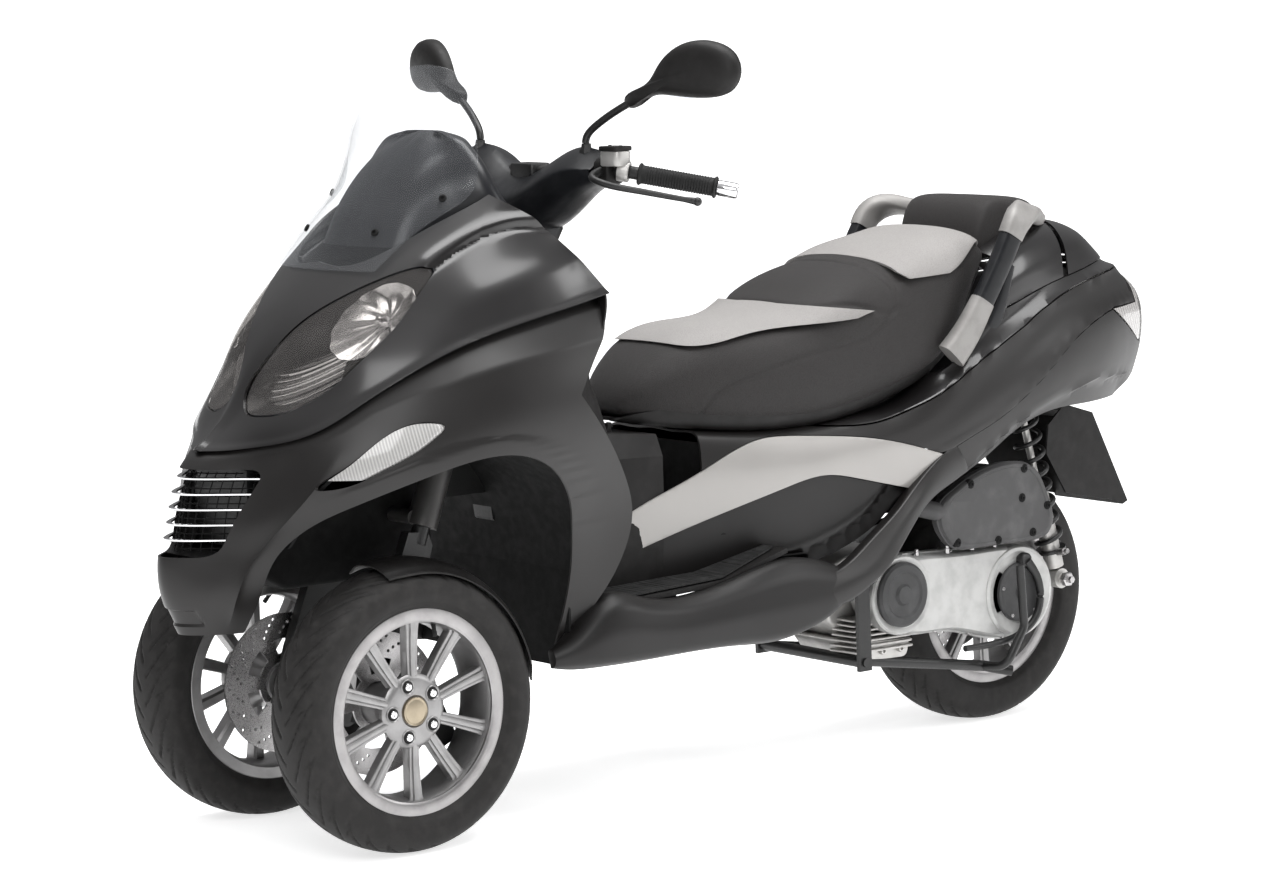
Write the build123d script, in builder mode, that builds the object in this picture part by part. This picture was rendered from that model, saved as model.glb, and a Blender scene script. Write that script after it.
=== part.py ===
"""Reverse trike: a three-wheeled scooter with two steered wheels in front.

Millimetres, +Z up, the front faces -Y and the vehicle's left side is +X.  The origin lies on the
floor, midway between the nose and the tail.  Distances named "aft" are measured from the front
axle towards the tail, and the planes side(), level() and across() take them as they are.
"""

from build123d import *
from math import cos, radians, sin, tan
import os

# ---------------------------------------------------------------- driving sizes
WHEELBASE = 1490.0
TRACK = 420.0
NOSE_OVERHANG = 325.0
TAIL_OVERHANG = 1865.0
CASTER = radians(20.0)

FRONT_TYRE_RADIUS = 236.5
FRONT_TYRE_WIDTH = 122.0
REAR_TYRE_RADIUS = 243.5
REAR_TYRE_WIDTH = 132.0
RIM_FLANGE_RADIUS = 170.0
RIM_WIDTH = 94.0
BEAD_RADIUS = 158.0
SPOKES = 10
AXLE_RADIUS = 10.0
DISC_RADIUS = 120.0
DISC_THICKNESS = 4.0
DISC_HOLES = 18

HUB_INNER = 78.0        # from the wheel's middle plane to the hub's inner face
HUB_OUTER = 36.0
STUB_END = 28.0

LOWER_ARM = 535.0       # height of the front suspension's arms
UPPER_ARM = 632.0
KINGPIN_X = 118.0
KINGPIN_RADIUS = 15.0
COLUMN_RADIUS = 14.0
COLUMN_AFT = 435.0
COLUMN_HEIGHT = 1040.0

PANEL = 4.0             # wall of the painted panels
PANEL_GAP = 0.8         # open line between two fixed panels
LID_GAP = 4.0           # open line round a lid
RUN = 0.05              # radial clearance of a turning fit
SEAT_GAP = 0.3          # between two pieces that rest on each other

HALF_TRACK = TRACK / 2
FRONT_AXLE_Y = NOSE_OVERHANG - (NOSE_OVERHANG + TAIL_OVERHANG) / 2
REAR_AXLE_Y = FRONT_AXLE_Y + WHEELBASE


# ---------------------------------------------------------------- planes and simple shapes
def side(x=0.0):
    """Plane facing left: local x runs aft of the front axle, local y runs up."""
    return Plane(origin=(x, FRONT_AXLE_Y, 0), x_dir=(0, 1, 0), z_dir=(1, 0, 0))


def level(z):
    """Plane facing up: local x runs left, local y runs aft of the front axle."""
    return Plane(origin=(0, FRONT_AXLE_Y, z))


def across(aft):
    """Plane facing forward: local x runs left, local y runs up."""
    return Plane(origin=(0, FRONT_AXLE_Y + aft, 0), x_dir=(1, 0, 0), z_dir=(0, -1, 0))


def at(x, aft, z):
    """A point given by its distance aft of the front axle."""
    return (x, FRONT_AXLE_Y + aft, z)


def prism(plane, outline, length, both=False):
    """The closed outline, drawn on the plane and pushed along its normal."""
    with BuildPart() as block:
        with BuildSketch(plane):
            with BuildLine():
                Polyline(*outline, close=True)
            make_face()
        extrude(amount=length, both=both)
    return block.part


def rod(start, end, radius):
    """A straight round bar between two points."""
    span = Vector(*end) - Vector(*start)
    with BuildPart() as bar:
        with BuildSketch(Plane(origin=start, z_dir=span)):
            Circle(radius)
        extrude(amount=span.length)
    return bar.part


def tube_along(points, radius, bend):
    """A round bar bent through the points with one bend radius."""
    with BuildPart() as bar:
        with BuildLine() as path:
            FilletPolyline(*points, radius=bend)
        with BuildSketch(path.line ^ 0):
            Circle(radius)
        sweep()
    return bar.part


def raked(x, aft, z, rake=CASTER):
    """Plane on a steering axis, facing up along it."""
    return Plane(origin=at(x, aft, z), x_dir=(1, 0, 0), z_dir=(0, sin(rake), cos(rake)))


# ---------------------------------------------------------------- wheels
def tyre(x, y, radius, width):
    """A closed tyre: straight bead, bulged wall and round tread, turned about its axle."""
    half = width / 2
    shoulder = 0.42 * width
    with BuildPart() as ring:
        with BuildSketch(Plane(origin=(x, y, radius), x_dir=(1, 0, 0), z_dir=(0, -1, 0))):
            with BuildLine():
                bead = RIM_WIDTH / 2 - 6
                Line((-bead, BEAD_RADIUS), (bead, BEAD_RADIUS))
                Line((bead, BEAD_RADIUS), (bead, RIM_FLANGE_RADIUS + 1))
                ThreePointArc((bead, RIM_FLANGE_RADIUS + 1), (half, radius - 44), (shoulder, radius - 17))
                ThreePointArc((shoulder, radius - 17), (0, radius), (-shoulder, radius - 17))
                ThreePointArc((-shoulder, radius - 17), (-half, radius - 44), (-bead, RIM_FLANGE_RADIUS + 1))
                Line((-bead, RIM_FLANGE_RADIUS + 1), (-bead, BEAD_RADIUS))
            make_face()
        revolve(axis=Axis((x, y, radius), (1, 0, 0)))
    return ring


def rim(x, y, radius, outward, hub_inner, bore_end):
    """Cast rim: barrel with two flanges, ten spokes near the outer face, and a hub bored to bore_end."""
    barrel = BEAD_RADIUS - SEAT_GAP
    half = RIM_WIDTH / 2
    lip = half - 5.5
    face = Plane(origin=(x, y, radius), x_dir=(0, 1, 0), z_dir=(outward, 0, 0))
    with BuildPart() as wheel:
        with BuildSketch(Plane(origin=(x, y, radius), x_dir=(1, 0, 0), z_dir=(0, -1, 0))):
            with BuildLine():
                Polyline((-half, barrel - 8), (half, barrel - 8), (half, RIM_FLANGE_RADIUS),
                         (lip, RIM_FLANGE_RADIUS), (lip, barrel), (-lip, barrel),
                         (-lip, RIM_FLANGE_RADIUS), (-half, RIM_FLANGE_RADIUS), close=True)
            make_face()
        revolve(axis=Axis((x, y, radius), (1, 0, 0)))
        with BuildSketch(face.offset(8)):
            with PolarLocations(0, SPOKES, start_angle=18):
                with Locations((95, 0)):
                    Trapezoid(26, 116, 86, rotation=-90)
        extrude(amount=24)
        with BuildSketch(face.offset(-hub_inner)):
            Circle(36)
        extrude(amount=hub_inner)
        with BuildSketch(face):
            Circle(52)
        extrude(amount=HUB_OUTER)
        with BuildSketch(face.offset(-hub_inner - 1)):
            Circle(AXLE_RADIUS + RUN)
        extrude(amount=hub_inner + 1 + bore_end, mode=Mode.SUBTRACT)
    return wheel


def disc(x, y, radius, outer):
    """Drilled brake disc about the wheel's axle, its left face at x."""
    with BuildPart() as plate:
        with BuildSketch(Plane(origin=(x, y, radius), x_dir=(0, 1, 0), z_dir=(-1, 0, 0))):
            Circle(outer)
            Circle(36 + SEAT_GAP, mode=Mode.SUBTRACT)
            with PolarLocations(outer - 16, DISC_HOLES):
                Circle(5, mode=Mode.SUBTRACT)
            with PolarLocations(62, 6):
                Circle(15, mode=Mode.SUBTRACT)
        extrude(amount=DISC_THICKNESS)
    return plate


wheels = []
for word, s in (("left", 1), ("right", -1)):
    tyre_front = tyre(s * HALF_TRACK, FRONT_AXLE_Y, FRONT_TYRE_RADIUS, FRONT_TYRE_WIDTH)
    tyre_front.part.label = f"tyre_{word}"
    rim_front = rim(s * HALF_TRACK, FRONT_AXLE_Y, FRONT_TYRE_RADIUS, s, HUB_INNER, STUB_END + 1)
    rim_front.part.label = f"rim_{word}"
    disc_x = HALF_TRACK - HUB_INNER + 8
    disc_front = disc(disc_x if s > 0 else -disc_x + DISC_THICKNESS, FRONT_AXLE_Y, FRONT_TYRE_RADIUS, DISC_RADIUS)
    disc_front.part.label = f"disc_{word}"
    wheels += [tyre_front, rim_front, disc_front]

REAR_HUB_INNER = 70.0
tyre_rear = tyre(0, REAR_AXLE_Y, REAR_TYRE_RADIUS, REAR_TYRE_WIDTH)
tyre_rear.part.label = "tyre_rear"
rim_rear = rim(0, REAR_AXLE_Y, REAR_TYRE_RADIUS, 1, REAR_HUB_INNER, HUB_OUTER + 1)
rim_rear.part.label = "rim_rear"
disc_rear = disc(-REAR_HUB_INNER + 10, REAR_AXLE_Y, REAR_TYRE_RADIUS, DISC_RADIUS)
disc_rear.part.label = "disc_rear"
wheels += [tyre_rear, rim_rear, disc_rear]

# ---------------------------------------------------------------- steered uprights and mudguards
KINGPIN_AFT = 10.0          # kingpin axis at wheel-centre height
SLEEVE_MARGIN = 17.0        # sleeve beyond the arms, in height
SLEEVE_LOW = (LOWER_ARM - SLEEVE_MARGIN - FRONT_TYRE_RADIUS) / cos(CASTER)    # along the kingpin, from the wheel centre
SLEEVE_HIGH = (UPPER_ARM + SLEEVE_MARGIN - FRONT_TYRE_RADIUS) / cos(CASTER)
SLEEVE_RADIUS = 26.0
CARRIER = 22.0              # thickness of the upright's plate
GUARD_RADIUS = 249.0
GUARD_WALL = 3.0
GUARD_WIDTH = 132.0
STAY_LINE = ((70, 453), (100, 442), (112, 456), (80, 470))   # bracket to the upright: aft, height


def along_kingpin(distance):
    """Aft distance and height of a point on the kingpin axis."""
    return KINGPIN_AFT + distance * sin(CASTER), FRONT_TYRE_RADIUS + distance * cos(CASTER)


def knuckle(s):
    """Upright with its kingpin stem, stub axle, and caliper carrier behind the disc."""
    x = s * KINGPIN_X
    aft_low, z_low = along_kingpin(SLEEVE_LOW - 30)
    axle_end = HALF_TRACK + STUB_END
    with BuildPart() as upright:
        with BuildSketch(raked(x, *along_kingpin(SLEEVE_LOW - 30))):
            Circle(KINGPIN_RADIUS)
        extrude(amount=SLEEVE_HIGH - SLEEVE_LOW + 30 + 34)
        with BuildSketch(side(x - CARRIER / 2)):
            with BuildLine():
                Polyline((-34, 205), (40, 200), (60, 260), (aft_low + 24, z_low - 4), (aft_low + 16, z_low + 18),
                         (aft_low - 24, z_low + 22), (-6, 300), close=True)
            make_face()
        extrude(amount=CARRIER)
        add(rod(at(s * (KINGPIN_X + 4), 0, FRONT_TYRE_RADIUS), at(s * axle_end, 0, FRONT_TYRE_RADIUS), AXLE_RADIUS))
        add(rod(at(s * (KINGPIN_X + 4), 0, FRONT_TYRE_RADIUS), at(s * (KINGPIN_X + 12), 0, FRONT_TYRE_RADIUS), 26))
    return upright


def caliper_block(s):
    """Brake caliper straddling the disc behind the axle."""
    inner = min(s * (KINGPIN_X - 12), s * (KINGPIN_X + 44))
    with BuildPart() as block:
        with BuildSketch(side(inner)):
            with Locations(Location((104, 196), 25)):
                RectangleRounded(46, 92, 12)
            with BuildLine():
                Polyline((30, 205), (88, 176), (88, 226), (40, 250), close=True)
            make_face()
        extrude(amount=56)
    return block.part


def disc_slot(s):
    """Room for the turning disc inside the caliper."""
    face = HALF_TRACK - HUB_INNER + 8
    with BuildPart() as slot:
        with BuildSketch(side(min(s * (face - DISC_THICKNESS - 4), s * (face + 4)))):
            with Locations((0, FRONT_TYRE_RADIUS)):
                Circle(DISC_RADIUS + 4)
        extrude(amount=DISC_THICKNESS + 8)
    return slot.part


def mudguard(s):
    """Guard close over the tyre, from just ahead of its top to behind the axle."""
    half = GUARD_WIDTH / 2
    start, sweep_angle = -84.0, 98.0
    profile_plane = Plane(origin=at(s * HALF_TRACK, 0, FRONT_TYRE_RADIUS), x_dir=(1, 0, 0), z_dir=(0, -1, 0))
    with BuildPart() as guard:
        with BuildSketch(profile_plane):
            with BuildLine():
                Polyline((-half, GUARD_RADIUS - 22), (-half, GUARD_RADIUS), (-half + 14, GUARD_RADIUS + 7),
                         (half - 14, GUARD_RADIUS + 7), (half, GUARD_RADIUS), (half, GUARD_RADIUS - 22),
                         (half - GUARD_WALL, GUARD_RADIUS - 22), (half - GUARD_WALL, GUARD_RADIUS - 2),
                         (half - 15, GUARD_RADIUS + 4), (-half + 15, GUARD_RADIUS + 4),
                         (-half + GUARD_WALL, GUARD_RADIUS - 2), (-half + GUARD_WALL, GUARD_RADIUS - 22), close=True)
            make_face()
        revolve(axis=Axis(at(s * HALF_TRACK, 0, FRONT_TYRE_RADIUS), (1, 0, 0)), revolution_arc=sweep_angle)
    turned = guard.part.rotate(Axis(at(s * HALF_TRACK, 0, FRONT_TYRE_RADIUS), (1, 0, 0)), start)
    return turned


steered = []
for word, s in (("left", 1), ("right", -1)):
    caliper = caliper_block(s)
    slot = disc_slot(s)
    body = knuckle(s)
    with BuildPart() as knuckle_piece:
        add(body.part)
        add(caliper)
        add(slot, mode=Mode.SUBTRACT)
        add(rod(at(s * (KINGPIN_X + 4), 0, FRONT_TYRE_RADIUS), at(s * (HALF_TRACK + STUB_END), 0, FRONT_TYRE_RADIUS),
                AXLE_RADIUS))
    knuckle_piece.part.label = f"knuckle_{word}"
    guard_shell = mudguard(s)
    stay_inner = KINGPIN_X + CARRIER / 2 + SEAT_GAP
    stay_outer = HALF_TRACK - GUARD_WIDTH / 2 + 1
    stay = prism(side(min(s * stay_inner, s * stay_outer)), STAY_LINE, stay_outer - stay_inner)
    with BuildPart() as mudguard_piece:
        add(guard_shell)
        add(stay)
    mudguard_piece.part.label = f"mudguard_{word}"
    steered += [knuckle_piece, mudguard_piece]

# ---------------------------------------------------------------- front body
# Front body outline at each height, left half: nose on the centre line, then the brow, cheek and
# side points of the flank, then its aft end.
#    height  nose   brow x, aft   cheek x, aft   side x, aft   aft-end x
FRONT_SECTIONS = (
    (370, -292, (40, -262), (54, -235), (62, -200), 263),
    (430, -318, (55, -285), (88, -240), (105, -195), 258),
    (500, -325, (66, -266), (112, -214), (140, -168), 258),
    (560, -310, (84, -240), (156, -180), (207, -110), 262),
    (630, -284, (98, -206), (202, -138), (275, -20), 272),
    (700, -205, (100, -180), (215, -95), (290, 30), 280),
    (760, -158, (110, -135), (220, -50), (290, 80), 280),
    (820, -127, (110, -105), (210, -25), (275, 100), 274),
    (880, -85, (105, -65), (195, 5), (260, 125), 266),
    (940, -25, (100, -5), (180, 45), (238, 150), 232),
    (1000, 40, (90, 55), (155, 90), (210, 180), 205),
    (1045, 90, (80, 100), (140, 130), (192, 205), 190),
    (1072, 122, (66, 130), (120, 158), (184, 228), 183),
)
SCREEN_MOUTH = ((0, 962), (100, 965), (136, 992), (170, 1036), (182, 1062), (186, 1100))   # half breadth, height
FRONT_BODY_AFT = 485.0
GAP_LINE = ((-400, 672), (-156, 690), (-61, 750), (69, 821), (253, 871), (401, 897))
ARCH = ((-205, 300), (-203, 430), (-185, 500), (-150, 548), (-85, 588), (0, 622), (100, 648),
        (170, 648), (255, 612), (305, 552), (327, 489), (335, 440), (335, 300))
FLANK_AFT_EDGE = ((401, 891), (392, 800), (398, 744), (440, 640), (478, 575), (472, 520), (448, 470), (375, 372))


def front_envelope(inset):
    """Closed front body, pulled in by the inset except at its top, bottom and aft end."""
    with BuildPart() as envelope:
        for height, nose, (bx, b), (cx, c), (sx, s_aft), end_x in FRONT_SECTIONS:
            slant = 0.7 * inset
            brow, cheek = (bx - slant, b + slant), (cx - slant, c + slant)
            flank, end = (sx - inset, s_aft + inset), (end_x - inset, FRONT_BODY_AFT + inset)
            left = [brow, cheek, flank, end]
            right = [(-px, py) for px, py in left]
            with BuildSketch(level(height)):
                with BuildLine():
                    ThreePointArc(right[0], (0, nose + inset), left[0])
                    ThreePointArc(*left[:3])
                    Polyline(left[2], left[3], right[3], right[2])
                    ThreePointArc(right[2], right[1], right[0])
                make_face()
        loft(ruled=True)
    return envelope.part


outer_front = front_envelope(0)
inner_front = front_envelope(PANEL)
HALF_BODY = 400.0
above_line = prism(side(), (*GAP_LINE, (401, 902), (324, 990), (262, 1040), (204, 1080), (190, 1100), (-400, 1100)),
                   HALF_BODY, both=True)
below_line = prism(side(), (*((a, z - PANEL_GAP) for a, z in GAP_LINE), *FLANK_AFT_EDGE, (-400, 360)),
                   HALF_BODY, both=True)
wheel_arch = prism(side(), ARCH, HALF_BODY, both=True)
# Headlamp, lamp bezel and grille outlines in front view: half breadth and height.
LAMP = ((12, 728), (70, 728), (160, 800), (212, 868), (224, 952), (150, 905), (95, 862), (35, 800))
SIGNAL = ((200, 640), (236, 638), (280, 676), (302, 708), (284, 716), (236, 690))
GRILLE = ((-112, 640), (112, 640), (70, 500), (-70, 500))
LAMP_GAP = 2.0


def grown(outline, margin):
    """The outline with each point moved away from the outline's middle."""
    mx = sum(p[0] for p in outline) / len(outline)
    mz = sum(p[1] for p in outline) / len(outline)
    points = []
    for px, pz in outline:
        reach = ((px - mx) ** 2 + (pz - mz) ** 2) ** 0.5
        points.append((px + (px - mx) / reach * margin, pz + (pz - mz) / reach * margin))
    return points


def mirrored(outline):
    """The outline on the right side of the vehicle."""
    return [(-px, pz) for px, pz in outline]


lamp_cut = [prism(across(200), half, 500) for half in (LAMP, mirrored(LAMP))]
signal_cut = [prism(across(150), half, 450) for half in (SIGNAL, mirrored(SIGNAL))]
lamp_fill = [prism(across(199), grown(half, -LAMP_GAP), 498) for half in (LAMP, mirrored(LAMP))]
signal_fill = [prism(across(149), grown(half, -LAMP_GAP), 448) for half in (SIGNAL, mirrored(SIGNAL))]
grille_cut = prism(across(-150), GRILLE, 300)
screen_mouth = prism(across(170), (*SCREEN_MOUTH[1:], *mirrored(SCREEN_MOUTH[:0:-1])), 300)

with BuildPart() as upper_shield:
    add(outer_front)
    add(inner_front, mode=Mode.SUBTRACT)
    add(above_line, mode=Mode.INTERSECT)
    add(lamp_cut, mode=Mode.SUBTRACT)
    add(screen_mouth, mode=Mode.SUBTRACT)
upper_shield.part.label = "upper_shield"

with BuildPart() as lower_fascia:
    add(outer_front)
    add(inner_front, mode=Mode.SUBTRACT)
    add(below_line, mode=Mode.INTERSECT)
    add(wheel_arch, mode=Mode.SUBTRACT)
    add(signal_cut, mode=Mode.SUBTRACT)
    add(grille_cut, mode=Mode.SUBTRACT)
lower_fascia.part.label = "lower_fascia"

LENS = 14.0
deep_front = front_envelope(LENS)
with BuildPart() as headlamps:
    add(outer_front)
    add(deep_front, mode=Mode.SUBTRACT)
    add(lamp_fill, mode=Mode.INTERSECT)
headlamps.part.label = "headlamps"

with BuildPart() as front_signals:
    add(outer_front)
    add(deep_front, mode=Mode.SUBTRACT)
    add(signal_fill, mode=Mode.INTERSECT)
front_signals.part.label = "front_signals"

SLATS = 5
SLAT_HEIGHT = 5.0
SLAT_DEPTH = 10.0
SLAT_PITCH = 24.5
TOP_SLAT = 625.0
slat_front = front_envelope(PANEL + SEAT_GAP)
slat_back = front_envelope(PANEL + SLAT_DEPTH)
with BuildPart() as grille_slats:
    with BuildSketch(across(-150)):
        for row in range(SLATS):
            slat_z = TOP_SLAT - row * SLAT_PITCH
            with Locations((0, slat_z)):
                Rectangle(2 * (78 + 0.3 * (slat_z - 500)), SLAT_HEIGHT)
    extrude(amount=300)
    add(slat_front, mode=Mode.INTERSECT)
    add(slat_back, mode=Mode.SUBTRACT)
grille_slats.part.label = "grille_slats"

# Leg shield: bent plate facing the rider, closing the front body from the footboard to the dash.
SHIELD_LINE = ((392, 384), (452, 500), (470, 580), (396, 745), (388, 890), (322, 984))
SHIELD_WIDTH = ((-236, 380), (-250, 500), (-262, 600), (-268, 700), (-262, 800), (-254, 880), (-200, 990),
                (200, 990), (254, 880), (262, 800), (268, 700), (262, 600), (250, 500), (236, 380))
STEM_ROOM = 22.0
SPINE_HALF = 26.0


def on_column(z):
    """Aft distance of the steering column's axis at a height."""
    return COLUMN_AFT - (COLUMN_HEIGHT - z) * tan(CASTER)


shield_front = [(a - 6, z) for a, z in reversed(SHIELD_LINE)]
shield_plate = prism(side(), (*SHIELD_LINE, *shield_front), 300, both=True)
shield_outline = prism(across(200), SHIELD_WIDTH, -400)
shield_room = front_envelope(PANEL + SEAT_GAP)
spine_slot = prism(side(), ((372, 300), (372, 640), (490, 640), (490, 300)), SPINE_HALF + 2, both=True)
column_slot = rod(at(0, on_column(700), 700), at(0, on_column(1000), 1000), STEM_ROOM)
with BuildPart() as leg_shield:
    add(shield_plate)
    add(shield_outline, mode=Mode.INTERSECT)
    add(shield_room, mode=Mode.INTERSECT)
    add([spine_slot, column_slot], mode=Mode.SUBTRACT)
leg_shield.part.label = "leg_shield"

# Dash cowl: hood in front of the rider, under the windscreen.
COWL_SECTIONS = (
    # height, front aft, half breadth at the front, rear aft, half breadth at the rear
    (984.4, 60, 95, 318, 180),
    (1060, 96, 84, 264, 172),
    (1120, 148, 84, 248, 148),
    (1165, 205, 56, 238, 100),
)


def cowl_loft(inset):
    """The hood's closed shape, pulled in by the inset at its top and sides and left open below."""
    with BuildPart() as hood:
        for row, (height, front, front_half, rear, rear_half) in enumerate(COWL_SECTIONS):
            z = height - inset if row else height - 0.01 * inset
            fore, aft, narrow, wide = front + inset, rear - inset, front_half - 0.6 * inset, rear_half - 1.2 * inset
            with BuildSketch(level(z)):
                with BuildLine():
                    ThreePointArc((-narrow, fore + 14), (0, fore), (narrow, fore + 14))
                    Polyline((narrow, fore + 14), (wide, aft), (-wide, aft), (-narrow, fore + 14))
                make_face()
        loft(ruled=True)
    return hood.part


with BuildPart() as dash_cowl:
    add(cowl_loft(0))
    add(cowl_loft(PANEL), mode=Mode.SUBTRACT)
dash_cowl.part.label = "dash_cowl"

# Windscreen: one curved sheet; each row is height, centre aft, half breadth, edge aft.
SCREEN_SECTIONS = (
    (950, -12, 140, 20),
    (1000, 26, 152, 76),
    (1040, 54, 172, 136),
    (1078, 83, 188, 192),
    (1180, 162, 178, 206),
    (1250, 216, 122, 228),
    (1275, 236, 60, 240),
)
SCREEN_WALL = 4.0
SCREEN_STAND_OFF = 7.2
with BuildPart() as windscreen:
    for height, centre, half, edge in SCREEN_SECTIONS:
        with BuildSketch(level(height)):
            with BuildLine():
                front_y, edge_y = centre - SCREEN_STAND_OFF, edge - SCREEN_STAND_OFF
                ThreePointArc((-half, edge_y), (0, front_y), (half, edge_y))
                Line((half, edge_y), (half, edge_y + SCREEN_WALL))
                ThreePointArc((half, edge_y + SCREEN_WALL), (0, front_y + SCREEN_WALL), (-half, edge_y + SCREEN_WALL))
                Line((-half, edge_y + SCREEN_WALL), (-half, edge_y))
            make_face()
    loft(ruled=True)
windscreen.part.label = "windscreen"

# ---------------------------------------------------------------- floor and sills
SILL_INNER = 216.0
SILL_OUTER = 262.0
SILL_LINE = ((318, 252), (860, 257), (990, 330), (1000, 352), (842, 424), (700, 380), (410, 364), (372, 366), (330, 330))
sills = [prism(side(x), SILL_LINE, SILL_OUTER - SILL_INNER) for x in (SILL_INNER, -SILL_OUTER)]
with BuildPart() as side_sills:
    add(sills)
side_sills.part.label = "side_sills"

# ---------------------------------------------------------------- rear body
# Rear body outline at each station, right to left: aft distance, then height and half breadth at
# the sill, waist, shoulder and crown.
REAR_SECTIONS = (
    (478, (368, 112), (480, 108), (590, 92), (636, 58)),
    (620, (368, 112), (480, 120), (590, 118), (628, 100)),
    (850, (368, 150), (500, 166), (590, 160), (606, 150)),
    (1090, (372, 172), (530, 188), (604, 182), (622, 168)),
    (1250, (440, 182), (570, 200), (668, 190), (692, 170)),
    (1400, (500, 172), (620, 204), (800, 188), (880, 150)),
    (1500, (525, 164), (650, 200), (830, 178), (925, 130)),
    (1600, (552, 150), (680, 186), (850, 160), (938, 100)),
    (1780, (596, 96), (700, 128), (820, 110), (868, 60)),
    (TAIL_OVERHANG, (640, 60), (710, 84), (790, 76), (820, 40)),
)
CREASE = ((1040, 596), (1101, 599), (1257, 652), (1414, 727), (1528, 812), (1640, 840), (1900, 856))
TAIL_WALL = 4.0
SEAT_LINE = ((540, 646), (669, 632), (865, 614), (1086, 630), (1175, 656), (1300, 726), (1350, 800), (1402, 888))


def rear_envelope(inset):
    """Closed rear body, pulled in by the inset except at its underside and two ends."""
    with BuildPart() as envelope:
        for station, *corners in REAR_SECTIONS:
            heights = [z for z, half in corners]
            low, high = heights[0] - abs(inset), heights[-1] - inset
            inner = [(corners[0][1] - inset, low), (corners[1][1] - inset, heights[1]),
                     (corners[2][1] - inset, heights[2]), (corners[3][1] - inset, high)]
            outline = inner + [(-px, pz) for px, pz in reversed(inner)]
            with BuildSketch(across(station)):
                with BuildLine():
                    Polyline(*outline, close=True)
                make_face()
        loft(ruled=True)
    return envelope.part


outer_rear = rear_envelope(0)
inner_rear = rear_envelope(TAIL_WALL)
rear_shell = outer_rear - inner_rear
LID_AFT = 1575.0
LAMP_AFT = 1770.0
SEAT_HINGE = (572, 644)
LID_HINGE = (LID_AFT + LID_GAP, 944)
HINGE_PIN = 2.5
HINGE_BARREL = 5.5
under_seat = prism(side(), (*SEAT_LINE, (1402, 1100), (540, 1100)), HALF_BODY, both=True)
lower_rear = prism(side(), ((636, 300), (636, 640), (1000, 640), *((a, z - PANEL_GAP) for a, z in CREASE[:5]),
                            (1528, 500), (1300, 300)), HALF_BODY, both=True)
upper_rear = prism(side(), (*CREASE, (1900, 1100), (1040, 1100)), HALF_BODY, both=True)
tunnel_side = prism(side(), ((400, 300), (400, 700), (632, 700), (632, 300)), HALF_BODY, both=True)
lid_side = prism(side(), ((LID_AFT, 872), (LID_AFT, 1000), (LAMP_AFT - 2, 1000), (LAMP_AFT - 2, 846)),
                 HALF_BODY, both=True)
tail_side = prism(side(), ((1532, 500), (1532, 808), *((a, z - PANEL_GAP) for a, z in CREASE[5:]), (1900, 500)),
                  HALF_BODY, both=True)
LAMP_TOP = ((LAMP_AFT, 847.5), (1900, 855.5))
lamp_side = prism(side(), ((LAMP_AFT, 560), *LAMP_TOP, (1900, 560)), HALF_BODY, both=True)

grown_rear = rear_envelope(-SEAT_GAP)
FLOOR_LINE = ((398, 352), (690, 364), (836, 408), (836, 418), (690, 376), (398, 362))
TUNNEL_HALF = 106.0
floors = [prism(side(x), FLOOR_LINE, SILL_INNER - SEAT_GAP - TUNNEL_HALF)
          for x in (TUNNEL_HALF, -SILL_INNER + SEAT_GAP)]
with BuildPart() as footboards:
    add(floors)
    add(grown_rear, mode=Mode.SUBTRACT)
footboards.part.label = "footboards"

with BuildPart() as tunnel:
    add(rear_shell)
    add(tunnel_side, mode=Mode.INTERSECT)
    add(rod(at(-50, *SEAT_HINGE), at(50, *SEAT_HINGE), HINGE_PIN))
    for x in (-50, 42):
        add(rod(at(x, *SEAT_HINGE), at(x + 8, *SEAT_HINGE), HINGE_BARREL - 1))
        add(prism(side(x), ((SEAT_HINGE[0] - 4, SEAT_HINGE[1]), (SEAT_HINGE[0] + 2, SEAT_HINGE[1]),
                            (SEAT_HINGE[0] + 2, 628), (SEAT_HINGE[0] - 10, 629)), 8))
tunnel.part.label = "tunnel"

TUB_HALF = 138.0
TUB_FRONT = 722.0
TUB_REAR = 1262.0
TUB_FLOOR = 440.0
TUB_TOP = 604.0
TUB_WALL = 3.0
tub_hole = prism(level(560), ((-TUB_HALF - SEAT_GAP, TUB_FRONT - SEAT_GAP), (TUB_HALF + SEAT_GAP, TUB_FRONT - SEAT_GAP),
                              (TUB_HALF + SEAT_GAP, TUB_REAR + 40), (-TUB_HALF - SEAT_GAP, TUB_REAR + 40)), 400)
with BuildPart() as side_covers:
    add(rear_shell)
    add(lower_rear, mode=Mode.INTERSECT)
    add(under_seat, mode=Mode.SUBTRACT)
    add(tub_hole, mode=Mode.SUBTRACT)
side_covers.part.label = "side_covers"

with BuildPart() as tail_panels:
    add(rear_shell)
    add(upper_rear, mode=Mode.INTERSECT)
    add(under_seat, mode=Mode.SUBTRACT)
    add(tub_hole, mode=Mode.SUBTRACT)
    add(lid_side, mode=Mode.SUBTRACT)
    add(lamp_side, mode=Mode.SUBTRACT)
    add(rod(at(-72, *LID_HINGE), at(72, *LID_HINGE), HINGE_PIN))
    for x in (-72, 64):
        add(rod(at(x, *LID_HINGE), at(x + 8, *LID_HINGE), HINGE_BARREL))
        add(prism(side(x), ((LID_HINGE[0], 949), (LID_HINGE[0], 940), (LID_AFT - 1, 938), (LID_AFT - 1, 930),
                            (LID_AFT - 9, 928), (LID_AFT - 9, 940)), 8))
tail_panels.part.label = "tail_panels"

with BuildPart() as tail_skirts:
    add(rear_shell)
    add(tail_side, mode=Mode.INTERSECT)
    add(lamp_side, mode=Mode.SUBTRACT)
tail_skirts.part.label = "tail_skirts"

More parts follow.
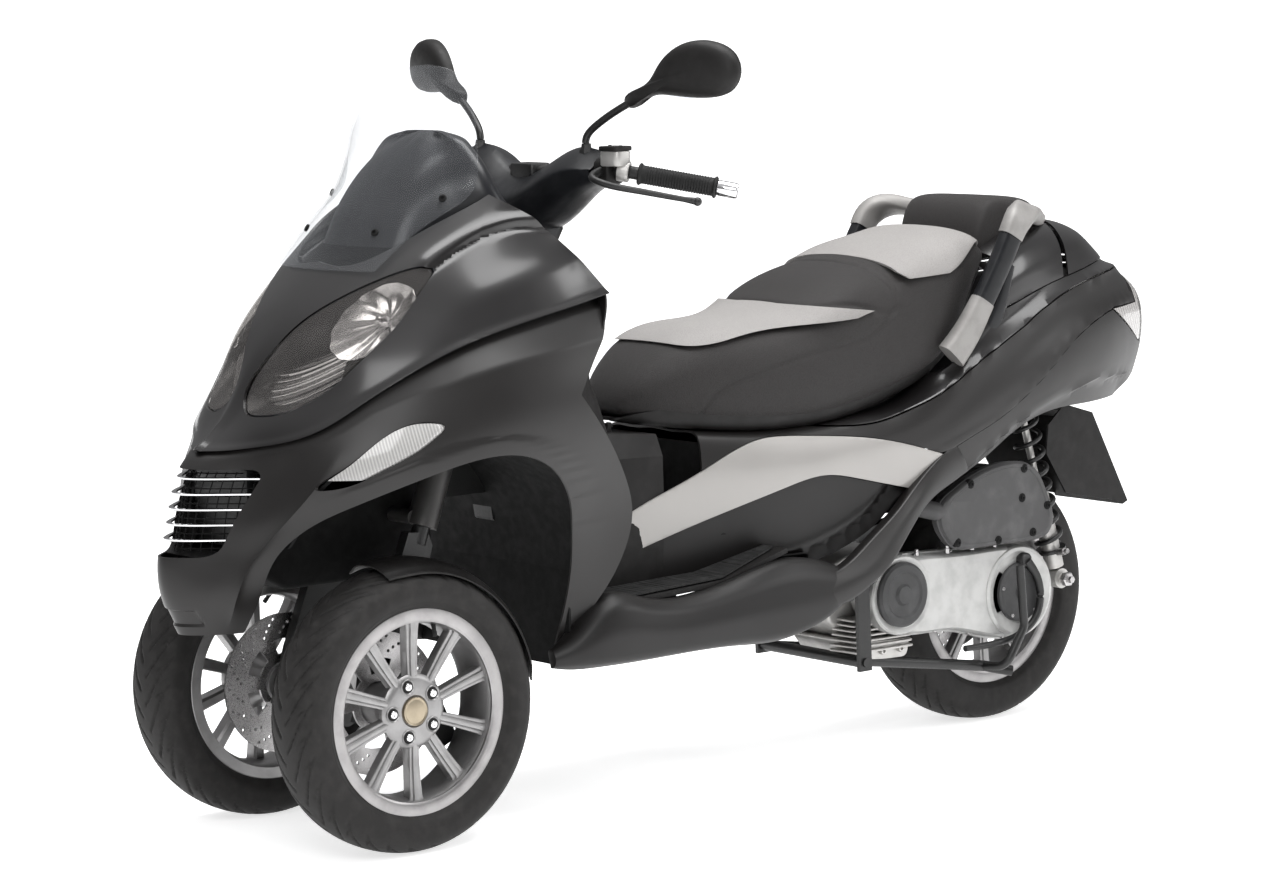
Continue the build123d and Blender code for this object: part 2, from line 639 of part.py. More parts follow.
lid_skin = prism(side(), ((LID_AFT + LID_GAP, 876), (LID_AFT + LID_GAP, 1000), (LAMP_AFT - 6, 1000),
                          (LAMP_AFT - 6, 851)), HALF_BODY, both=True)
with BuildPart() as trunk_lid:
    add(rear_shell)
    add(lid_skin, mode=Mode.INTERSECT)
    for x in (-62, 42):
        add(rod(at(x, *LID_HINGE), at(x + 20, *LID_HINGE), HINGE_BARREL))
        add(prism(side(x), ((LID_HINGE[0], 940), (LID_HINGE[0], 949), (LID_AFT + 18, 938), (LID_AFT + 18, 931)), 20))
    add(rod(at(-100, *LID_HINGE), at(100, *LID_HINGE), HINGE_PIN + RUN), mode=Mode.SUBTRACT)
trunk_lid.part.label = "trunk_lid"

lamp_lens = prism(side(), ((LAMP_AFT + SEAT_GAP, 560), *LAMP_TOP, (1900, 560)), HALF_BODY, both=True)
with BuildPart() as tail_lamp:
    add(outer_rear)
    add(lamp_lens, mode=Mode.INTERSECT)
tail_lamp.part.label = "tail_lamp"

with BuildPart() as storage_tub:
    with BuildSketch(level(TUB_FLOOR)):
        with Locations((0, (TUB_FRONT + TUB_REAR) / 2)):
            RectangleRounded(2 * TUB_HALF, TUB_REAR - TUB_FRONT, 40)
    extrude(amount=TUB_TOP - TUB_FLOOR)
    offset(amount=-TUB_WALL, openings=[faces().sort_by(Axis.Z)[-1]])
storage_tub.part.label = "storage_tub"

RAIL_RADIUS = 16.0
RAIL_PATH = [(190, 1290, 716), (206, 1335, 800), (212, 1462, 948), (128, 1576, 934)]
rail_tubes = [tube_along([at(s * x, aft, z) for x, aft, z in RAIL_PATH], RAIL_RADIUS, 40) for s in (1, -1)]
with BuildPart() as grab_rails:
    add(rail_tubes)
    add(grown_rear, mode=Mode.SUBTRACT)
grab_rails.part.label = "grab_rails"

PAD_OUTLINE = ((1408, 880), (1412, 970), (1440, 996), (1510, 997), (1562, 984), (1564, 920), (1500, 912))
PAD_HALF = 106.0
pad_block = prism(side(), PAD_OUTLINE, PAD_HALF, both=True)
with BuildPart() as backrest_pad:
    add(pad_block)
    add(grown_rear, mode=Mode.SUBTRACT)
backrest_pad.part.label = "backrest_pad"

# ---------------------------------------------------------------- seat
BASE_WALL = 10.0
SEAT_TOP = ((566, 668), (588, 706), (640, 752), (700, 790), (760, 806), (835, 810), (900, 816), (956, 832),
            (1012, 864), (1078, 889), (1147, 904), (1204, 924), (1280, 941), (1380, 940), (1398, 905))
SEAT_PLAN = ((560, 62), (620, 98), (700, 134), (850, 164), (1000, 174), (1130, 172), (1250, 176), (1405, 138))
BASE_INSET = 16.0
seat_rest = SEAT_LINE[1:]
SEAT_NOSE = (575, 648)
base_low = [(a, z + 1) for a, z in (SEAT_NOSE, *seat_rest[:-1], (1392, 876))]
base_high = [(a, z + 1 + BASE_WALL) for a, z in (SEAT_NOSE, *seat_rest[:-1], (1392, 876))]
cushion_low = [(a, z + SEAT_GAP) for a, z in base_high]
seat_slab = prism(side(), (*cushion_low, *reversed(SEAT_TOP)), HALF_BODY, both=True)
base_slab = prism(side(), (*base_low, *reversed(base_high)), HALF_BODY, both=True)


def seat_outline(inset):
    """The seat's plan outline, pulled in by the inset."""
    left = [(half - inset, aft) for aft, half in SEAT_PLAN]
    return left + [(-x, aft) for x, aft in reversed(left)]


def seat_crown():
    """Seat shape with rounded shoulders: one twelve-sided section at each point of the top line."""
    with BuildPart() as crown:
        for aft, high in SEAT_TOP:
            (a0, h0), (a1, h1) = next(pair for pair in zip(SEAT_PLAN, SEAT_PLAN[1:]) if aft <= pair[1][0])
            half = h0 + (h1 - h0) * (aft - a0) / (a1 - a0)
            drop = min(1.0, (high - 640) / 140) if aft < 900 else 1.0
            left = [(half, 560), (half, high - 78 * drop), (0.93 * half, high - 42 * drop),
                    (0.74 * half, high - 15 * drop), (0.42 * half, high - 3 * drop), (0.14 * half, high)]
            with BuildSketch(across(aft)):
                with BuildLine():
                    Polyline(*left, *((-x, z) for x, z in reversed(left)), close=True)
                make_face()
        loft(ruled=True)
    return crown.part


base_plan = prism(level(560), seat_outline(BASE_INSET), 500)
with BuildPart() as seat_cushion:
    add(seat_crown())
    add(seat_slab, mode=Mode.INTERSECT)
seat_cushion.part.label = "seat_cushion"

with BuildPart() as seat_base:
    add(base_slab)
    add(base_plan, mode=Mode.INTERSECT)
    for x in (-38, 20):
        add(rod(at(x, *SEAT_HINGE), at(x + 18, *SEAT_HINGE), HINGE_BARREL))
        add(prism(side(x), ((SEAT_HINGE[0], 646), (SEAT_HINGE[0] + 6, 658), (SEAT_HINGE[0] + 16, 657),
                            (SEAT_HINGE[0] + 16, 648.5), (SEAT_HINGE[0] + 4, 641)), 18))
    add(rod(at(-60, *SEAT_HINGE), at(60, *SEAT_HINGE), HINGE_PIN + RUN), mode=Mode.SUBTRACT)
seat_base.part.label = "seat_base"

# ---------------------------------------------------------------- frame, suspension and liner
RAIL_X = 152.0
FRAME_TUBE = 11.0
ARM_RADIUS = 12.0
HEAD_LOW = 640.0
HEAD_HIGH = 800.0
HEAD_RADIUS = 24.0
ENGINE_PIVOT = (1040, 300)
STAND_PIVOT = (1080, 172)
STAND_PIN = 8.0
SHOCK_X = 112.0
SHOCK_TOP = (1500, 640)
SHOCK_FOOT = (1604, 268)
SHOCK_PIN = 7.0

head_tube = rod(at(0, on_column(HEAD_LOW), HEAD_LOW), at(0, on_column(HEAD_HIGH), HEAD_HIGH), HEAD_RADIUS)
column_bore = rod(at(0, on_column(500), 500), at(0, on_column(HEAD_HIGH + 40), HEAD_HIGH + 40), COLUMN_RADIUS + RUN)
boss_low, boss_high = LOWER_ARM + ARM_RADIUS + SEAT_GAP, UPPER_ARM - ARM_RADIUS - SEAT_GAP
RADIATOR_AFT = -205.0
RADIATOR_DEPTH = 30.0
front_boss = prism(side(), ((RADIATOR_AFT + RADIATOR_DEPTH + SEAT_GAP, boss_low),
                            (RADIATOR_AFT + RADIATOR_DEPTH + SEAT_GAP, boss_high), (340, boss_high), (340, boss_low)),
                   SPINE_HALF, both=True)
spine = prism(side(), ((268, 600), (276, 690), (352, 700), (372, 600), (470, 470), (640, 440), (640, 320), (560, 320),
                       (440, 390), (330, 500), (320, 560)), SPINE_HALF, both=True)
RAIL_POINTS = [(RAIL_X, 590, 334), (RAIL_X, 1040, 300), (RAIL_X, 1190, 480), (RAIL_X, 1330, 640), (118, 1680, 745)]
rails = [tube_along([at(s * x, aft, z) for x, aft, z in RAIL_POINTS], FRAME_TUBE, 60) for s in (1, -1)]
with BuildPart() as frame:
    add(head_tube)
    add(spine)
    add(front_boss)
    add(rails)
    add(prism(side(), ((580, 320), (580, 358.5), (620, 358.5), (620, 320)), RAIL_X + 14, both=True))
    add(rod(at(-RAIL_X, *ENGINE_PIVOT), at(RAIL_X, *ENGINE_PIVOT), FRAME_TUBE))
    add(rod(at(-120, 1672, 742), at(120, 1672, 742), FRAME_TUBE))
    add(prism(side(), ((1660, 592.5), (1660, 745), (1684, 745), (1684, 585.4)), 20, both=True))
    for s in (1, -1):
        add(prism(side(s * 142 - 4), ((1066, 156), (1062, 330), (1090, 350), (1096, 156)), 8))
        add(prism(side(s * 134 - 5), ((1488, 628), (1484, 690), (1516, 700), (1512, 628)), 10))
        add(rod(at(s * 134, *SHOCK_TOP), at(s * (SHOCK_X - 16), *SHOCK_TOP), SHOCK_PIN))
    add(column_bore, mode=Mode.SUBTRACT)
    add(rod(at(-160, *STAND_PIVOT), at(160, *STAND_PIVOT), STAND_PIN + RUN), mode=Mode.SUBTRACT)
frame.part.label = "frame"

with BuildPart() as radiator:
    with BuildSketch(side()):
        with Locations((RADIATOR_AFT + RADIATOR_DEPTH / 2, 572)):
            Rectangle(RADIATOR_DEPTH, 130)
    extrude(amount=78, both=True)
radiator.part.label = "radiator"

with BuildPart() as suspension_arms:
    for s in (1, -1):
        low = at(s * KINGPIN_X, *along_kingpin(SLEEVE_LOW))
        high = at(s * KINGPIN_X, *along_kingpin(SLEEVE_HIGH))
        add(rod(low, high, SLEEVE_RADIUS))
    for z in (LOWER_ARM, UPPER_ARM):
        sleeve_aft = KINGPIN_AFT + (z - FRONT_TYRE_RADIUS) * tan(CASTER)
        for shift in (-22, 22):
            add(rod(at(-KINGPIN_X, sleeve_aft + shift, z), at(KINGPIN_X, sleeve_aft + shift, z), ARM_RADIUS))
    for s in (1, -1):
        low = at(s * KINGPIN_X, *along_kingpin(SLEEVE_LOW - 5))
        high = at(s * KINGPIN_X, *along_kingpin(SLEEVE_HIGH + 5))
        add(rod(low, high, KINGPIN_RADIUS + RUN), mode=Mode.SUBTRACT)
suspension_arms.part.label = "suspension_arms"

LINER_WALL = 4.0
LINER_ROOF = UPPER_ARM + 68.0
LINER_LINE = ((-166, 512), (-140, 604), (-70, LINER_ROOF), (232, LINER_ROOF), (318, 604), (344, 480), (344, 262))
liner_outer = ((-170, 512), (-144, 607), (-73, LINER_ROOF + LINER_WALL), (234, LINER_ROOF + LINER_WALL), (322, 606),
               (348, 481), (348, 262))
liner_sheet = prism(side(), (*LINER_LINE, *reversed(liner_outer)), 300, both=True)
liner_room = front_envelope(PANEL + 0.5)
liner_low = prism(side(), ((344, 262), (344, 380), (348, 380), (348, 262)), SILL_INNER - SEAT_GAP, both=True)
boss_room = prism(side(), ((150, boss_low - 2), (150, boss_high + 2), (280, LINER_ROOF + 2), (360, LINER_ROOF + 2),
                           (400, 540), (420, 300), (330, 480), (316, boss_low - 2)), SPINE_HALF + 2, both=True)
boss_slot = prism(side(), ((-250, boss_low - 2), (-250, boss_high + 2), (100, boss_high + 2), (100, boss_low - 2)),
                  SPINE_HALF + 2, both=True)
column_room = rod(at(0, on_column(500), 500), at(0, on_column(LINER_ROOF + 20), LINER_ROOF + 20), HEAD_RADIUS + 6)
with BuildPart() as arch_liner:
    add(liner_sheet)
    add(liner_room, mode=Mode.INTERSECT)
    add(liner_low)
    add([boss_room, boss_slot, column_room, *signal_cut], mode=Mode.SUBTRACT)
arch_liner.part.label = "arch_liner"

# ---------------------------------------------------------------- engine and rear end
CVT_INNER = 78.0
CVT_OUTER = 150.0
CVT_LINE = ((1110, 252), (1112, 330), (1150, 348), (1260, 352), (1400, 348), (1500, 336), (1552, 308), (1580, 260),
            (1556, 200), (1490, 168), (1400, 172), (1300, 200))
BLOCK_FRONT = ENGINE_PIVOT[0] + FRAME_TUBE + SEAT_GAP
block_line = ((BLOCK_FRONT, 240), (BLOCK_FRONT, 345), (1100, 362), (1234, 362), (1234, 170), (1120, 192))
ARM_INNER = -78.0
with BuildPart() as engine:
    add(prism(side(-104), block_line, 104 + CVT_INNER))
    add(prism(side(CVT_INNER), CVT_LINE, CVT_OUTER - CVT_INNER))
    with BuildSketch(side(CVT_OUTER)):
        with Locations((1168, 300)):
            Circle(44)
        with Locations((1468, 254)):
            Circle(66)
    extrude(amount=14)
    add(prism(side(ARM_INNER - 16), ((1150, 200), (1150, 320), (1234, 320), (1620, 290), (1620, 246), (1480, 215)), 16))
    add(rod(at(ARM_INNER - 8, WHEELBASE, REAR_TYRE_RADIUS), at(CVT_INNER + 8, WHEELBASE, REAR_TYRE_RADIUS), AXLE_RADIUS))
    add(rod(at(ARM_INNER - 8, *SHOCK_FOOT), at(-SHOCK_X - 16, *SHOCK_FOOT), SHOCK_PIN))
    add(prism(side(CVT_INNER), ((1540, 210), (1540, 320), (1616, 284), (1616, 252)), 12))
    add(rod(at(CVT_INNER + 6, *SHOCK_FOOT), at(SHOCK_X + 16, *SHOCK_FOOT), SHOCK_PIN))
engine.part.label = "engine"

AIRBOX_LINE = ((1250, 400), (1250, 452), (1340, 495), (1410, 511), (1475, 510), (1515, 488), (1551, 407), (1551, 378),
               (1530, 353), (1290, 353))
with BuildPart() as airbox:
    add(prism(side(137), AIRBOX_LINE, 28))
airbox.part.label = "airbox"

shock_span = Vector(0, SHOCK_TOP[0] - SHOCK_FOOT[0], SHOCK_TOP[1] - SHOCK_FOOT[1])
with BuildPart() as rear_shocks:
    for s in (1, -1):
        foot, top = Vector(*at(s * SHOCK_X, *SHOCK_FOOT)), Vector(*at(s * SHOCK_X, *SHOCK_TOP))
        unit = shock_span.normalized()
        add(rod(tuple(foot), tuple(top), 9))
        add(rod(tuple(foot + unit * 40), tuple(foot + unit * 190), 22))
        add(rod(tuple(top - unit * 190), tuple(top - unit * 30), 26))
        for pin in (SHOCK_FOOT, SHOCK_TOP):
            add(rod(at(s * SHOCK_X - 12, *pin), at(s * SHOCK_X + 12, *pin), 17))
            add(rod(at(s * SHOCK_X - 20, *pin), at(s * SHOCK_X + 20, *pin), SHOCK_PIN + SEAT_GAP), mode=Mode.SUBTRACT)
rear_shocks.part.label = "rear_shocks"

SILENCER_RADIUS = 50.0
with BuildPart() as silencer:
    add(rod(at(-188, 1330, 290), at(-188, 1740, 372), SILENCER_RADIUS))
    add(tube_along([at(-104 - SEAT_GAP, 1180, 208), at(-150, 1180, 208), at(-188, 1250, 256), at(-188, 1340, 292)], 18, 24))
silencer.part.label = "silencer"

with BuildPart() as rear_fender:
    add(prism(side(), ((1640, 598), (1722, 574), (1818, 394), (1804, 388), (1712, 560), (1640, 584)), 92, both=True))
    for x in (88, -92):
        add(prism(side(x), ((1716, 570), (1810, 392), (1650, 425), (1598, 505), (1604, 560), (1640, 590)), 4))
rear_fender.part.label = "rear_fender"

with BuildPart() as centre_stand:
    add(rod(at(-137.6, *STAND_PIVOT), at(137.6, *STAND_PIVOT), 11))
    add(rod(at(-150, *STAND_PIVOT), at(150, *STAND_PIVOT), STAND_PIN))
    for s in (1, -1):
        add(tube_along([at(s * 112, *STAND_PIVOT), at(s * 122, 1400, 124), at(s * 150, 1446, 112)], 10, 25))
    add(rod(at(-118, 1215, 152), at(118, 1215, 152), 9))
    add(tube_along([at(122, 1396, 124), at(182, 1400, 130), at(184, 1446, 200), at(184, 1436, 318)], 8, 24))
centre_stand.part.label = "centre_stand"

# ---------------------------------------------------------------- handlebar
BAR_RADIUS = 11.0
GRIP_RADIUS = 16.0
BAR_POINTS = [(0, 440, 1078), (95, 446, 1092), (240, 456, 1098), (366, 568, 1067)]
bar_path = [at(-x, aft, z) for x, aft, z in reversed(BAR_POINTS[1:])] + [at(*p) for p in BAR_POINTS[1:]]
bar_tube = tube_along(bar_path, BAR_RADIUS, 40)


def along_grip(share, s):
    """A point on the grip's straight stretch: share 0 at its bend, 1 at the bar's end."""
    (x0, a0, z0), (x1, a1, z1) = BAR_POINTS[2:]
    return at(s * (x0 + (x1 - x0) * share), a0 + (a1 - a0) * share, z0 + (z1 - z0) * share)


with BuildPart() as handlebar:
    add(bar_tube)
    add(rod(at(0, on_column(HEAD_LOW + 8), HEAD_LOW + 8), at(0, on_column(1094), 1094), COLUMN_RADIUS))
    with BuildSketch(level(1062)):
        with Locations((0, 446)):
            RectangleRounded(64, 44, 8)
    extrude(amount=44)
    for s in (1, -1):
        add(rod(along_grip(0.985, s), along_grip(1.06, s), 14))
        add(tube_along([at(s * 214, 450, 1097), at(s * 232, 398, 1086), at(s * 300, 440, 1068), at(s * 378, 512, 1046)], 5, 10))
        with BuildSketch(side(s * 214 - 14)):
            with Locations((452, 1098)):
                RectangleRounded(40, 34, 8)
        extrude(amount=28)
handlebar.part.label = "handlebar"

with BuildPart() as grips:
    for s in (1, -1):
        add(rod(along_grip(0.2, s), along_grip(0.975, s), GRIP_RADIUS))
    for s in (1, -1):
        add(rod(along_grip(0.1, s), along_grip(1.05, s), BAR_RADIUS + SEAT_GAP), mode=Mode.SUBTRACT)
grips.part.label = "grips"

# Bar cover outline at each breadth: aft of the front, height of the underside, aft of the rear, height of the top.
COVER_SECTIONS = (
    (0, 388, 1000, 512, 1124),
    (90, 398, 1022, 508, 1132),
    (196, 424, 1070, 494, 1126),
)


def cover_loft(inset):
    """The bar cover's closed shape, pulled in by the inset except at its ends and underside."""
    with BuildPart() as cover:
        rows = [(-x - (inset if x == 196 else 0), *row) for x, *row in reversed(COVER_SECTIONS[1:])]
        rows += [(x + (inset if x == 196 else 0), *row) for x, *row in COVER_SECTIONS]
        for x, front, low, rear, high in rows:
            fore, back, floor, roof = front + inset, rear - inset, low - inset, high - inset
            third = (roof - floor) / 3
            with BuildSketch(side(x)):
                with BuildLine():
                    Polyline((fore + 22, floor), (fore, floor + third), (fore + 6, roof - third), (fore + 34, roof),
                             (back - 22, roof), (back, roof - third), (back - 10, floor + third), (back - 30, floor),
                             close=True)
                make_face()
        loft(ruled=True)
    return cover.part


cover_outer = cover_loft(0)
cover_inner = cover_loft(PANEL)
bar_room = tube_along(bar_path, BAR_RADIUS + SEAT_GAP, 40)
with BuildPart() as bar_cover:
    add(cover_outer)
    add(cover_inner, mode=Mode.SUBTRACT)
    add(bar_room, mode=Mode.SUBTRACT)
    add(rod(at(0, on_column(960), 960), at(0, on_column(1060), 1060), COLUMN_RADIUS + SEAT_GAP), mode=Mode.SUBTRACT)
bar_cover.part.label = "bar_cover"

MIRROR_CENTRE = (371, 507, 1267)
MIRROR_TURN = 15.0          # outer end further aft
STALK = [(150, 452, 1129.4), (150, 452, 1156), (245, 478, 1222), (330, 494, 1250)]


def mirror_plane(s):
    """Plane through a mirror head, facing forwards and turned a little outwards; its middle is the head's middle."""
    turn = radians(MIRROR_TURN)
    return Plane(origin=at(s * MIRROR_CENTRE[0], MIRROR_CENTRE[1], MIRROR_CENTRE[2]),
                 x_dir=(cos(turn), s * sin(turn), 0), z_dir=(s * sin(turn), -cos(turn), 0))


with BuildPart() as mirrors:
    for s in (1, -1):
        add(tube_along([at(s * x, aft, z) for x, aft, z in STALK], 7, 16))
        with BuildSketch(mirror_plane(s).offset(-16)):
            Ellipse(90, 46)
        extrude(amount=22)
        with BuildSketch(mirror_plane(s).offset(6)):
            Ellipse(78, 37)
        extrude(amount=14)
mirrors.part.label = "mirrors"

with BuildPart() as mirror_glasses:
    for s in (1, -1):
        with BuildSketch(mirror_plane(s).offset(-16 - 2.3)):
            Ellipse(84, 41)
        extrude(amount=2)
mirror_glasses.part.label = "mirror_glasses"

# ---------------------------------------------------------------- one STEP file per piece
os.makedirs("parts", exist_ok=True)
for piece in (*wheels, *steered, upper_shield, lower_fascia, headlamps, front_signals, grille_slats, leg_shield,
              dash_cowl, windscreen, side_sills, footboards, tunnel, side_covers, tail_panels, tail_skirts, trunk_lid,
              tail_lamp, storage_tub, grab_rails, backrest_pad, seat_cushion, seat_base, frame, radiator,
              suspension_arms, arch_liner, engine, airbox, rear_shocks, silencer, rear_fender, centre_stand,
              handlebar, grips, bar_cover, mirrors, mirror_glasses):
    export_step(piece.part, f"parts/{piece.part.label}.step")
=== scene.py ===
"""Looks of a reverse trike: a scooter with two steered wheels in front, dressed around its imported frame.

Lengths inside the classes are millimetres in the vehicle's own frame: x to the left, "aft" from the front
axle towards the tail, z up.  Toolbox functions turn them into metres at the last step.
"""

import logging
import math
from dataclasses import dataclass
from enum import Enum
from typing import Callable, Iterable, Sequence

import bmesh
import bpy
import numpy as np
from mathutils import Matrix, Vector


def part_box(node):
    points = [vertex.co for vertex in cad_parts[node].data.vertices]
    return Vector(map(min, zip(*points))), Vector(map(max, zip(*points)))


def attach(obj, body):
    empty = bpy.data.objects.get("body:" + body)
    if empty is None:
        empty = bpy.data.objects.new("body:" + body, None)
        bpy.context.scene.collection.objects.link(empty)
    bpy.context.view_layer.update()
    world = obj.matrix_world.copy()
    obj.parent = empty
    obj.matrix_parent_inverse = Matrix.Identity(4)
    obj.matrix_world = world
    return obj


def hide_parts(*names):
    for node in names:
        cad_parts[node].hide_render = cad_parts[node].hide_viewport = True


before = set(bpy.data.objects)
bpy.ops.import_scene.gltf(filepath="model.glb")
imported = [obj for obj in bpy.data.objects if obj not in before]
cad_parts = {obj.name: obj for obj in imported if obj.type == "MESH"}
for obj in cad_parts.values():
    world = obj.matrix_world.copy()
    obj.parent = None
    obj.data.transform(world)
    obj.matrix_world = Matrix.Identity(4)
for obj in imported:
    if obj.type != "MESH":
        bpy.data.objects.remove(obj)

LOG = logging.getLogger("trike")
Array = np.ndarray
Colour = tuple[float, float, float]
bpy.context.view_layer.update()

AXLE = -770.0                    # y of the front axle
WHEELBASE = 1490.0
HALF_TRACK = 210.0
FRONT_RADIUS = 236.5
REAR_RADIUS = 243.5
CASTER = math.radians(20.0)
LEFT, RIGHT = 1, -1
PANEL = 4.0


# ------------------------------------------------------------------------------- number helpers
def spline(knots: Sequence[float], values: Array, where: Array) -> Array:
    """Natural cubic spline: piecewise cubics with matching first and second slopes, straight at both ends.

    Args:
        knots: rising parameters of the given values.
        values: array whose first axis follows the knots.
        where: parameters to read.

    Returns:
        The values at those parameters.
    """
    knots, values, where = np.asarray(knots, float), np.asarray(values, float), np.asarray(where, float)
    count, flat = len(knots), values.reshape(len(knots), -1)
    step = np.diff(knots)
    system, rhs = np.eye(count), np.zeros_like(flat)
    inner = np.arange(1, count - 1)
    system[inner, inner - 1], system[inner, inner + 1] = step[:-1], step[1:]
    system[inner, inner] = 2 * (step[:-1] + step[1:])
    rhs[1:-1] = 6 * (np.diff(flat, axis=0)[1:] / step[1:, None] - np.diff(flat, axis=0)[:-1] / step[:-1, None])
    bend = np.linalg.solve(system, rhs)
    cell = np.clip(np.searchsorted(knots, where, side="right") - 1, 0, count - 2)
    h = step[cell][:, None]
    a, b = ((knots[cell + 1] - where)[:, None] / h), ((where - knots[cell])[:, None] / h)
    read = a * flat[cell] + b * flat[cell + 1] + ((a**3 - a) * bend[cell] + (b**3 - b) * bend[cell + 1]) * h**2 / 6
    return read.reshape(len(where), *values.shape[1:])


def chord(points: Array) -> Array:
    """Distance along the points from 0 to 1, by straight chords."""
    steps = np.linalg.norm(np.diff(points, axis=0), axis=1)
    run = np.concatenate([[0.0], np.cumsum(steps)])
    return run / run[-1]


def smooth_line(points: Sequence, count: int) -> Array:
    """Points on the cubic through the given ones, evenly spread in chord length."""
    points = np.asarray(points, float)
    return spline(chord(points), points, np.linspace(0, 1, count))


def rounded(points: Sequence, radius: float, steps: int = 5) -> Array:
    """A closed outline whose corners are quadratic arcs that start a radius away from each corner.

    Args:
        points: corners in order, two numbers each.
        radius: distance from a corner to where its arc starts, at most 0.45 of the shorter side.
        steps: points on each arc.

    Returns:
        The rounded outline's points.
    """
    corners = np.asarray(points, float)
    before, after = np.roll(corners, 1, axis=0), np.roll(corners, -1, axis=0)
    reach_in = np.linalg.norm(before - corners, axis=1)[:, None]
    reach_out = np.linalg.norm(after - corners, axis=1)[:, None]
    start = corners + (before - corners) / reach_in * np.minimum(radius, 0.45 * reach_in)
    end = corners + (after - corners) / reach_out * np.minimum(radius, 0.45 * reach_out)
    t = np.linspace(0, 1, steps)[None, :, None]
    arcs = (1 - t) ** 2 * start[:, None] + 2 * t * (1 - t) * corners[:, None] + t**2 * end[:, None]
    return arcs.reshape(-1, 2)


def place(points: Array) -> Array:
    """Millimetres with y from the front axle to metres in the row frame."""
    return (np.asarray(points, float) + [0.0, AXLE, 0.0]) / 1000.0


def mirror_x(points: Sequence, side: int) -> Array:
    """The points on the chosen side: x times +1 or -1."""
    return np.asarray(points, float) * [side, 1, 1]


# ------------------------------------------------------------------------------- mesh helpers
def put_mesh(name: str, points: Array, faces: Iterable[Sequence[int]]) -> bpy.types.Object:
    """A mesh object at the origin from points in millimetres and lists of corner numbers."""
    mesh = bpy.data.meshes.new(name)
    mesh.from_pydata(place(points).tolist(), [], [tuple(face) for face in faces])
    mesh.validate()
    made = bpy.data.objects.new(name, mesh)
    bpy.context.scene.collection.objects.link(made)
    return made


def grid_faces(rows: int, cols: int, wrap_rows: bool = False, wrap_cols: bool = False, base: int = 0) -> Array:
    """Quads of a grid numbered row by row; a wrapped direction joins its last line to its first."""
    r = np.arange(rows if wrap_rows else rows - 1)[:, None]
    c = np.arange(cols if wrap_cols else cols - 1)[None, :]
    r2, c2 = (r + 1) % rows, (c + 1) % cols
    quads = np.stack([r * cols + c, r * cols + c2, r2 * cols + c2, r2 * cols + c], axis=-1)
    return quads.reshape(-1, 4) + base


def put_grid(name: str, points: Array, wrap_rows: bool = False, wrap_cols: bool = False,
             caps: bool = False) -> bpy.types.Object:
    """A grid surface; caps closes the first and last row of a grid whose columns wrap."""
    rows, cols = points.shape[:2]
    faces = [tuple(face) for face in grid_faces(rows, cols, wrap_rows, wrap_cols)]
    if caps:
        faces += [tuple(range(cols))[::-1], tuple((rows - 1) * cols + np.arange(cols))]
    made = put_mesh(name, points.reshape(-1, 3), faces)
    face_out(made)
    return made


def face_out(piece: bpy.types.Object, merge: float = 1e-6) -> None:
    """Merges doubled points and turns all faces outwards."""
    shape = bmesh.new()
    shape.from_mesh(piece.data)
    bmesh.ops.remove_doubles(shape, verts=shape.verts, dist=merge)
    bmesh.ops.recalc_face_normals(shape, faces=shape.faces)
    shape.to_mesh(piece.data)
    shape.free()


def soften(piece: bpy.types.Object, degrees: float = 32.0) -> bpy.types.Object:
    """Smooth shading, with edges sharper than the angle kept crisp."""
    piece.data.polygons.foreach_set("use_smooth", np.ones(len(piece.data.polygons), bool))
    piece.data.set_sharp_from_angle(angle=math.radians(degrees))
    return piece


def bake(piece: bpy.types.Object) -> bpy.types.Object:
    """Applies all modifiers to the piece's mesh."""
    seen = piece.evaluated_get(bpy.context.evaluated_depsgraph_get())
    mesh = bpy.data.meshes.new_from_object(seen)
    piece.modifiers.clear()
    piece.data = mesh
    return piece


def modify(piece: bpy.types.Object, kind: str, **settings: object) -> bpy.types.Object:
    """Adds one modifier with its settings and applies it."""
    modifier = piece.modifiers.new(kind.lower(), kind)
    for key, value in settings.items():
        setattr(modifier, key, value)
    return bake(piece)


def carve(piece: bpy.types.Object, tools: Sequence[bpy.types.Object], keep_common: bool = False) -> bpy.types.Object:
    """Cuts each closed tool from the piece, or keeps only what lies in it, and removes the tools."""
    for tool in tools:
        modify(piece, "BOOLEAN", object=tool, operation="INTERSECT" if keep_common else "DIFFERENCE", solver="EXACT")
        bpy.data.objects.remove(tool)
    return piece


def subdivide(piece: bpy.types.Object, levels: int = 1) -> bpy.types.Object:
    """Catmull-Clark subdivision, applied."""
    return modify(piece, "SUBSURF", levels=levels, render_levels=levels)


def bevel(piece: bpy.types.Object, width: float, segments: int = 2, degrees: float = 40.0) -> bpy.types.Object:
    """Rounds edges sharper than the angle by a width in millimetres."""
    return modify(piece, "BEVEL", width=width / 1000, segments=segments, limit_method="ANGLE",
                  angle_limit=math.radians(degrees), use_clamp_overlap=True)


def join(name: str, pieces: Sequence[bpy.types.Object]) -> bpy.types.Object:
    """One object from several meshes, without their materials."""
    shape = bmesh.new()
    for piece in pieces:
        shape.from_mesh(piece.data)
        bpy.data.objects.remove(piece)
    mesh = bpy.data.meshes.new(name)
    shape.to_mesh(mesh)
    shape.free()
    made = bpy.data.objects.new(name, mesh)
    bpy.context.scene.collection.objects.link(made)
    return made


class Facing(Enum):
    """The plane that an outline is drawn on: its two axes, and the axis it is pushed along."""

    SIDE = (1, 2, 0)
    FRONT = (0, 2, 1)
    PLAN = (0, 1, 2)


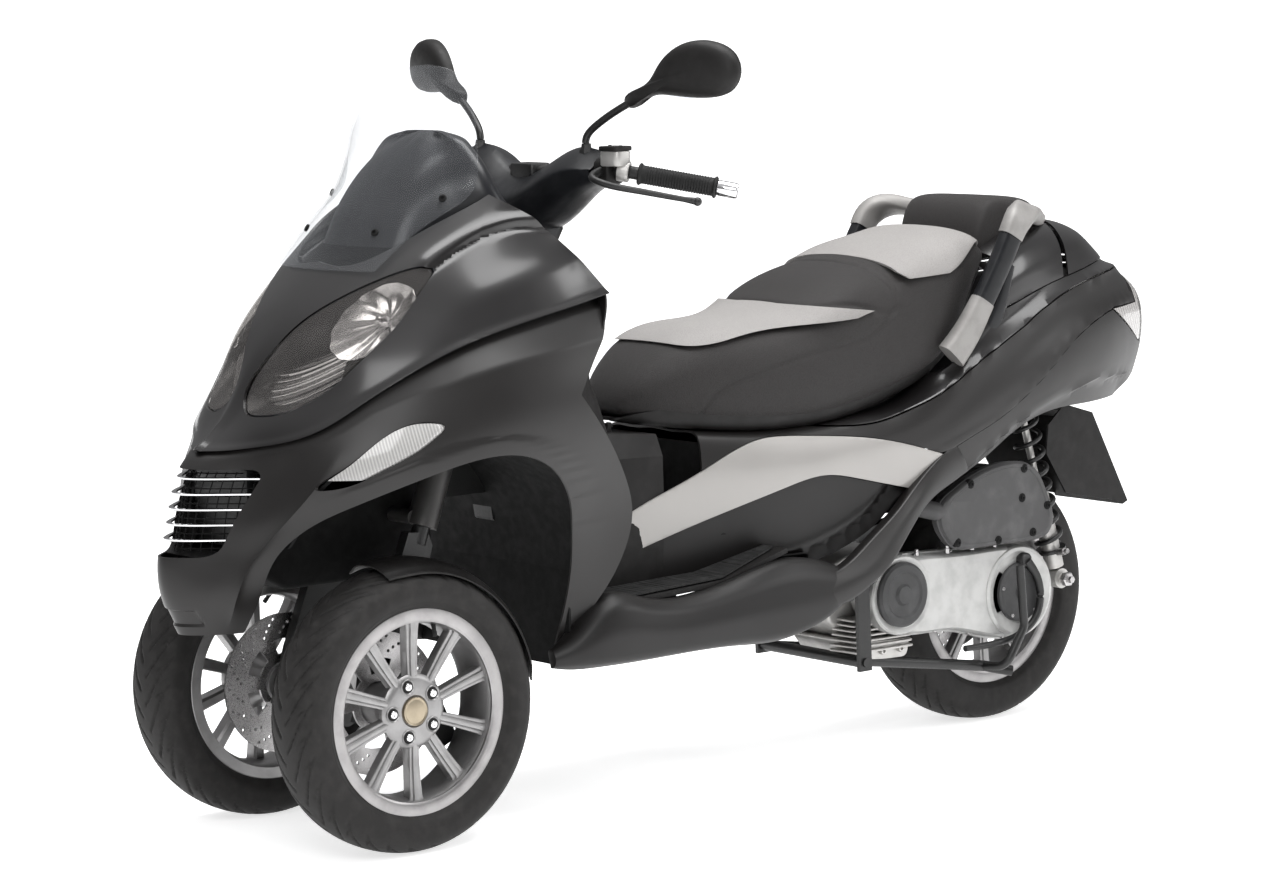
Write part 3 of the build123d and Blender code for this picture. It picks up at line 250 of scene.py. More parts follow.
def prism(name: str, outline: Sequence, facing: Facing, start: float, end: float) -> bpy.types.Object:
    """A closed outline pushed from start to end along the plane's third axis."""
    flat = np.asarray(outline, float)
    count = len(flat)
    points = np.zeros((2, count, 3))
    first, second, along = facing.value
    points[:, :, first], points[:, :, second] = flat[:, 0], flat[:, 1]
    points[0, :, along], points[1, :, along] = start, end
    return put_grid(name, points, wrap_cols=True, caps=True)


def plate(name: str, outlines: Sequence[Array], facing: Facing, start: float, end: float) -> bpy.types.Object:
    """A flat plate with holes: the first outline is its edge, the others are holes, pushed from start to end."""
    shape = bmesh.new()
    first, second, along = facing.value
    for outline in outlines:
        corners = np.zeros((len(outline), 3))
        corners[:, first], corners[:, second], corners[:, along] = outline[:, 0], outline[:, 1], start
        ring = [shape.verts.new(corner) for corner in place(corners)]
        for here, there in zip(ring, ring[1:] + ring[:1]):
            shape.edges.new((here, there))
    bmesh.ops.triangle_fill(shape, edges=shape.edges[:], use_beauty=True, use_dissolve=False)
    push = [0.0, 0.0, 0.0]
    push[along] = (end - start) / 1000
    made = bmesh.ops.extrude_face_region(shape, geom=shape.faces[:], use_keep_orig=True)
    bmesh.ops.translate(shape, vec=push, verts=[item for item in made["geom"] if isinstance(item, bmesh.types.BMVert)])
    bmesh.ops.recalc_face_normals(shape, faces=shape.faces)
    mesh = bpy.data.meshes.new(name)
    shape.to_mesh(mesh)
    shape.free()
    piece = bpy.data.objects.new(name, mesh)
    bpy.context.scene.collection.objects.link(piece)
    return piece


def lathe(name: str, profile: Sequence, centre: Sequence[float], axis: Sequence[float], turns: int = 48,
          closed: bool = True) -> bpy.types.Object:
    """A profile of (distance along the axis, radius) turned about the axis: p = c + u a + r (cos t e1 + sin t e2)."""
    profile, a = np.asarray(profile, float), np.asarray(Vector(axis).normalized())
    e1 = np.cross(a, [0, 0, 1] if abs(a[2]) < 0.9 else [0, 1, 0])
    e1 = e1 / np.linalg.norm(e1)
    e2 = np.cross(a, e1)
    t = np.linspace(0, 2 * math.pi, turns, endpoint=False)
    ring = np.cos(t)[:, None] * e1 + np.sin(t)[:, None] * e2
    points = np.asarray(centre, float) + profile[:, 0, None, None] * a + profile[:, 1, None, None] * ring
    made = put_grid(name, points, wrap_rows=closed, wrap_cols=True)
    face_out(made, 1e-5)
    return made


def sweep(name: str, path: Array, radius: float | Array, sides: int = 12, section: Array | None = None,
          up: Sequence[float] = (0, 0, 1)) -> bpy.types.Object:
    """A closed tube along the path: each ring is the section scaled by the local radius in the path's own frame.

    Args:
        path: points of the centre line.
        radius: one value, or one for each point.
        sides: points of a round section.
        section: two columns, sideways and up, in units of the radius; a circle when left out.
        up: direction that fixes the frame.

    Returns:
        The capped tube.
    """
    path = np.asarray(path, float)
    tangent = np.gradient(path, axis=0)
    tangent /= np.linalg.norm(tangent, axis=1)[:, None]
    sideways = np.cross(tangent, np.asarray(up, float))
    weak = np.linalg.norm(sideways, axis=1) < 1e-3
    sideways[weak] = np.cross(tangent[weak], [1.0, 0.0, 0.0])
    sideways /= np.linalg.norm(sideways, axis=1)[:, None]
    upward = np.cross(sideways, tangent)
    t = np.linspace(0, 2 * math.pi, sides, endpoint=False)
    section = np.stack([np.cos(t), np.sin(t)], axis=1) if section is None else np.asarray(section, float)
    size = np.broadcast_to(np.asarray(radius, float), len(path))[:, None, None]
    rings = path[:, None] + size * (section[None, :, :1] * sideways[:, None] + section[None, :, 1:] * upward[:, None])
    return put_grid(name, rings, wrap_cols=True, caps=True)


def tube(name: str, points: Sequence, radius: float, count: int = 40, sides: int = 12) -> bpy.types.Object:
    """A round tube along the smooth line through the points."""
    return sweep(name, smooth_line(points, count), radius, sides)


def bolt(name: str, centre: Sequence[float], axis: Sequence[float], radius: float, height: float) -> bpy.types.Object:
    """A socket-head screw: domed head with a sunk six-sided socket."""
    r, h = radius, height
    profile = [(0, r), (h * 0.75, r), (h * 0.95, 0.88 * r), (h, 0.7 * r), (h, 0.48 * r), (h * 0.45, 0.44 * r),
               (h * 0.45, 0.01)]
    return lathe(name, profile, centre, axis, turns=12, closed=False)


def helix(name: str, foot: Sequence[float], top: Sequence[float], coil: float, wire: float,
          turns: float) -> bpy.types.Object:
    """A coil spring: the wire's centre turns about the line from foot to top at the coil's radius."""
    foot, top = np.asarray(foot, float), np.asarray(top, float)
    a = (top - foot) / np.linalg.norm(top - foot)
    e1 = np.cross(a, [1.0, 0, 0])
    e1 /= np.linalg.norm(e1)
    e2 = np.cross(a, e1)
    s = np.linspace(0, 1, int(turns * 20))[:, None]
    t = 2 * math.pi * turns * s
    return sweep(name, foot + (top - foot) * s + coil * (np.cos(t) * e1 + np.sin(t) * e2), wire, 8, up=a)


def dress(piece: bpy.types.Object, body: str, finish: bpy.types.Material,
          nodes: Sequence[str] = ()) -> bpy.types.Object:
    """Gives a new piece its material, its body and the CAD nodes that it stands for."""
    piece.data.materials.clear()
    piece.data.materials.append(finish)
    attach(piece, body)
    if nodes:
        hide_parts(*nodes)
    LOG.info("%s: %d faces on %s", piece.name, len(piece.data.polygons), body)
    return piece


def repaint(node: str, finish: bpy.types.Material) -> None:
    """Gives a CAD node that stays its material."""
    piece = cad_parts[node]
    piece.data.materials.clear()
    piece.data.materials.append(finish)


# ------------------------------------------------------------------------------- panels
def aim(piece: bpy.types.Object, inside: Sequence[float]) -> bpy.types.Object:
    """Turns the faces of an open sheet away from a point inside, in millimetres."""
    mesh = piece.data
    count = len(mesh.polygons)
    normals, centres = np.empty(count * 3), np.empty(count * 3)
    mesh.polygons.foreach_get("normal", normals)
    mesh.polygons.foreach_get("center", centres)
    away = centres.reshape(-1, 3) - place(np.asarray(inside, float))
    if (normals.reshape(-1, 3) * away).sum() < 0:
        mesh.flip_normals()
    return piece


def shell(name: str, points: Array, inside: Sequence[float], wall: float = PANEL, grow: float = 0.0,
          wrap_cols: bool = False) -> bpy.types.Object:
    """A sheet from a grid of points, given a wall towards the inside (grow 0) or the outside (grow 1)."""
    rows, cols = points.shape[:2]
    sheet = put_mesh(name, points.reshape(-1, 3), grid_faces(rows, cols, False, wrap_cols))
    aim(sheet, inside)
    return modify(sheet, "SOLIDIFY", thickness=wall / 1000, offset=2 * grow - 1, use_even_offset=True, use_rim=True)


def lift(points: Array, amount: Array, inside: Sequence[float]) -> Array:
    """Moves each grid point along the surface's normal, away from a point inside."""
    normal = np.cross(np.gradient(points, axis=0), np.gradient(points, axis=1))
    normal /= np.linalg.norm(normal, axis=-1, keepdims=True) + 1e-9
    sign = np.sign((normal * (points - np.asarray(inside, float))).sum(axis=-1, keepdims=True))
    return points + normal * sign * np.asarray(amount)[..., None]


def step(value: Array, low: float, high: float) -> Array:
    """Smooth 0 to 1 between two limits: 3 t^2 - 2 t^3."""
    t = np.clip((np.asarray(value, float) - low) / (high - low), 0, 1)
    return t * t * (3 - 2 * t)


def apart(first: Array, second: Array, outline: Sequence) -> Array:
    """Least distance from each (first, second) point to a polyline."""
    line = np.asarray(outline, float)
    here = np.stack([first, second], axis=-1)[..., None, :]
    a, b = line[:-1], line[1:]
    run = b - a
    share = np.clip(((here - a) * run).sum(-1) / (run**2).sum(-1), 0, 1)
    return np.linalg.norm(here - (a + share[..., None] * run), axis=-1).min(axis=-1)


def mirrored_outline(outline: Array) -> Array:
    """A front-view outline on the other side."""
    return np.asarray(outline, float) * [-1, 1]


def offset_outline(outline: Array, distance: float) -> Array:
    """A closed outline moved outwards by a distance: each point along the normal of its neighbours' chord."""
    outline = np.asarray(outline, float)
    chord_run = np.roll(outline, -1, axis=0) - np.roll(outline, 1, axis=0)
    normal = np.stack([chord_run[:, 1], -chord_run[:, 0]], axis=1)
    normal /= np.linalg.norm(normal, axis=1)[:, None] + 1e-9
    x, y = outline[:, 0], outline[:, 1]
    area = (x * np.roll(y, -1) - y * np.roll(x, -1)).sum()
    return outline + normal * distance * np.sign(area)


def closed_curve(points: Sequence, count: int) -> Array:
    """A smooth closed outline through the points: a cubic carried round three times, with its middle lap kept."""
    points = np.asarray(points, float)
    lap = len(points)
    tripled = np.concatenate([points, points, points, points[:1]])
    steps = np.concatenate([[0], np.cumsum(np.linalg.norm(np.diff(tripled, axis=0), axis=1))])
    return spline(steps, tripled, np.linspace(steps[lap], steps[2 * lap], count, endpoint=False))


# ------------------------------------------------------------------------------- materials
class Wire:
    """A shader socket that takes part in Python arithmetic: each operation adds one Math node."""

    def __init__(self, shader: "Shader", socket: bpy.types.NodeSocket) -> None:
        """Keeps the socket and the shader that it belongs to."""
        self.shader = shader
        self.socket = socket

    def _maths(self, operation: str, *values: "Wire | float") -> "Wire":
        """One Math node on the values."""
        return self.shader.node("ShaderNodeMath", {"operation": operation}, dict(enumerate(values)))

    def __add__(self, other: "Wire | float") -> "Wire":
        """Sum."""
        return self._maths("ADD", self, other)

    def __sub__(self, other: "Wire | float") -> "Wire":
        """Difference."""
        return self._maths("SUBTRACT", self, other)

    def __rsub__(self, other: float) -> "Wire":
        """Difference with the value on the left."""
        return self._maths("SUBTRACT", other, self)

    def __mul__(self, other: "Wire | float") -> "Wire":
        """Product."""
        return self._maths("MULTIPLY", self, other)

    def __gt__(self, other: float) -> "Wire":
        """1 where the value is over the limit, else 0."""
        return self._maths("GREATER_THAN", self, other)

    def __pow__(self, other: float) -> "Wire":
        """Power."""
        return self._maths("POWER", self, other)

    def ramp(self, low: float, high: float, to_low: float = 0.0, to_high: float = 1.0) -> "Wire":
        """The value's place between two limits, carried over to two others and held there."""
        return self.shader.node("ShaderNodeMapRange", {"interpolation_type": "SMOOTHSTEP"},
                                {0: self, 1: low, 2: high, 3: to_low, 4: to_high})

    __radd__, __rmul__ = __add__, __mul__


class Shader:
    """A material being made: its node tree, its Principled shader and the one method that adds a node."""

    def __init__(self, name: str) -> None:
        """Makes the material with a bare Principled shader."""
        self.material = bpy.data.materials.new(name)
        self.material.use_nodes = True
        self.tree = self.material.node_tree
        self.surface = self.tree.nodes["Principled BSDF"]
        self.place = self.node("ShaderNodeTexCoord", out="Object")

    def node(self, kind: str, settings: dict | None = None, sockets: dict | None = None,
             out: int | str = 0) -> Wire:
        """Adds a node.

        Args:
            kind: the node's type.
            settings: its properties.
            sockets: input name or number to a value or a Wire.
            out: the output to return.

        Returns:
            The chosen output.
        """
        made = self.tree.nodes.new(kind)
        for key, value in (settings or {}).items():
            setattr(made, key, value)
        for key, value in (sockets or {}).items():
            if isinstance(value, Wire):
                self.tree.links.new(value.socket, made.inputs[key])
            else:
                made.inputs[key].default_value = value
        return Wire(self, made.outputs[out])

    def set(self, **values: object) -> "Shader":
        """Sets the Principled shader's sockets; underscores in a name stand for spaces."""
        for key, value in values.items():
            socket = self.surface.inputs[key.replace("_", " ")]
            if isinstance(value, Wire):
                self.tree.links.new(value.socket, socket)
            elif isinstance(value, tuple):
                socket.default_value = (*value, 1.0)
            else:
                socket.default_value = value
        return self

    def noise(self, scale: float, detail: float) -> Wire:
        """Fractal noise from 0 to 1, scale in features a metre."""
        return self.node("ShaderNodeTexNoise", {}, {"Vector": self.place, "Scale": scale, "Detail": detail})

    def cells(self, scale: float, feature: str = "F1") -> Wire:
        """Distance to the nearest cell point, scale in cells a metre."""
        return self.node("ShaderNodeTexVoronoi", {"feature": feature}, {"Vector": self.place, "Scale": scale},
                         "Distance")

    def axis(self, index: int) -> Wire:
        """One coordinate of the place, in metres: 0 left, 1 aft, 2 up."""
        return self.node("ShaderNodeSeparateXYZ", {}, {0: self.place}, index)

    def blend(self, share: Wire | float, first: Colour, second: Colour) -> Wire:
        """The mix of two colours."""
        return self.node("ShaderNodeMix", {"data_type": "RGBA"}, {0: share, 6: (*first, 1), 7: (*second, 1)}, 2)

    def bump(self, height: Wire, distance: float, strength: float = 1.0) -> "Shader":
        """Feeds a height into the normal; distance is the relief in metres."""
        normal = self.node("ShaderNodeBump", {}, {"Height": height, "Distance": distance, "Strength": strength})
        return self.set(Normal=normal)

    def done(self) -> bpy.types.Material:
        """The finished material."""
        return self.material


@dataclass(frozen=True)
class Lacquer:
    """Painted panel: a dark base with fine pigment variation under clear coat, with faint orange peel."""

    name: str
    colour: Colour
    roughness: float
    coat: float
    metal: float = 0.0
    coat_rough: float = 0.12

    def material(self) -> bpy.types.Material:
        """Builds the paint."""
        paint = Shader(self.name)
        tone = paint.noise(9, 2)
        grain = paint.noise(2600, 1)
        darker = tuple(0.82 * c for c in self.colour)
        paint.set(Base_Color=paint.blend(tone * 0.5 + grain * 0.5, darker, self.colour), Metallic=self.metal,
                  Roughness=tone.ramp(0.3, 0.7, self.roughness - 0.03, self.roughness + 0.03),
                  Coat_Weight=self.coat, Coat_Roughness=self.coat_rough, Specular_IOR_Level=0.35)
        return paint.bump(paint.noise(240, 2), 0.00002).done()


@dataclass(frozen=True)
class Moulding:
    """Grained plastic: fine cells of texture, slightly greyer where it is rubbed."""

    name: str
    colour: Colour
    roughness: float
    grain: float = 1400.0
    depth: float = 0.00006

    def material(self) -> bpy.types.Material:
        """Builds the plastic."""
        plastic = Shader(self.name)
        worn = plastic.noise(22, 4).ramp(0.45, 0.75)
        paler = tuple(min(1.0, c * 1.35 + 0.004) for c in self.colour)
        plastic.set(Base_Color=plastic.blend(worn, self.colour, paler),
                    Roughness=plastic.noise(60, 3).ramp(0.3, 0.7, self.roughness - 0.05, self.roughness + 0.06),
                    Specular_IOR_Level=0.28)
        return plastic.bump(plastic.cells(self.grain), self.depth).done()


@dataclass(frozen=True)
class Vinyl:
    """Seat cover: pebbled leather grain with softer sheen on the raised cells, and colour painted darker in the grooves
    between cells as shade.
    """

    name: str
    colour: Colour
    roughness: float

    def material(self) -> bpy.types.Material:
        """Builds the vinyl."""
        vinyl = Shader(self.name)
        pebble = vinyl.cells(520, "DISTANCE_TO_EDGE").ramp(0.0, 0.28)
        tone = vinyl.noise(14, 3)
        # darker colour for the grooves between the pebble cells: painted shade in the grain's recesses
        darker = tuple(0.7 * c for c in self.colour)
        vinyl.set(Base_Color=vinyl.blend(pebble * 0.7 + tone * 0.3, darker, self.colour),
                  Roughness=pebble.ramp(0, 1, self.roughness + 0.12, self.roughness), Sheen_Weight=0.05,
                  Sheen_Roughness=0.4, Specular_IOR_Level=0.3)
        return vinyl.bump(pebble + vinyl.noise(1800, 2) * 0.3, 0.00025).done()


@dataclass(frozen=True)
class Rubber:
    """Rubber: matt, a little grey with dust in its pores."""

    name: str
    colour: Colour
    roughness: float = 0.68
    ribs: float = 0.0

    def material(self) -> bpy.types.Material:
        """Builds the rubber, with cross ribs where ribs gives their number a metre."""
        rubber = Shader(self.name)
        dust = rubber.noise(40, 5).ramp(0.4, 0.8)
        rubber.set(Base_Color=rubber.blend(dust, self.colour, tuple(c * 1.6 + 0.006 for c in self.colour)),
                   Roughness=dust.ramp(0, 1, self.roughness, self.roughness + 0.12), Specular_IOR_Level=0.25)
        height = rubber.noise(900, 3)
        if self.ribs:
            wave = rubber.node("ShaderNodeMath", {"operation": "SINE"}, {0: rubber.axis(1) * (6.283 * self.ribs)})
            height = height * 0.2 + wave.ramp(-0.4, 0.4)
        return rubber.bump(height, 0.0012 if self.ribs else 0.00012).done()


@dataclass(frozen=True)
class Metal:
    """Bare or thinly painted metal: colour, polish, and the grain its making left."""

    name: str
    colour: Colour
    roughness: float
    metal: float = 1.0
    grain: float = 500.0
    depth: float = 0.00005

    def material(self) -> bpy.types.Material:
        """Builds the metal."""
        metal = Shader(self.name)
        stain = metal.noise(30, 4).ramp(0.35, 0.75)
        scratch = metal.noise(self.grain, 4)
        metal.set(Base_Color=metal.blend(stain, self.colour, tuple(0.8 * c for c in self.colour)),
                  Metallic=self.metal,
                  Roughness=scratch.ramp(0.3, 0.7, max(0.03, self.roughness - 0.06), self.roughness + 0.06))
        return metal.bump(scratch, self.depth).done()


@dataclass(frozen=True)
class Glazing:
    """Thin clear sheet: mostly see-through, brighter and more reflecting where it is seen edge-on."""

    name: str
    tint: Colour
    haze: float
    body: Colour = (0.8, 0.82, 0.84)

    def material(self) -> bpy.types.Material:
        """Builds the sheet as a mix of see-through and glossy parts."""
        glass = Shader(self.name)
        glass.set(Base_Color=self.body, Roughness=0.04, IOR=1.49)
        clear = glass.node("ShaderNodeBsdfTransparent", {}, {"Color": (*self.tint, 1)})
        edge = glass.node("ShaderNodeLayerWeight", {}, {"Blend": 0.35}, "Facing")
        share = edge ** 3.2 * 0.55 + self.haze
        mixed = glass.node("ShaderNodeMixShader", {}, {0: share, 1: clear,
                                                       2: Wire(glass, glass.surface.outputs[0])})
        glass.tree.links.new(mixed.socket, glass.tree.nodes["Material Output"].inputs["Surface"])
        return glass.done()


class Finishes:
    """Every finish of the vehicle, built once."""

    def __init__(self) -> None:
        """Builds the materials."""
        self.gloss = Lacquer("paint_gloss", (0.0085, 0.0075, 0.0078), 0.36, 0.75, 0.1, 0.16).material()
        self.satin = Lacquer("paint_satin", (0.0075, 0.0063, 0.0060), 0.46, 0.3, 0.1, 0.3).material()
        # darker copy of the satin paint with less clear coat, for the low and recessed panels: painted shade
        self.satin_shaded = Lacquer("paint_satin_shaded", (0.0062, 0.0053, 0.0052), 0.5, 0.12, 0.05, 0.3).material()
        self.stripe = Lacquer("stripe_silver", (0.42, 0.405, 0.39), 0.4, 0.4, 0.3).material()
        self.black = Moulding("black_plastic", (0.0070, 0.0063, 0.0061), 0.52).material()
        self.semi = Moulding("semi_gloss_plastic", (0.0085, 0.009, 0.0105), 0.34, 1600, 0.00001).material()
        self.grey = Moulding("grey_plastic", (0.075, 0.074, 0.075), 0.55).material()
        self.mat = Rubber("floor_mat", (0.014, 0.014, 0.014), 0.6, ribs=70).material()
        self.vinyl = Vinyl("seat_vinyl", (0.026, 0.0235, 0.023), 0.48).material()
        self.vinyl_top = Vinyl("seat_vinyl_grey", (0.37, 0.355, 0.345), 0.5).material()
        self.rubber = Rubber("rubber_black", (0.012, 0.012, 0.012), 0.6).material()
        self.tyre = Rubber("tyre_black", (0.0175, 0.0165, 0.016), 0.62).material()
        self.rim = Metal("rim_grey", (0.33, 0.325, 0.325), 0.38, 0.8, 700).material()
        self.rim_edge = Metal("rim_edge", (0.36, 0.35, 0.35), 0.36, 0.85, 900, 0.00002).material()
        self.disc = Metal("disc_steel", (0.48, 0.47, 0.47), 0.3, 1.0, 900, 0.00003).material()
        self.cast = Metal("cast_alloy", (0.50, 0.49, 0.475), 0.44, 0.7, 420, 0.0001).material()
        self.white_cast = Metal("painted_alloy", (0.52, 0.52, 0.51), 0.42, 0.3, 420, 0.00008).material()
        self.frame = Metal("frame_black", (0.009, 0.009, 0.009), 0.42, 0.0, 300).material()
        self.arm = Metal("arm_grey", (0.07, 0.068, 0.066), 0.42, 0.5, 300).material()
        self.chrome = Metal("chrome", (0.85, 0.85, 0.86), 0.1, 1.0, 300, 0.00001).material()
        self.silver = Metal("rail_silver", (0.31, 0.30, 0.29), 0.55, 0.3, 500, 0.00002).material()
        self.brass = Metal("cap_bronze", (0.40, 0.34, 0.25), 0.35, 0.8, 500).material()
        self.mirror = Metal("mirror_glass", (0.82, 0.84, 0.87), 0.04, 1.0, 200, 0.000005).material()
        self.screen = Glazing("clear_screen", (0.93, 0.935, 0.94), 0.05, (0.40, 0.41, 0.43)).material()
        self.lens = Glazing("clear_lens", (0.86, 0.85, 0.84), 0.13, (0.22, 0.21, 0.205)).material()
        self.signal = self._ribbed("signal_lens", (0.55, 0.54, 0.53))
        self.tail_lens = self._ribbed("tail_lens", (0.56, 0.54, 0.525))
        self.reflector = Metal("reflector", (0.72, 0.72, 0.73), 0.2, 1.0, 200, 0.00001).material()
        self.hood = Lacquer("hood_black", (0.0085, 0.009, 0.0115), 0.34, 0.3, 0.0, 0.25).material()
        # Near-black, darker than the black plastic: painted shade for the arch roof and liner, the housing behind the
        # chin, the peg trays, the filler under the seat and the storage tub; also the colour of the grille mesh, the
        # pegs and the small dark screws.
        self.void = Moulding("near_black_and_painted_shade", (0.003, 0.003, 0.003), 0.8).material()
        self.grey_dark = Moulding("cover_grey", (0.055, 0.055, 0.056), 0.5).material()
        self.glass_black = Lacquer("dial_glass", (0.008, 0.008, 0.009), 0.08, 1.0).material()

    @staticmethod
    def _ribbed(name: str, colour: Colour) -> bpy.types.Material:
        """Frosted lens: pale and glossy, with fine ribs across it; each rib's trough is painted darker as shade."""
        lens = Shader(name)
        along = lens.axis(0) * 0.8 + lens.axis(1) * 1.0 + lens.axis(2) * 0.35
        rib = lens.node("ShaderNodeMath", {"operation": "SINE"}, {0: along * 900.0})
        # colour darker in each rib's trough: painted shade
        lens.set(Base_Color=lens.blend(rib.ramp(-1, 1), tuple(0.72 * c for c in colour), colour), Roughness=0.18,
                 Coat_Weight=0.8, Coat_Roughness=0.04)
        return lens.bump(rib, 0.0004).done()


# ------------------------------------------------------------------------------- wheels
@dataclass
class Wheel:
    """One wheel: treaded tyre, ten-spoke cast rim with bolts and cap, and a drilled disc."""

    name: str
    x: float
    aft: float
    radius: float
    width: float
    outward: int
    hub_inner: float
    disc_x: float
    spokes: int = 10
    flange: float = 170.0
    barrel: float = 150.0
    half_rim: float = 47.0
    hub_face: float = 34.0
    pitches: int = 31
    groove_depth: float = 3.0
    disc_radius: float = 120.0
    disc_bore: float = 36.6
    hole_rings: tuple = ((112, 0.0), (104, 5.0), (96, 10.0), (88, 15.0))
    holes_round: int = 18
    hole_radius: float = 3.0
    window_reach: tuple = (50.0, 76.0)

    @property
    def body(self) -> str:
        """The body that the wheel turns with."""
        return f"wheel_{self.name}"

    @property
    def centre(self) -> tuple[float, float, float]:
        """The wheel's middle."""
        return (self.x, self.aft, self.radius)

    def ring(self, profile: Sequence, turns: int, label: str, closed: bool = True) -> bpy.types.Object:
        """A turned part of the wheel; the profile's first number runs outwards along the axle."""
        return lathe(f"{label}_{self.name}", profile, self.centre, (self.outward, 0, 0), turns, closed)

    def groove(self, run: Array, across: Array) -> Array:
        """Tread cuts: curved lines that lean back as they leave the middle, and short cuts on the shoulder.

        Args:
            run: distance round the tyre.
            across: distance from the middle plane.

        Returns:
            Depth of the cut, 0 to 1: each cut is a band about the line run + lean(across) = a multiple of the pitch.
        """
        pitch = 2 * math.pi * self.radius / self.pitches
        out = np.abs(across)
        lean = 0.9 * out + 0.016 * out**2 + np.where(across < 0, pitch / 2, 0.0)
        long_cut = np.abs((run + lean) % pitch - pitch / 2)
        short_cut = np.abs((run + 1.5 * out + pitch * 0.35 + np.where(across < 0, pitch / 2, 0)) % pitch - pitch / 2)
        reach = 0.47 * self.width
        first = np.clip((3.4 - long_cut) / 1.5, 0, 1) * np.clip((out - 4) / 3, 0, 1) * np.clip((reach - out) / 3, 0, 1)
        second = np.clip((2.2 - short_cut) / 1.2, 0, 1) * np.clip((out - 0.26 * self.width) / 3, 0, 1)
        return np.maximum(first, 0.8 * second * np.clip((reach - 3 - out) / 3, 0, 1))

    def tyre(self, turns: int = 440) -> bpy.types.Object:
        """The tyre: a spline section turned about the axle, with the tread cut radially and two sidewall ribs."""
        half, top = self.width / 2, self.radius
        outer = [(41, 160), (46.5, 171), (0.88 * half, 179), (0.985 * half, top - 48), (half, top - 34),
                 (0.95 * half, top - 21), (0.80 * half, top - 10.5), (0.58 * half, top - 4.3), (0.3 * half, top - 1.0),
                 (0, top)]
        section = np.array(outer + [(-a, r) for a, r in outer[-2::-1]], float)
        dense = smooth_line(section, 88)
        across, out = dense[:, 0], dense[:, 1]
        rib = np.exp(-((out - 181) / 1.3) ** 2) + np.exp(-((out - (top - 26)) / 1.1) ** 2)
        across = across + np.sign(across) * 0.8 * rib
        inner = np.array([(-38, 158), (38, 158)])
        across, out = np.concatenate([across, inner[:, 0]]), np.concatenate([out, inner[:, 1]])
        angle = np.linspace(0, 2 * math.pi, turns, endpoint=False)
        tread = (out > top - 24)[:, None] * self.groove(angle[None, :] * self.radius, across[:, None])
        reach = out[:, None] - self.groove_depth * tread
        points = np.stack([self.x + self.outward * across[:, None] + 0 * reach,
                           self.aft + reach * np.cos(angle), self.radius + reach * np.sin(angle)], axis=-1)
        return put_grid(f"tyre_tread_{self.name}", points, wrap_rows=True, wrap_cols=True)

    def spoke(self, angle: float, index: int) -> bpy.types.Object:
        """One spoke: a closed section with a raised middle rib, carried from hub to barrel and widening outwards.

        Args:
            angle: direction from the hub.
            index: number for its name.

        Returns:
            The spoke.
        """
        s = np.linspace(0, 1, 15)
        reach = 30 + (self.barrel + 2 - 30) * s
        wide = 9.6 + 3.4 * s**1.6 + 5 * np.clip((s - 0.9) / 0.1, 0, 1) ** 2
        face = self.hub_face - 1 - 3.0 * np.sin(math.pi * s) + 2.5 * s
        section = np.array([(-1, 0), (-0.93, 0.09), (-0.62, 0.13), (-0.5, 0.1), (-0.4, 0.26), (-0.16, 0.3), (0.16, 0.3),
                            (0.4, 0.26), (0.5, 0.1), (0.62, 0.13), (0.93, 0.09), (1, 0), (0.86, -1.1), (0.5, -1.35),
                            (-0.5, -1.35), (-0.86, -1.1)])
        depth = section[None, :, 1] * np.where(section[:, 1] > 0, 15.0, 17.0)
        outward = face[:, None] - 3.5 + depth
        side = section[None, :, 0] * wide[:, None]
        along, cross = np.array([math.cos(angle), math.sin(angle)]), np.array([-math.sin(angle), math.cos(angle)])
        plane = reach[:, None, None] * along + side[..., None] * cross
        points = np.stack([self.x + self.outward * outward, self.aft + plane[..., 0], self.radius + plane[..., 1]],
                          axis=-1)
        return put_grid(f"spoke_{self.name}_{index}", points, wrap_cols=True, caps=True)

    def rim(self) -> bpy.types.Object:
        """Barrel with rolled flanges, hub, spokes and bolt seats as one casting."""
        b, h, f = self.barrel, self.half_rim, self.flange
        barrel = self.ring([(-h, b + 2), (-h + 6, b - 2), (-24, b - 6), (24, b - 6), (h - 8, b - 1), (h - 5, b + 1),
                            (h - 6, b + 8), (-h + 4, b + 8)], 144, "barrel")
        inner_lip = self.ring([(-h, b + 1), (-h, f - 1), (-h + 1.5, f + 1), (-h + 4, f), (-h + 5, b + 6), (-h + 4, b)],
                              128, "inner_lip")
        hub = self.ring([(-self.hub_inner, 13), (-self.hub_inner, 34), (-30, 38), (4, 52), (18, 60),
                         (self.hub_face - 6, 62),
                         (self.hub_face - 2, 58), (self.hub_face, 50), (self.hub_face, 27), (self.hub_face - 3, 24),
                         (self.hub_face - 3, 13)], 80, "hub")
        spokes = [self.spoke(math.radians(90 + 360 / self.spokes * k), k) for k in range(self.spokes)]
        seats = []
        for k in range(5):
            turn = math.radians(108 + 72 * k)
            at = (self.x, self.aft + 44 * math.cos(turn), self.radius + 44 * math.sin(turn))
            seats.append(lathe(f"seat_{self.name}_{k}", [(self.hub_face - 8, 13.5), (self.hub_face + 1, 13.5),
                                                         (self.hub_face + 2, 12.4), (self.hub_face + 0.4, 10.6),
                                                         (self.hub_face - 8, 10.2)], at, (self.outward, 0, 0), 20))
        return soften(join(f"rim_cast_{self.name}", [barrel, inner_lip, hub, *spokes, *seats]), 34)

    def edge(self) -> bpy.types.Object:
        """The wide bright ring that the outer flange shows."""
        b, h, f = self.barrel, self.half_rim, self.flange
        ring = self.ring([(h - 7, b - 0.5), (h - 2, b - 1.2), (h - 0.6, b + 1), (h + 0.4, b + 4), (h + 0.8, f - 4),
                          (h + 0.2, f + 0.6), (h - 2, f + 1.6), (h - 4.5, f), (h - 5.5, b + 6)], 160, "rim_ring")
        return soften(ring, 30)

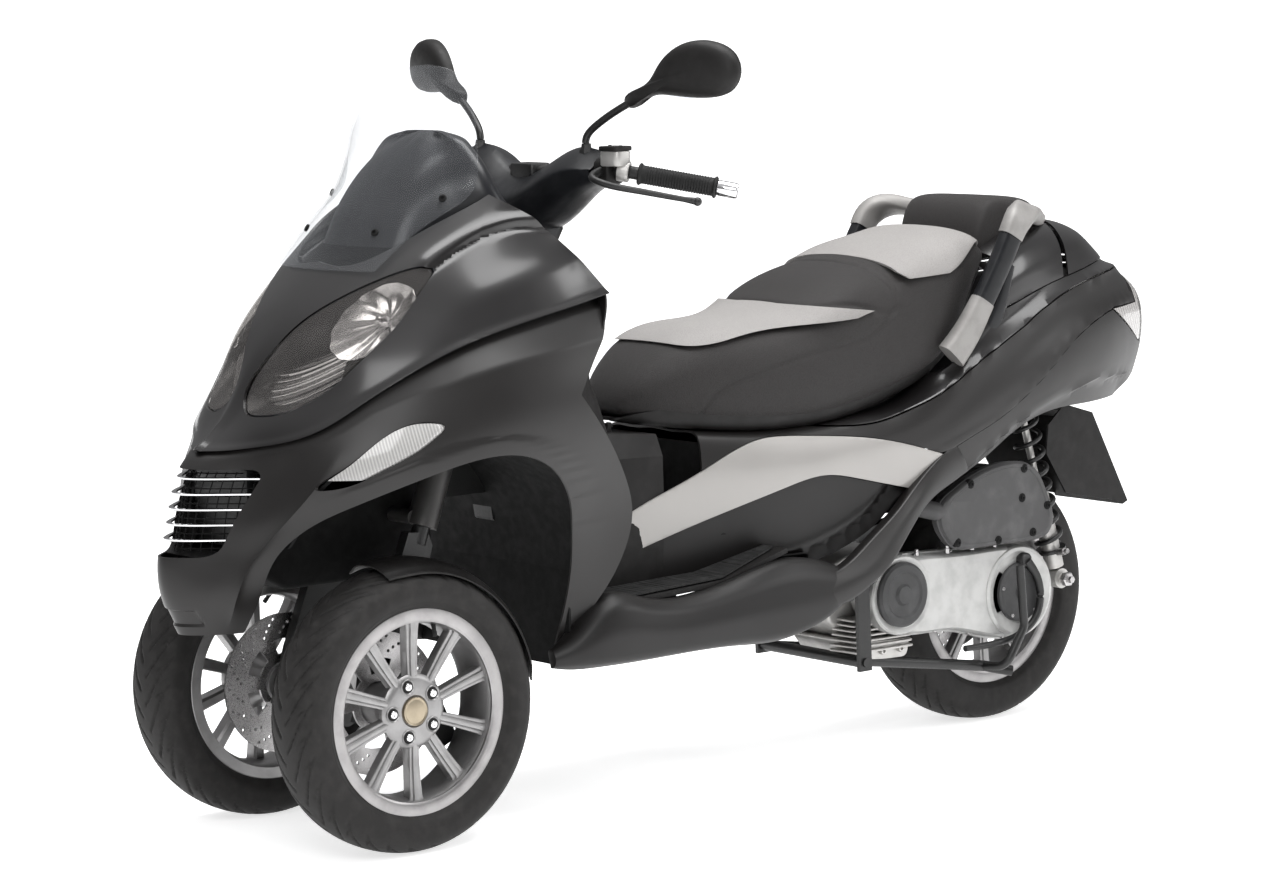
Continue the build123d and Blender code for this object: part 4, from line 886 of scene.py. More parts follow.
    def bolts(self) -> tuple[bpy.types.Object, bpy.types.Object, bpy.types.Object]:
        """Black sleeves in the bolt holes as painted shade, the five bolts in them, and the hub cap."""
        well_shades, heads = [], []
        for k in range(5):
            turn = math.radians(108 + 72 * k)
            at = (self.x + self.outward * (self.hub_face - 4), self.aft + 44 * math.cos(turn),
                  self.radius + 44 * math.sin(turn))
            well_shades.append(lathe(f"well_{k}", [(-3, 0.01), (-3, 10.4), (4.2, 10.4), (4.2, 0.01)], at,
                               (self.outward, 0, 0), 18, closed=False))
            heads.append(bolt(f"wheel_bolt_{k}", (at[0] + self.outward * 4, at[1], at[2]), (self.outward, 0, 0), 6.4,
                              4.4))
        face = self.hub_face
        cap = self.ring([(face - 3, 0.01), (face - 3, 23.5), (face + 2.6, 23.5), (face + 3.4, 22.2), (face + 2.4, 19.5),
                         (face + 2.8, 17), (face + 4.0, 9), (face + 4.3, 0.01)], 48, "hub_cap", closed=False)
        return (soften(join(f"bolt_well_shades_{self.name}", well_shades), 30), soften(join(f"wheel_bolts_{self.name}", heads), 30),
                soften(cap, 24))

    def disc(self) -> bpy.types.Object:
        """Brake disc: band with four rings of drilled holes, on a spider with six windows."""
        def circle(radius: float, at: tuple[float, float] = (0, 0), count: int = 10) -> Array:
            """Points of one circle."""
            t = np.linspace(0, 2 * math.pi, count, endpoint=False)
            return np.stack([at[0] + radius * np.cos(t), at[1] + radius * np.sin(t)], axis=1)

        outlines = [circle(self.disc_radius, count=120), circle(self.disc_bore, count=48)]
        for reach, start in self.hole_rings:
            for k in range(self.holes_round):
                turn = math.radians(start + 360 / self.holes_round * k)
                outlines.append(circle(self.hole_radius, (reach * math.cos(turn), reach * math.sin(turn)), 8))
        inner, outer = self.window_reach
        for k in range(6):
            turns = np.linspace(math.radians(60 * k + 8), math.radians(60 * k + 44), 8)
            window = [(outer * math.cos(t), outer * math.sin(t)) for t in turns]
            window += [(inner * math.cos(t), inner * math.sin(t)) for t in turns[::-1]]
            outlines.append(np.array(window))
        centred = [np.stack([o[:, 0] + self.aft, o[:, 1] + self.radius], axis=1) for o in outlines]
        return plate(f"disc_plate_{self.name}", centred, Facing.SIDE, self.disc_x, self.disc_x + 4.0)

    def valve(self) -> bpy.types.Object:
        """Tyre valve on the barrel."""
        turn = math.radians(72)
        foot = np.array([self.x + self.outward * 26, self.aft + 148 * math.cos(turn),
                         self.radius + 148 * math.sin(turn)])
        top = foot + np.array([self.outward * 14, -20 * math.cos(turn), -20 * math.sin(turn)])
        return lathe(f"valve_{self.name}", [(0, 0.01), (0, 5), (6, 4), (16, 3.4), (17, 4), (25, 4), (26, 0.01)], foot,
                     top - foot, 12, closed=False)

    def build(self, finishes: Finishes) -> None:
        """Builds and dresses the wheel."""
        dress(soften(self.tyre(), 50), self.body, finishes.tyre, (f"tyre_{self.name}",))
        dress(self.rim(), self.body, finishes.rim, (f"rim_{self.name}",))
        dress(self.edge(), self.body, finishes.rim_edge)
        well_shades, bolts, cap = self.bolts()
        # black sleeves standing for the shade inside the bolt holes
        dress(well_shades, self.body, finishes.black)
        dress(bolts, self.body, finishes.chrome)
        dress(cap, self.body, finishes.brass)
        dress(self.disc(), self.body, finishes.disc, (f"disc_{self.name}",))
        dress(self.valve(), self.body, finishes.rubber)


@dataclass
class Wheels:
    """The three wheels."""

    def build(self, finishes: Finishes) -> None:
        """Builds each wheel in its place."""
        front_disc = HALF_TRACK - 78.0 + 8
        Wheel("left", HALF_TRACK, 0, FRONT_RADIUS, 122, LEFT, 78, front_disc - 4).build(finishes)
        Wheel("right", -HALF_TRACK, 0, FRONT_RADIUS, 122, RIGHT, 78, -front_disc).build(finishes)
        Wheel("rear", 0, WHEELBASE, REAR_RADIUS, 132, LEFT, 70, -64, pitches=32).build(finishes)


# ------------------------------------------------------------------------------- front body
@dataclass
class FrontBody:
    """Nose of the vehicle: gloss shield over a satin fascia, lamps, grille and chin."""

    inside: tuple = (0, 260, 640)
    sections: tuple = (
        (370, -292, (40, -262), (54, -235), (62, -200), 263), (430, -318, (55, -285), (88, -240), (105, -195), 258),
        (500, -325, (66, -266), (112, -214), (140, -168), 258), (560, -310, (84, -240), (156, -180), (207, -110), 262),
        (630, -284, (98, -206), (202, -138), (275, -20), 272), (700, -205, (100, -180), (215, -95), (290, 30), 280),
        (760, -158, (110, -135), (220, -50), (290, 80), 280), (820, -127, (110, -105), (210, -25), (275, 100), 274),
        (880, -85, (105, -65), (195, 5), (260, 125), 266), (940, -25, (100, -5), (180, 45), (238, 150), 232),
        (1000, 40, (90, 55), (155, 90), (210, 180), 205), (1045, 90, (80, 100), (140, 130), (192, 205), 190),
        (1090, 142, (60, 150), (116, 176), (180, 240), 180))
    aft_end: float = 485
    gap_line: tuple = ((-400, 672), (-156, 690), (-61, 750), (69, 821), (253, 871), (401, 897))
    arch_line: tuple = ((-205, 300), (-203, 430), (-185, 500), (-150, 548), (-85, 588), (0, 622), (100, 648),
                        (170, 648), (255, 612), (305, 552), (327, 489), (335, 440), (335, 300))
    top_line: tuple = ((401, 897), (378, 930), (324, 990), (262, 1042), (204, 1082), (190, 1110))
    flank: tuple = ((401, 891), (384, 845), (340, 785), (306, 736), (350, 684), (420, 594), (450, 522), (440, 462),
                    (400, 384), (346, 300))
    lamp: tuple = ((20, 752), (36, 730), (74, 724), (118, 732), (160, 764), (187, 810), (204, 861), (206, 900),
                   (193, 955), (160, 943), (112, 909), (72, 870), (38, 816))
    signal: tuple = ((198, 612), (215, 633), (242, 672), (280, 712), (289, 708), (289, 690), (278, 664), (250, 632),
                     (220, 613))
    grille: tuple = ((-113, 640), (113, 640), (70, 500), (-70, 500))
    plate: tuple = ((392, 384), (452, 500), (470, 580), (396, 745), (388, 890), (322, 984))
    seam: tuple = ((60, 930), (80, 947), (120, 972), (161, 992), (215, 1009), (269, 1014), (330, 1004))
    mouth: tuple = ((0, 962), (100, 965), (136, 992), (170, 1036), (182, 1062), (186, 1120))

    def net(self, heights: Array, per: int = 16) -> Array:
        """The body's skin: each section is the chord-length cubic through end, side, cheek, brow, nose and their
        mirror images, and each of its columns is a cubic of the height.

        Args:
            heights: heights to read.
            per: columns between two neighbouring points of a section.

        Returns:
            Points (height, column, 3); column number / per - 4 is the place along the section.
        """
        rows = []
        for _, nose, brow, cheek, side, end in self.sections:
            half = np.array([brow, cheek, side, (end, self.aft_end)], float)
            points = np.concatenate([half[::-1] * [-1, 1], [(0, nose)], half])
            t = chord(points)
            rows.append(spline(t, points, np.interp(np.linspace(-4, 4, 8 * per + 1), np.arange(-4, 5), t)))
        heights = np.atleast_1d(np.asarray(heights, float))
        flat = spline([row[0] for row in self.sections], np.array(rows), heights)
        return np.concatenate([flat, np.broadcast_to(heights[:, None, None], (*flat.shape[:2], 1))], axis=-1)

    def from_front(self, outline: Array, inset: float = 0.0) -> Array:
        """Points of a front-view outline (across, height) laid on the skin, pushed aft by the inset."""
        outline = np.asarray(outline, float)
        rows = self.net(outline[:, 1], 24)[:, 96:96 + 84]
        aft = np.array([np.interp(abs(x), row[:, 0], row[:, 1]) for (x, _), row in zip(outline, rows)])
        return np.stack([outline[:, 0], aft + inset, outline[:, 1]], axis=1)

    def from_side(self, outline: Array, inset: float = 0.0) -> Array:
        """Points of a side-view outline (aft, height) laid on the left skin, pulled in by the inset."""
        outline = np.asarray(outline, float)
        rows = self.net(outline[:, 1], 24)[:, 96:]
        across = np.array([np.interp(aft, row[:, 1], row[:, 0]) for (aft, _), row in zip(outline, rows)])
        return np.stack([across - inset, outline[:, 0], outline[:, 1]], axis=1)

    def gap(self, aft: Array) -> Array:
        """Height of the line between shield and fascia at a distance aft."""
        line = smooth_line(self.gap_line, 80)
        return np.interp(aft, line[:, 0], line[:, 1])

    def arch(self) -> Array:
        """The wheel arch's smooth outline in side view, open below."""
        return smooth_line(self.arch_line, 110)

    def shield(self) -> bpy.types.Object:
        """Upper gloss panel: a lip along its lower edge, a soft ridge down the beak, holes for lamps and screen."""
        heights = np.linspace(664, 1100, 150)
        skin = self.net(heights, 20)
        x, aft, z = skin[..., 0], skin[..., 1], skin[..., 2]
        over = z - self.gap(aft)
        lip = 2.2 * np.exp(-(np.clip(over, 0, None) / 6) ** 2)
        beak = 7 * np.exp(-(np.abs(x) / (9 + 0.2 * np.clip(z - 700, 0, None))) ** 2) * (1 - step(z, 760, 880))
        cheekbone = 3.5 * np.exp(-((z - self.gap(aft) - 64) / 26) ** 2) * step(aft, 40, 200)
        seam = smooth_line(self.seam, 60)
        above = z - np.interp(aft, seam[:, 0], seam[:, 1])
        from_lamp = step(aft, 64, 84) * step(np.abs(x), 120, 150)
        channel = from_lamp * (4.5 * np.exp(-((above - 13) / 8) ** 2) - 4.5 * np.exp(-(above / 4.5) ** 2))
        raised = lift(skin, lip + beak + cheekbone + channel, self.inside)
        panel = shell("shield_panel", raised, self.inside)
        line = smooth_line(self.gap_line, 80)
        keep = np.concatenate([line, smooth_line(self.top_line, 30), [(-400, 1110)]])
        mouth = smooth_line(self.mouth, 24)
        mouth = np.concatenate([mouth, mirrored_outline(mouth)[::-1]])
        lamp = self.lamp_outline(2.6)
        carve(panel, [prism("keep", keep, Facing.SIDE, -330, 330)], keep_common=True)
        return carve(panel, [prism("mouth", mouth, Facing.FRONT, -200, 330),
                             prism("lamp_l", lamp, Facing.FRONT, -260, 240),
                             prism("lamp_r", mirrored_outline(lamp), Facing.FRONT, -260, 240)])

    def lamp_outline(self, grow: float) -> Array:
        """The headlamp's outline in front view, grown by a distance."""
        return offset_outline(closed_curve(self.lamp, 90), grow)

    def fascia(self) -> bpy.types.Object:
        """Lower satin panel: a shoulder under the shield's edge, a flange round the arch, a keel at each cheek."""
        heights = np.linspace(298, 905, 164)
        skin = self.net(heights, 20)
        aft, z = skin[..., 1], skin[..., 2]
        place_on = np.abs(np.linspace(-4, 4, skin.shape[1]))[None, :]
        under = self.gap(aft) - z
        depth = np.interp(aft, [-300, -60, 60, 250, 400], [3, 6, 14, 21, 24])
        width = np.interp(aft, [-300, -60, 60, 250, 400], [8, 20, 46, 62, 70])
        shoulder = -depth * np.clip(1 - under / width, 0, 1.0)
        flange = 3.0 * (1 - step(apart(aft, z, self.arch()), 27, 32)) * step(aft, -150, -90)
        keel = 6 * np.exp(-np.abs(place_on - 2) / 0.22) * step(z, 372, 420) * (1 - step(z, 600, 690))
        plate_bed = -3.5 * (1 - step(np.abs(skin[..., 0]), 42, 46)) * step(z, 384, 388) * (1 - step(z, 410, 414))
        raised = lift(skin, shoulder + flange + keel + plate_bed, self.inside)
        panel = shell("fascia_panel", raised, self.inside)
        line = smooth_line([(a, h - 1.5) for a, h in self.gap_line], 80)
        flank = np.concatenate([smooth_line(self.flank[:4], 14), smooth_line(self.flank[3:], 34)[1:]])
        keep = np.concatenate([line, flank, [(240, 300), (150, 369), (-400, 369)]])
        arch = np.concatenate([self.arch(), [(335, 200), (-205, 200)]])
        carve(panel, [prism("keep", keep, Facing.SIDE, -330, 330)], keep_common=True)
        grille = rounded(self.grille, 22, 7)
        signal = self.signal_outline(1.2)
        return carve(panel, [prism("arch", arch, Facing.SIDE, -330, 330),
                             prism("grille", grille, Facing.FRONT, -400, 20),
                             prism("signal_l", signal, Facing.FRONT, -260, 160),
                             prism("signal_r", mirrored_outline(signal), Facing.FRONT, -260, 160)])

    def signal_outline(self, grow: float) -> Array:
        """The front indicator's outline in front view, grown by a distance."""
        return offset_outline(closed_curve(self.signal, 60), grow)

    def glass(self, name: str, outline: Array, low: float, high: float, sunk: float, wall: float,
              mirror: bool) -> bpy.types.Object:
        """A lens cut from the skin by its front-view outline, sunk below the panel."""
        skin = self.net(np.linspace(low, high, 60), 16)
        skin = skin[:, :62] if mirror else skin[:, -62 - 5:]
        lens = shell(name, lift(skin, np.full(skin.shape[:2], -sunk), self.inside), self.inside, wall)
        outline = mirrored_outline(outline) if mirror else outline
        return carve(lens, [prism("cutter", outline, Facing.FRONT, -300, 240)], keep_common=True)

    def tunnel_wall(self, name: str, outline: Array, depth: float, sunk: float = 2.0) -> bpy.types.Object:
        """A dark collar behind an opening: the outline on the skin, carried aft by the depth, a thin wall outwards."""
        front = self.from_front(outline, sunk)
        shares = np.linspace(0, 1, 5)[:, None, None]
        middle = front.mean(axis=0)
        points = front + shares * ([0, depth, 0] + 0.06 * (middle - front))
        return shell(name, points, middle + np.array([0, depth / 2, 0]), 2.0, 1.0, wrap_cols=True)

    def lamp_inside(self, side: int) -> tuple[bpy.types.Object, bpy.types.Object, bpy.types.Object]:
        """Behind the lens: a closed dark bowl, a ribbed low reflector and a round high reflector with its bulb."""
        outline = self.lamp_outline(1.5)
        rim = self.from_front(outline, 6)
        middle = rim.mean(axis=0) + np.array([0, 34, 0])
        shares = np.linspace(0, 1, 12)[:, None, None]
        bowl = middle + (rim - middle) * np.cos(shares * 1.45) + np.array([0, 46, 0]) * np.sin(shares * 1.5)
        shell_bowl = shell(f"lamp_bowl_{side}", mirror_x(bowl, side), mirror_x(middle + [0, -60, 0], side), 1.6, 1.0,
                           True)
        s, t = np.meshgrid(np.linspace(0, 1, 60), np.linspace(0, 1, 26), indexing="ij")
        ribs = 1.6 * np.sin(t * 2 * math.pi * 16)
        x = 24 + 128 * s + 6 * t
        z = 722 + 76 * t + 48 * s * s
        low = self.from_front(np.stack([x.ravel(), z.ravel()], axis=1), 30).reshape(*s.shape, 3)
        low[..., 1] += ribs + 12 * (2 * t - 1) ** 2
        ribbed = shell(f"lamp_ribs_{side}", mirror_x(low, side), mirror_x((110, 200, 760), side), 1.5)
        room = self.lamp_outline(-3.0) if side == LEFT else mirrored_outline(self.lamp_outline(-3.0))
        carve(ribbed, [prism("room", room, Facing.FRONT, -300, 300)], keep_common=True)
        turn, r = np.meshgrid(np.linspace(0, 2 * math.pi, 73), np.linspace(0.02, 1, 20), indexing="ij")
        spot = np.stack([167 + 44 * r * np.cos(turn), 872 + 60 * r * np.sin(turn)], axis=-1)
        dish = self.from_front(spot.reshape(-1, 2), 13).reshape(spot.shape[0], spot.shape[1], 3)
        dish[..., 1] += 40 * (1 - r**2) + 1.8 * r * np.cos(12 * turn)
        high = shell(f"lamp_dish_{side}", mirror_x(dish, side), mirror_x((167, 300, 872), side), 1.6)
        centre = self.from_front(np.array([(167, 872)]), 44)[0]
        forward = np.array([0.42, -0.88, 0.12])
        carve(high, [prism("room", room, Facing.FRONT, -300, 300)], keep_common=True)
        bulb = lathe(f"bulb_{side}", [(0, 0.01), (0, 9), (10, 9), (13, 7), (20, 7), (24, 4.5), (25, 0.01)],
                     mirror_x(centre, side), mirror_x(forward, side), 20, closed=False)
        return soften(shell_bowl), soften(ribbed, 60), soften(join(f"lamp_reflector_{side}", [high, bulb]), 40)

    def vault(self) -> bpy.types.Object:
        """Roof over the front wheels in near-black painted shade: the arch line carried across the vehicle."""
        line = self.arch()
        line = line[(line[:, 1] > 400)]
        run = np.gradient(line, axis=0)
        line = line + np.stack([-run[:, 1], run[:, 0]], axis=1) / np.linalg.norm(run, axis=1)[:, None] * 8
        edge = self.from_side(line, 10)
        across = edge[:, None] * np.stack([np.linspace(-1, 1, 25), np.ones(25), np.ones(25)], axis=1)
        roof = shell("arch_vault", across, (0, 60, 300), 2.5, 1.0)
        return soften(roof)

    def core(self) -> bpy.types.Object:
        """Housing between the wheels, behind the chin, in near-black painted shade: a tapered block that hides the
        frame's front.
        """
        outline = [(-190, 470), (-160, 640), (60, 650), (170, 600), (180, 470), (80, 430), (-120, 430)]
        return soften(bevel(prism("arch_core", outline, Facing.SIDE, -58, 58), 8, 3), 40)

    def knee_edge(self, z: Array) -> Array:
        """Distance aft of the side panel's rear edge at a height."""
        line = np.concatenate([smooth_line(self.flank, 60)[::-1], smooth_line(self.top_line, 20)])
        return np.interp(z, line[:, 1], line[:, 0])

    def knees(self) -> bpy.types.Object:
        """Inner leg shield: the flat plate of the frame in the middle, swept out to the side panel's rear edge."""
        z, u = np.meshgrid(np.linspace(386, 982, 88), np.linspace(-1, 1, 61), indexing="ij")
        flat = np.interp(z, [h for _, h in self.plate], [a for a, _ in self.plate])
        edge = self.knee_edge(z[:, 0])
        reach = self.from_side(np.stack([edge, z[:, 0]], axis=1), 5)[:, 0][:, None]
        turn = step(np.abs(u), 0.70, 1.0)
        channel = 10 * (1 - step(np.abs(u) * reach, 60, 84)) * step(z, 600, 660)
        points = np.stack([u * reach, flat + (edge[:, None] - flat) * turn + channel - 3 * turn, z], axis=-1)
        panel = shell("knee_panel", points, (0, 0, 700), 3.5)
        foot = math.tan(CASTER)
        column = lathe("column_hole", [(-330, 24), (330, 24)], (0, 435 - 140 * foot, 900),
                       (0, math.sin(CASTER), math.cos(CASTER)), 24, closed=False)
        slot = prism("spine_slot", [(-28, 340), (-28, 636), (28, 636), (28, 340)], Facing.FRONT, 300, 520)
        return carve(panel, [slot, column])

    def slats(self) -> bpy.types.Object:
        """Five bright blades across the grille, each following the nose's section at its height."""
        blades = []
        section = np.array([(-4.5, -1.4), (-4.5, 1.4), (-2.5, 2.2), (2.5, 2.2), (4.5, 1.2), (4.5, -1.2), (2.5, -2.2),
                            (-2.5, -2.2)])
        for row in range(5):
            z = 625 - 24.5 * row
            half = 78 + 0.3 * (z - 500)
            x = np.linspace(-half, half, 41)
            line = self.from_front(np.stack([x, np.full(41, z)], axis=1), 11)
            blades.append(sweep(f"blade_{row}", line, 1.0, section=section))
        return soften(join("grille_blades", blades), 40)

    def grille_back(self) -> bpy.types.Object:
        """Fine black mesh behind the blades: crossed wires on the nose's own curve."""
        wires = []
        for x in np.linspace(-96, 96, 17):
            z = np.linspace(506, 634, 9)
            wires.append(sweep(f"w{x}", self.from_front(np.stack([np.full(9, x), z], axis=1), 30), 1.1, 5))
        for z in np.linspace(512, 632, 11):
            x = np.linspace(-88, 88, 15)
            wires.append(sweep(f"h{z}", self.from_front(np.stack([x, np.full(15, z)], axis=1), 30), 1.1, 5))
        return soften(join("grille_mesh", wires), 50)

    def build(self, finishes: Finishes) -> None:
        """Builds and dresses the front body."""
        body = "chassis"
        dress(soften(self.shield(), 28), body, finishes.gloss, ("upper_shield",))
        dress(soften(self.fascia(), 24), body, finishes.satin, ("lower_fascia",))
        lamp, signal = self.lamp_outline(-0.6), self.signal_outline(-0.6)
        for side, word in ((LEFT, "left"), (RIGHT, "right")):
            lens = self.glass(f"headlamp_lens_{word}", lamp, 715, 965, 1.2, 2.4, side == RIGHT)
            dress(soften(lens, 30), body, finishes.lens, ("headlamps",) if side == LEFT else ())
            bowl, ribbed, high = self.lamp_inside(side)
            dress(bowl, body, finishes.hood)
            dress(ribbed, body, finishes.reflector)
            dress(high, body, finishes.reflector)
            glass = self.glass(f"signal_lens_{word}", signal, 625, 730, -1.5, 6.0, side == RIGHT)
            dress(soften(glass, 30), body, finishes.signal, ("front_signals",) if side == LEFT else ())
        dress(self.slats(), body, finishes.chrome, ("grille_slats",))
        dress(self.vault(), body, finishes.void)
        dress(self.core(), body, finishes.void)
        dress(soften(self.knees(), 35), body, finishes.black, ("leg_shield",))
        dress(soften(self.tunnel_wall("grille_collar", rounded(self.grille, 22, 7), 42), 40), body,
              finishes.black)
        dress(self.grille_back(), body, finishes.void)


# ------------------------------------------------------------------------------- rear body
@dataclass
class RearBody:
    """Painted parts behind the floor: flanks, stripes, arms, tail shell, lid, skirts, tail lamp and grab rails."""

    inside: tuple = (0, 1250, 640)
    sections: tuple = (
        (478, (368, 112), (480, 108), (590, 92), (636, 58)), (620, (368, 112), (480, 120), (590, 118), (628, 100)),
        (850, (368, 150), (500, 166), (590, 160), (606, 150)), (1090, (372, 172), (530, 188), (604, 182), (622, 168)),
        (1250, (440, 182), (570, 200), (668, 190), (692, 170)), (1400, (500, 172), (620, 204), (800, 188), (880, 150)),
        (1500, (525, 164), (650, 200), (830, 178), (925, 130)), (1600, (552, 150), (680, 186), (850, 160), (938, 100)),
        (1780, (596, 96), (700, 128), (820, 110), (868, 60)), (1865, (640, 60), (710, 84), (790, 76), (820, 40)))
    crease: tuple = ((636, 650), (850, 628), (1000, 614), (1078, 614), (1150, 628), (1245, 663), (1310, 702),
                     (1430, 762), (1512, 800), (1643, 836), (1796, 850), (1900, 852))
    second: tuple = ((1190, 530), (1232, 545), (1302, 573), (1375, 602), (1433, 634), (1497, 676), (1577, 729),
                     (1725, 777), (1900, 792))
    lower: tuple = ((1196, 470), (1226, 474), (1294, 500), (1364, 533), (1409, 561), (1483, 592), (1641, 602),
                    (1900, 604))
    ledge: tuple = ((1240, 492), (1323, 526), (1398, 571), (1478, 607), (1660, 645), (1840, 642))
    hump: tuple = ((1398, 800), (1447, 815), (1536, 838), (1640, 856), (1714, 866), (1900, 864))
    stripe_top: tuple = ((512, 470), (550, 490), (683, 547), (760, 583), (825, 603), (890, 605), (960, 600),
                         (1060, 589), (1140, 572), (1232, 545))
    stripe_low: tuple = ((512, 412), (590, 432), (682, 460), (780, 490), (871, 516), (956, 531), (1030, 519),
                         (1110, 500), (1170, 486))
    arm_inner: tuple = ((244, 760, 352), (242, 846, 350), (240, 900, 358), (235, 958, 374), (225, 1026, 410),
                        (215, 1100, 454), (206, 1156, 495), (202, 1232, 548), (200, 1262, 562))
    arm_outer: tuple = ((246, 900, 300), (244, 970, 316), (240, 1016, 336), (235, 1052, 354), (225, 1096, 387),
                        (215, 1136, 422), (202, 1190, 462), (192, 1262, 492), (190, 1300, 508))

    def net(self, stations: Array, per: int = 12) -> Array:
        """Skin points.

        P(s, y): at each station the half outline (sill, waist, shoulder, crown, top) is a cubic of its chord
        length, with its mirror image, and each column is a cubic of the station.

        Args:
            stations: distances aft to read.
            per: columns between two neighbouring points of a section.

        Returns:
            Points (station, column, 3), left sill first.
        """
        rows = []
        for _, *corners in self.sections:
            left = [(half, z) for z, half in corners]
            half, crown = left[-1]
            left.append((0.55 * half, crown + 0.05 * half))
            points = np.array(left + [(0, crown + 0.07 * half)] + [(-a, z) for a, z in reversed(left)])
            t = chord(points)
            rows.append(spline(t, points, np.interp(np.linspace(-5, 5, 10 * per + 1), np.arange(-5, 6), t)))
        stations = np.asarray(stations, float)
        flat = spline([row[0] for row in self.sections], np.array(rows), stations)
        aft = np.broadcast_to(stations[:, None], flat.shape[:2])
        return np.stack([flat[..., 0], aft, flat[..., 1]], axis=-1)

    def tail_end(self, skin: Array, steps: int = 6, reach: float = 14.0) -> Array:
        """The skin carried on to a closed rounded end: rows shrink as cos t while they move aft as sin t."""
        last = skin[-1]
        middle = np.array([0.0, last[0, 1], 715.0])
        t = np.linspace(0, 0.5 * math.pi, steps)[1:, None, None]
        cap = middle + (last - middle) * np.maximum(np.cos(t), 0.02) + np.array([0, reach, 0]) * np.sin(t)
        return np.concatenate([skin, cap])

    def line(self, name: str, drop: float = 0.0, count: int = 60) -> Array:
        """One of the side-view lines as a smooth curve, moved up or down."""
        return smooth_line(getattr(self, name), count) + [0, drop]

    def reach(self, name: str, low: float, high: float, drop: float = 0.0) -> Array:
        """The part of a side-view line between two distances aft."""
        line = self.line(name, drop, 90)
        return line[(line[:, 0] > low) & (line[:, 0] < high)]

    def on_skin(self, outline: Array, inset: float = 0.0) -> Array:
        """Points of a side-view outline on the left skin, pulled in by the inset."""
        outline = np.asarray(outline, float)
        rows = self.net(outline[:, 0], 20)[:, :70]
        across = np.array([np.interp(z, row[:, 2], row[:, 0]) for (_, z), row in zip(outline, rows)])
        return np.stack([across - inset, outline[:, 0], outline[:, 1]], axis=1)

    def panel(self, name: str, keep: Array, stations: tuple, relief: Callable | None = None, wall: float = PANEL,
              cuts: Sequence[bpy.types.Object] = (), close: bool = False) -> bpy.types.Object:
        """One panel: the skin with its relief, given a wall, kept inside a side-view outline."""
        skin = self.net(np.linspace(*stations))
        if relief is not None:
            fade = 1 - step(skin[..., 1], 1790, 1850) if close else 1.0
            skin = lift(skin, relief(skin) * fade, self.inside)
        skin = self.tail_end(skin) if close else skin
        piece = shell(name, skin, self.inside, wall)
        carve(piece, [prism("keep", keep, Facing.SIDE, -330, 330)], keep_common=True)
        return soften(carve(piece, cuts), 36)

    def flank_relief(self, skin: Array) -> Array:
        """A hard ridge along the crease, a shallow hollow under it and a bead above the second seam."""
        aft, z = skin[..., 1], skin[..., 2]
        ridge = 5.0 * np.exp(-apart(aft, z, self.line("crease")) / 9)
        hollow = -3.0 * np.exp(-(apart(aft, z, self.line("crease", -46)) / 26) ** 2)
        bead = 2.5 * np.exp(-(apart(aft, z, self.line("second", 5)) / 5) ** 2)
        return (ridge + hollow + bead) * step(aft, 980, 1120)

    def flank(self) -> bpy.types.Object:
        """Side panel between crease and second seam, with the dark strip over the stripe."""
        keep = np.concatenate([self.reach("crease", 700, 1836, -1.5), [(1838, 781), (1726, 780)],
                               self.reach("second", 1240, 1715, 1.5)[::-1],
                               self.reach("stripe_top", 700, 1226, 1.5)[::-1]])
        return self.panel("flank_panels", keep, (640, 1862, 240), self.flank_relief)

    def skirt(self) -> bpy.types.Object:
        """Lower panel of the tail: a ledge runs along it, and it falls back under the ledge."""
        def relief(skin: Array) -> Array:
            aft, z = skin[..., 1], skin[..., 2]
            line = self.line("ledge")
            under = np.interp(aft, line[:, 0], line[:, 1]) - z
            return -1.5 - 7 * step(under, 0, 9) + 2 * np.exp(-(under / 5) ** 2)
        keep = np.concatenate([self.reach("second", 1200, 1715, -1.5), [(1722, 774), (1842, 704), (1895, 700)],
                               self.reach("lower", 1204, 1895)[::-1]])
        return self.panel("tail_skirt_panels", keep, (1190, 1864, 150), relief, close=True)

    def stripe(self) -> bpy.types.Object:
        """Pale band from the leg shield to the arm, a little proud, with softened edges."""
        keep = np.concatenate([self.line("stripe_top"), self.line("stripe_low")[::-1]])
        piece = self.panel("side_stripes", keep, (500, 1240, 150), lambda skin: np.full(skin.shape[:2], 1.6))
        return soften(bevel(piece, 1.2, 2, 50), 36)

    def inner(self) -> bpy.types.Object:
        """Panel under the stripe, in the darker satin copy as painted shade: falls back towards the arm and carries the
        folded-peg pocket.
        """
        wall = np.array([(1172, 484), (1140, 478), (1105, 446), (1060, 414), (1000, 388), (940, 372), (860, 356)])
        def relief(skin: Array) -> Array:
            aft, z = skin[..., 1], skin[..., 2]
            edge = smooth_line(wall, 40)
            near = apart(aft, z, edge + [-16, 16])
            rim = 2.5 * np.exp(-(apart(aft, z, edge + [-34, 26]) / 6) ** 2)
            return -4.0 - 13 * np.exp(-(near / 15) ** 2) + rim
        low = self.line("stripe_low", -1.5)
        keep = np.concatenate([low, smooth_line(wall, 40), [(860, 340), (512, 340)]])
        pocket = rounded([(790, 352), (786, 390), (934, 390), (918, 346)], 8, 4)
        piece = self.panel("side_inner_panels", keep, (505, 1190, 170), relief,
                           cuts=[prism("pocket", pocket, Facing.SIDE, -330, 330)])
        return piece

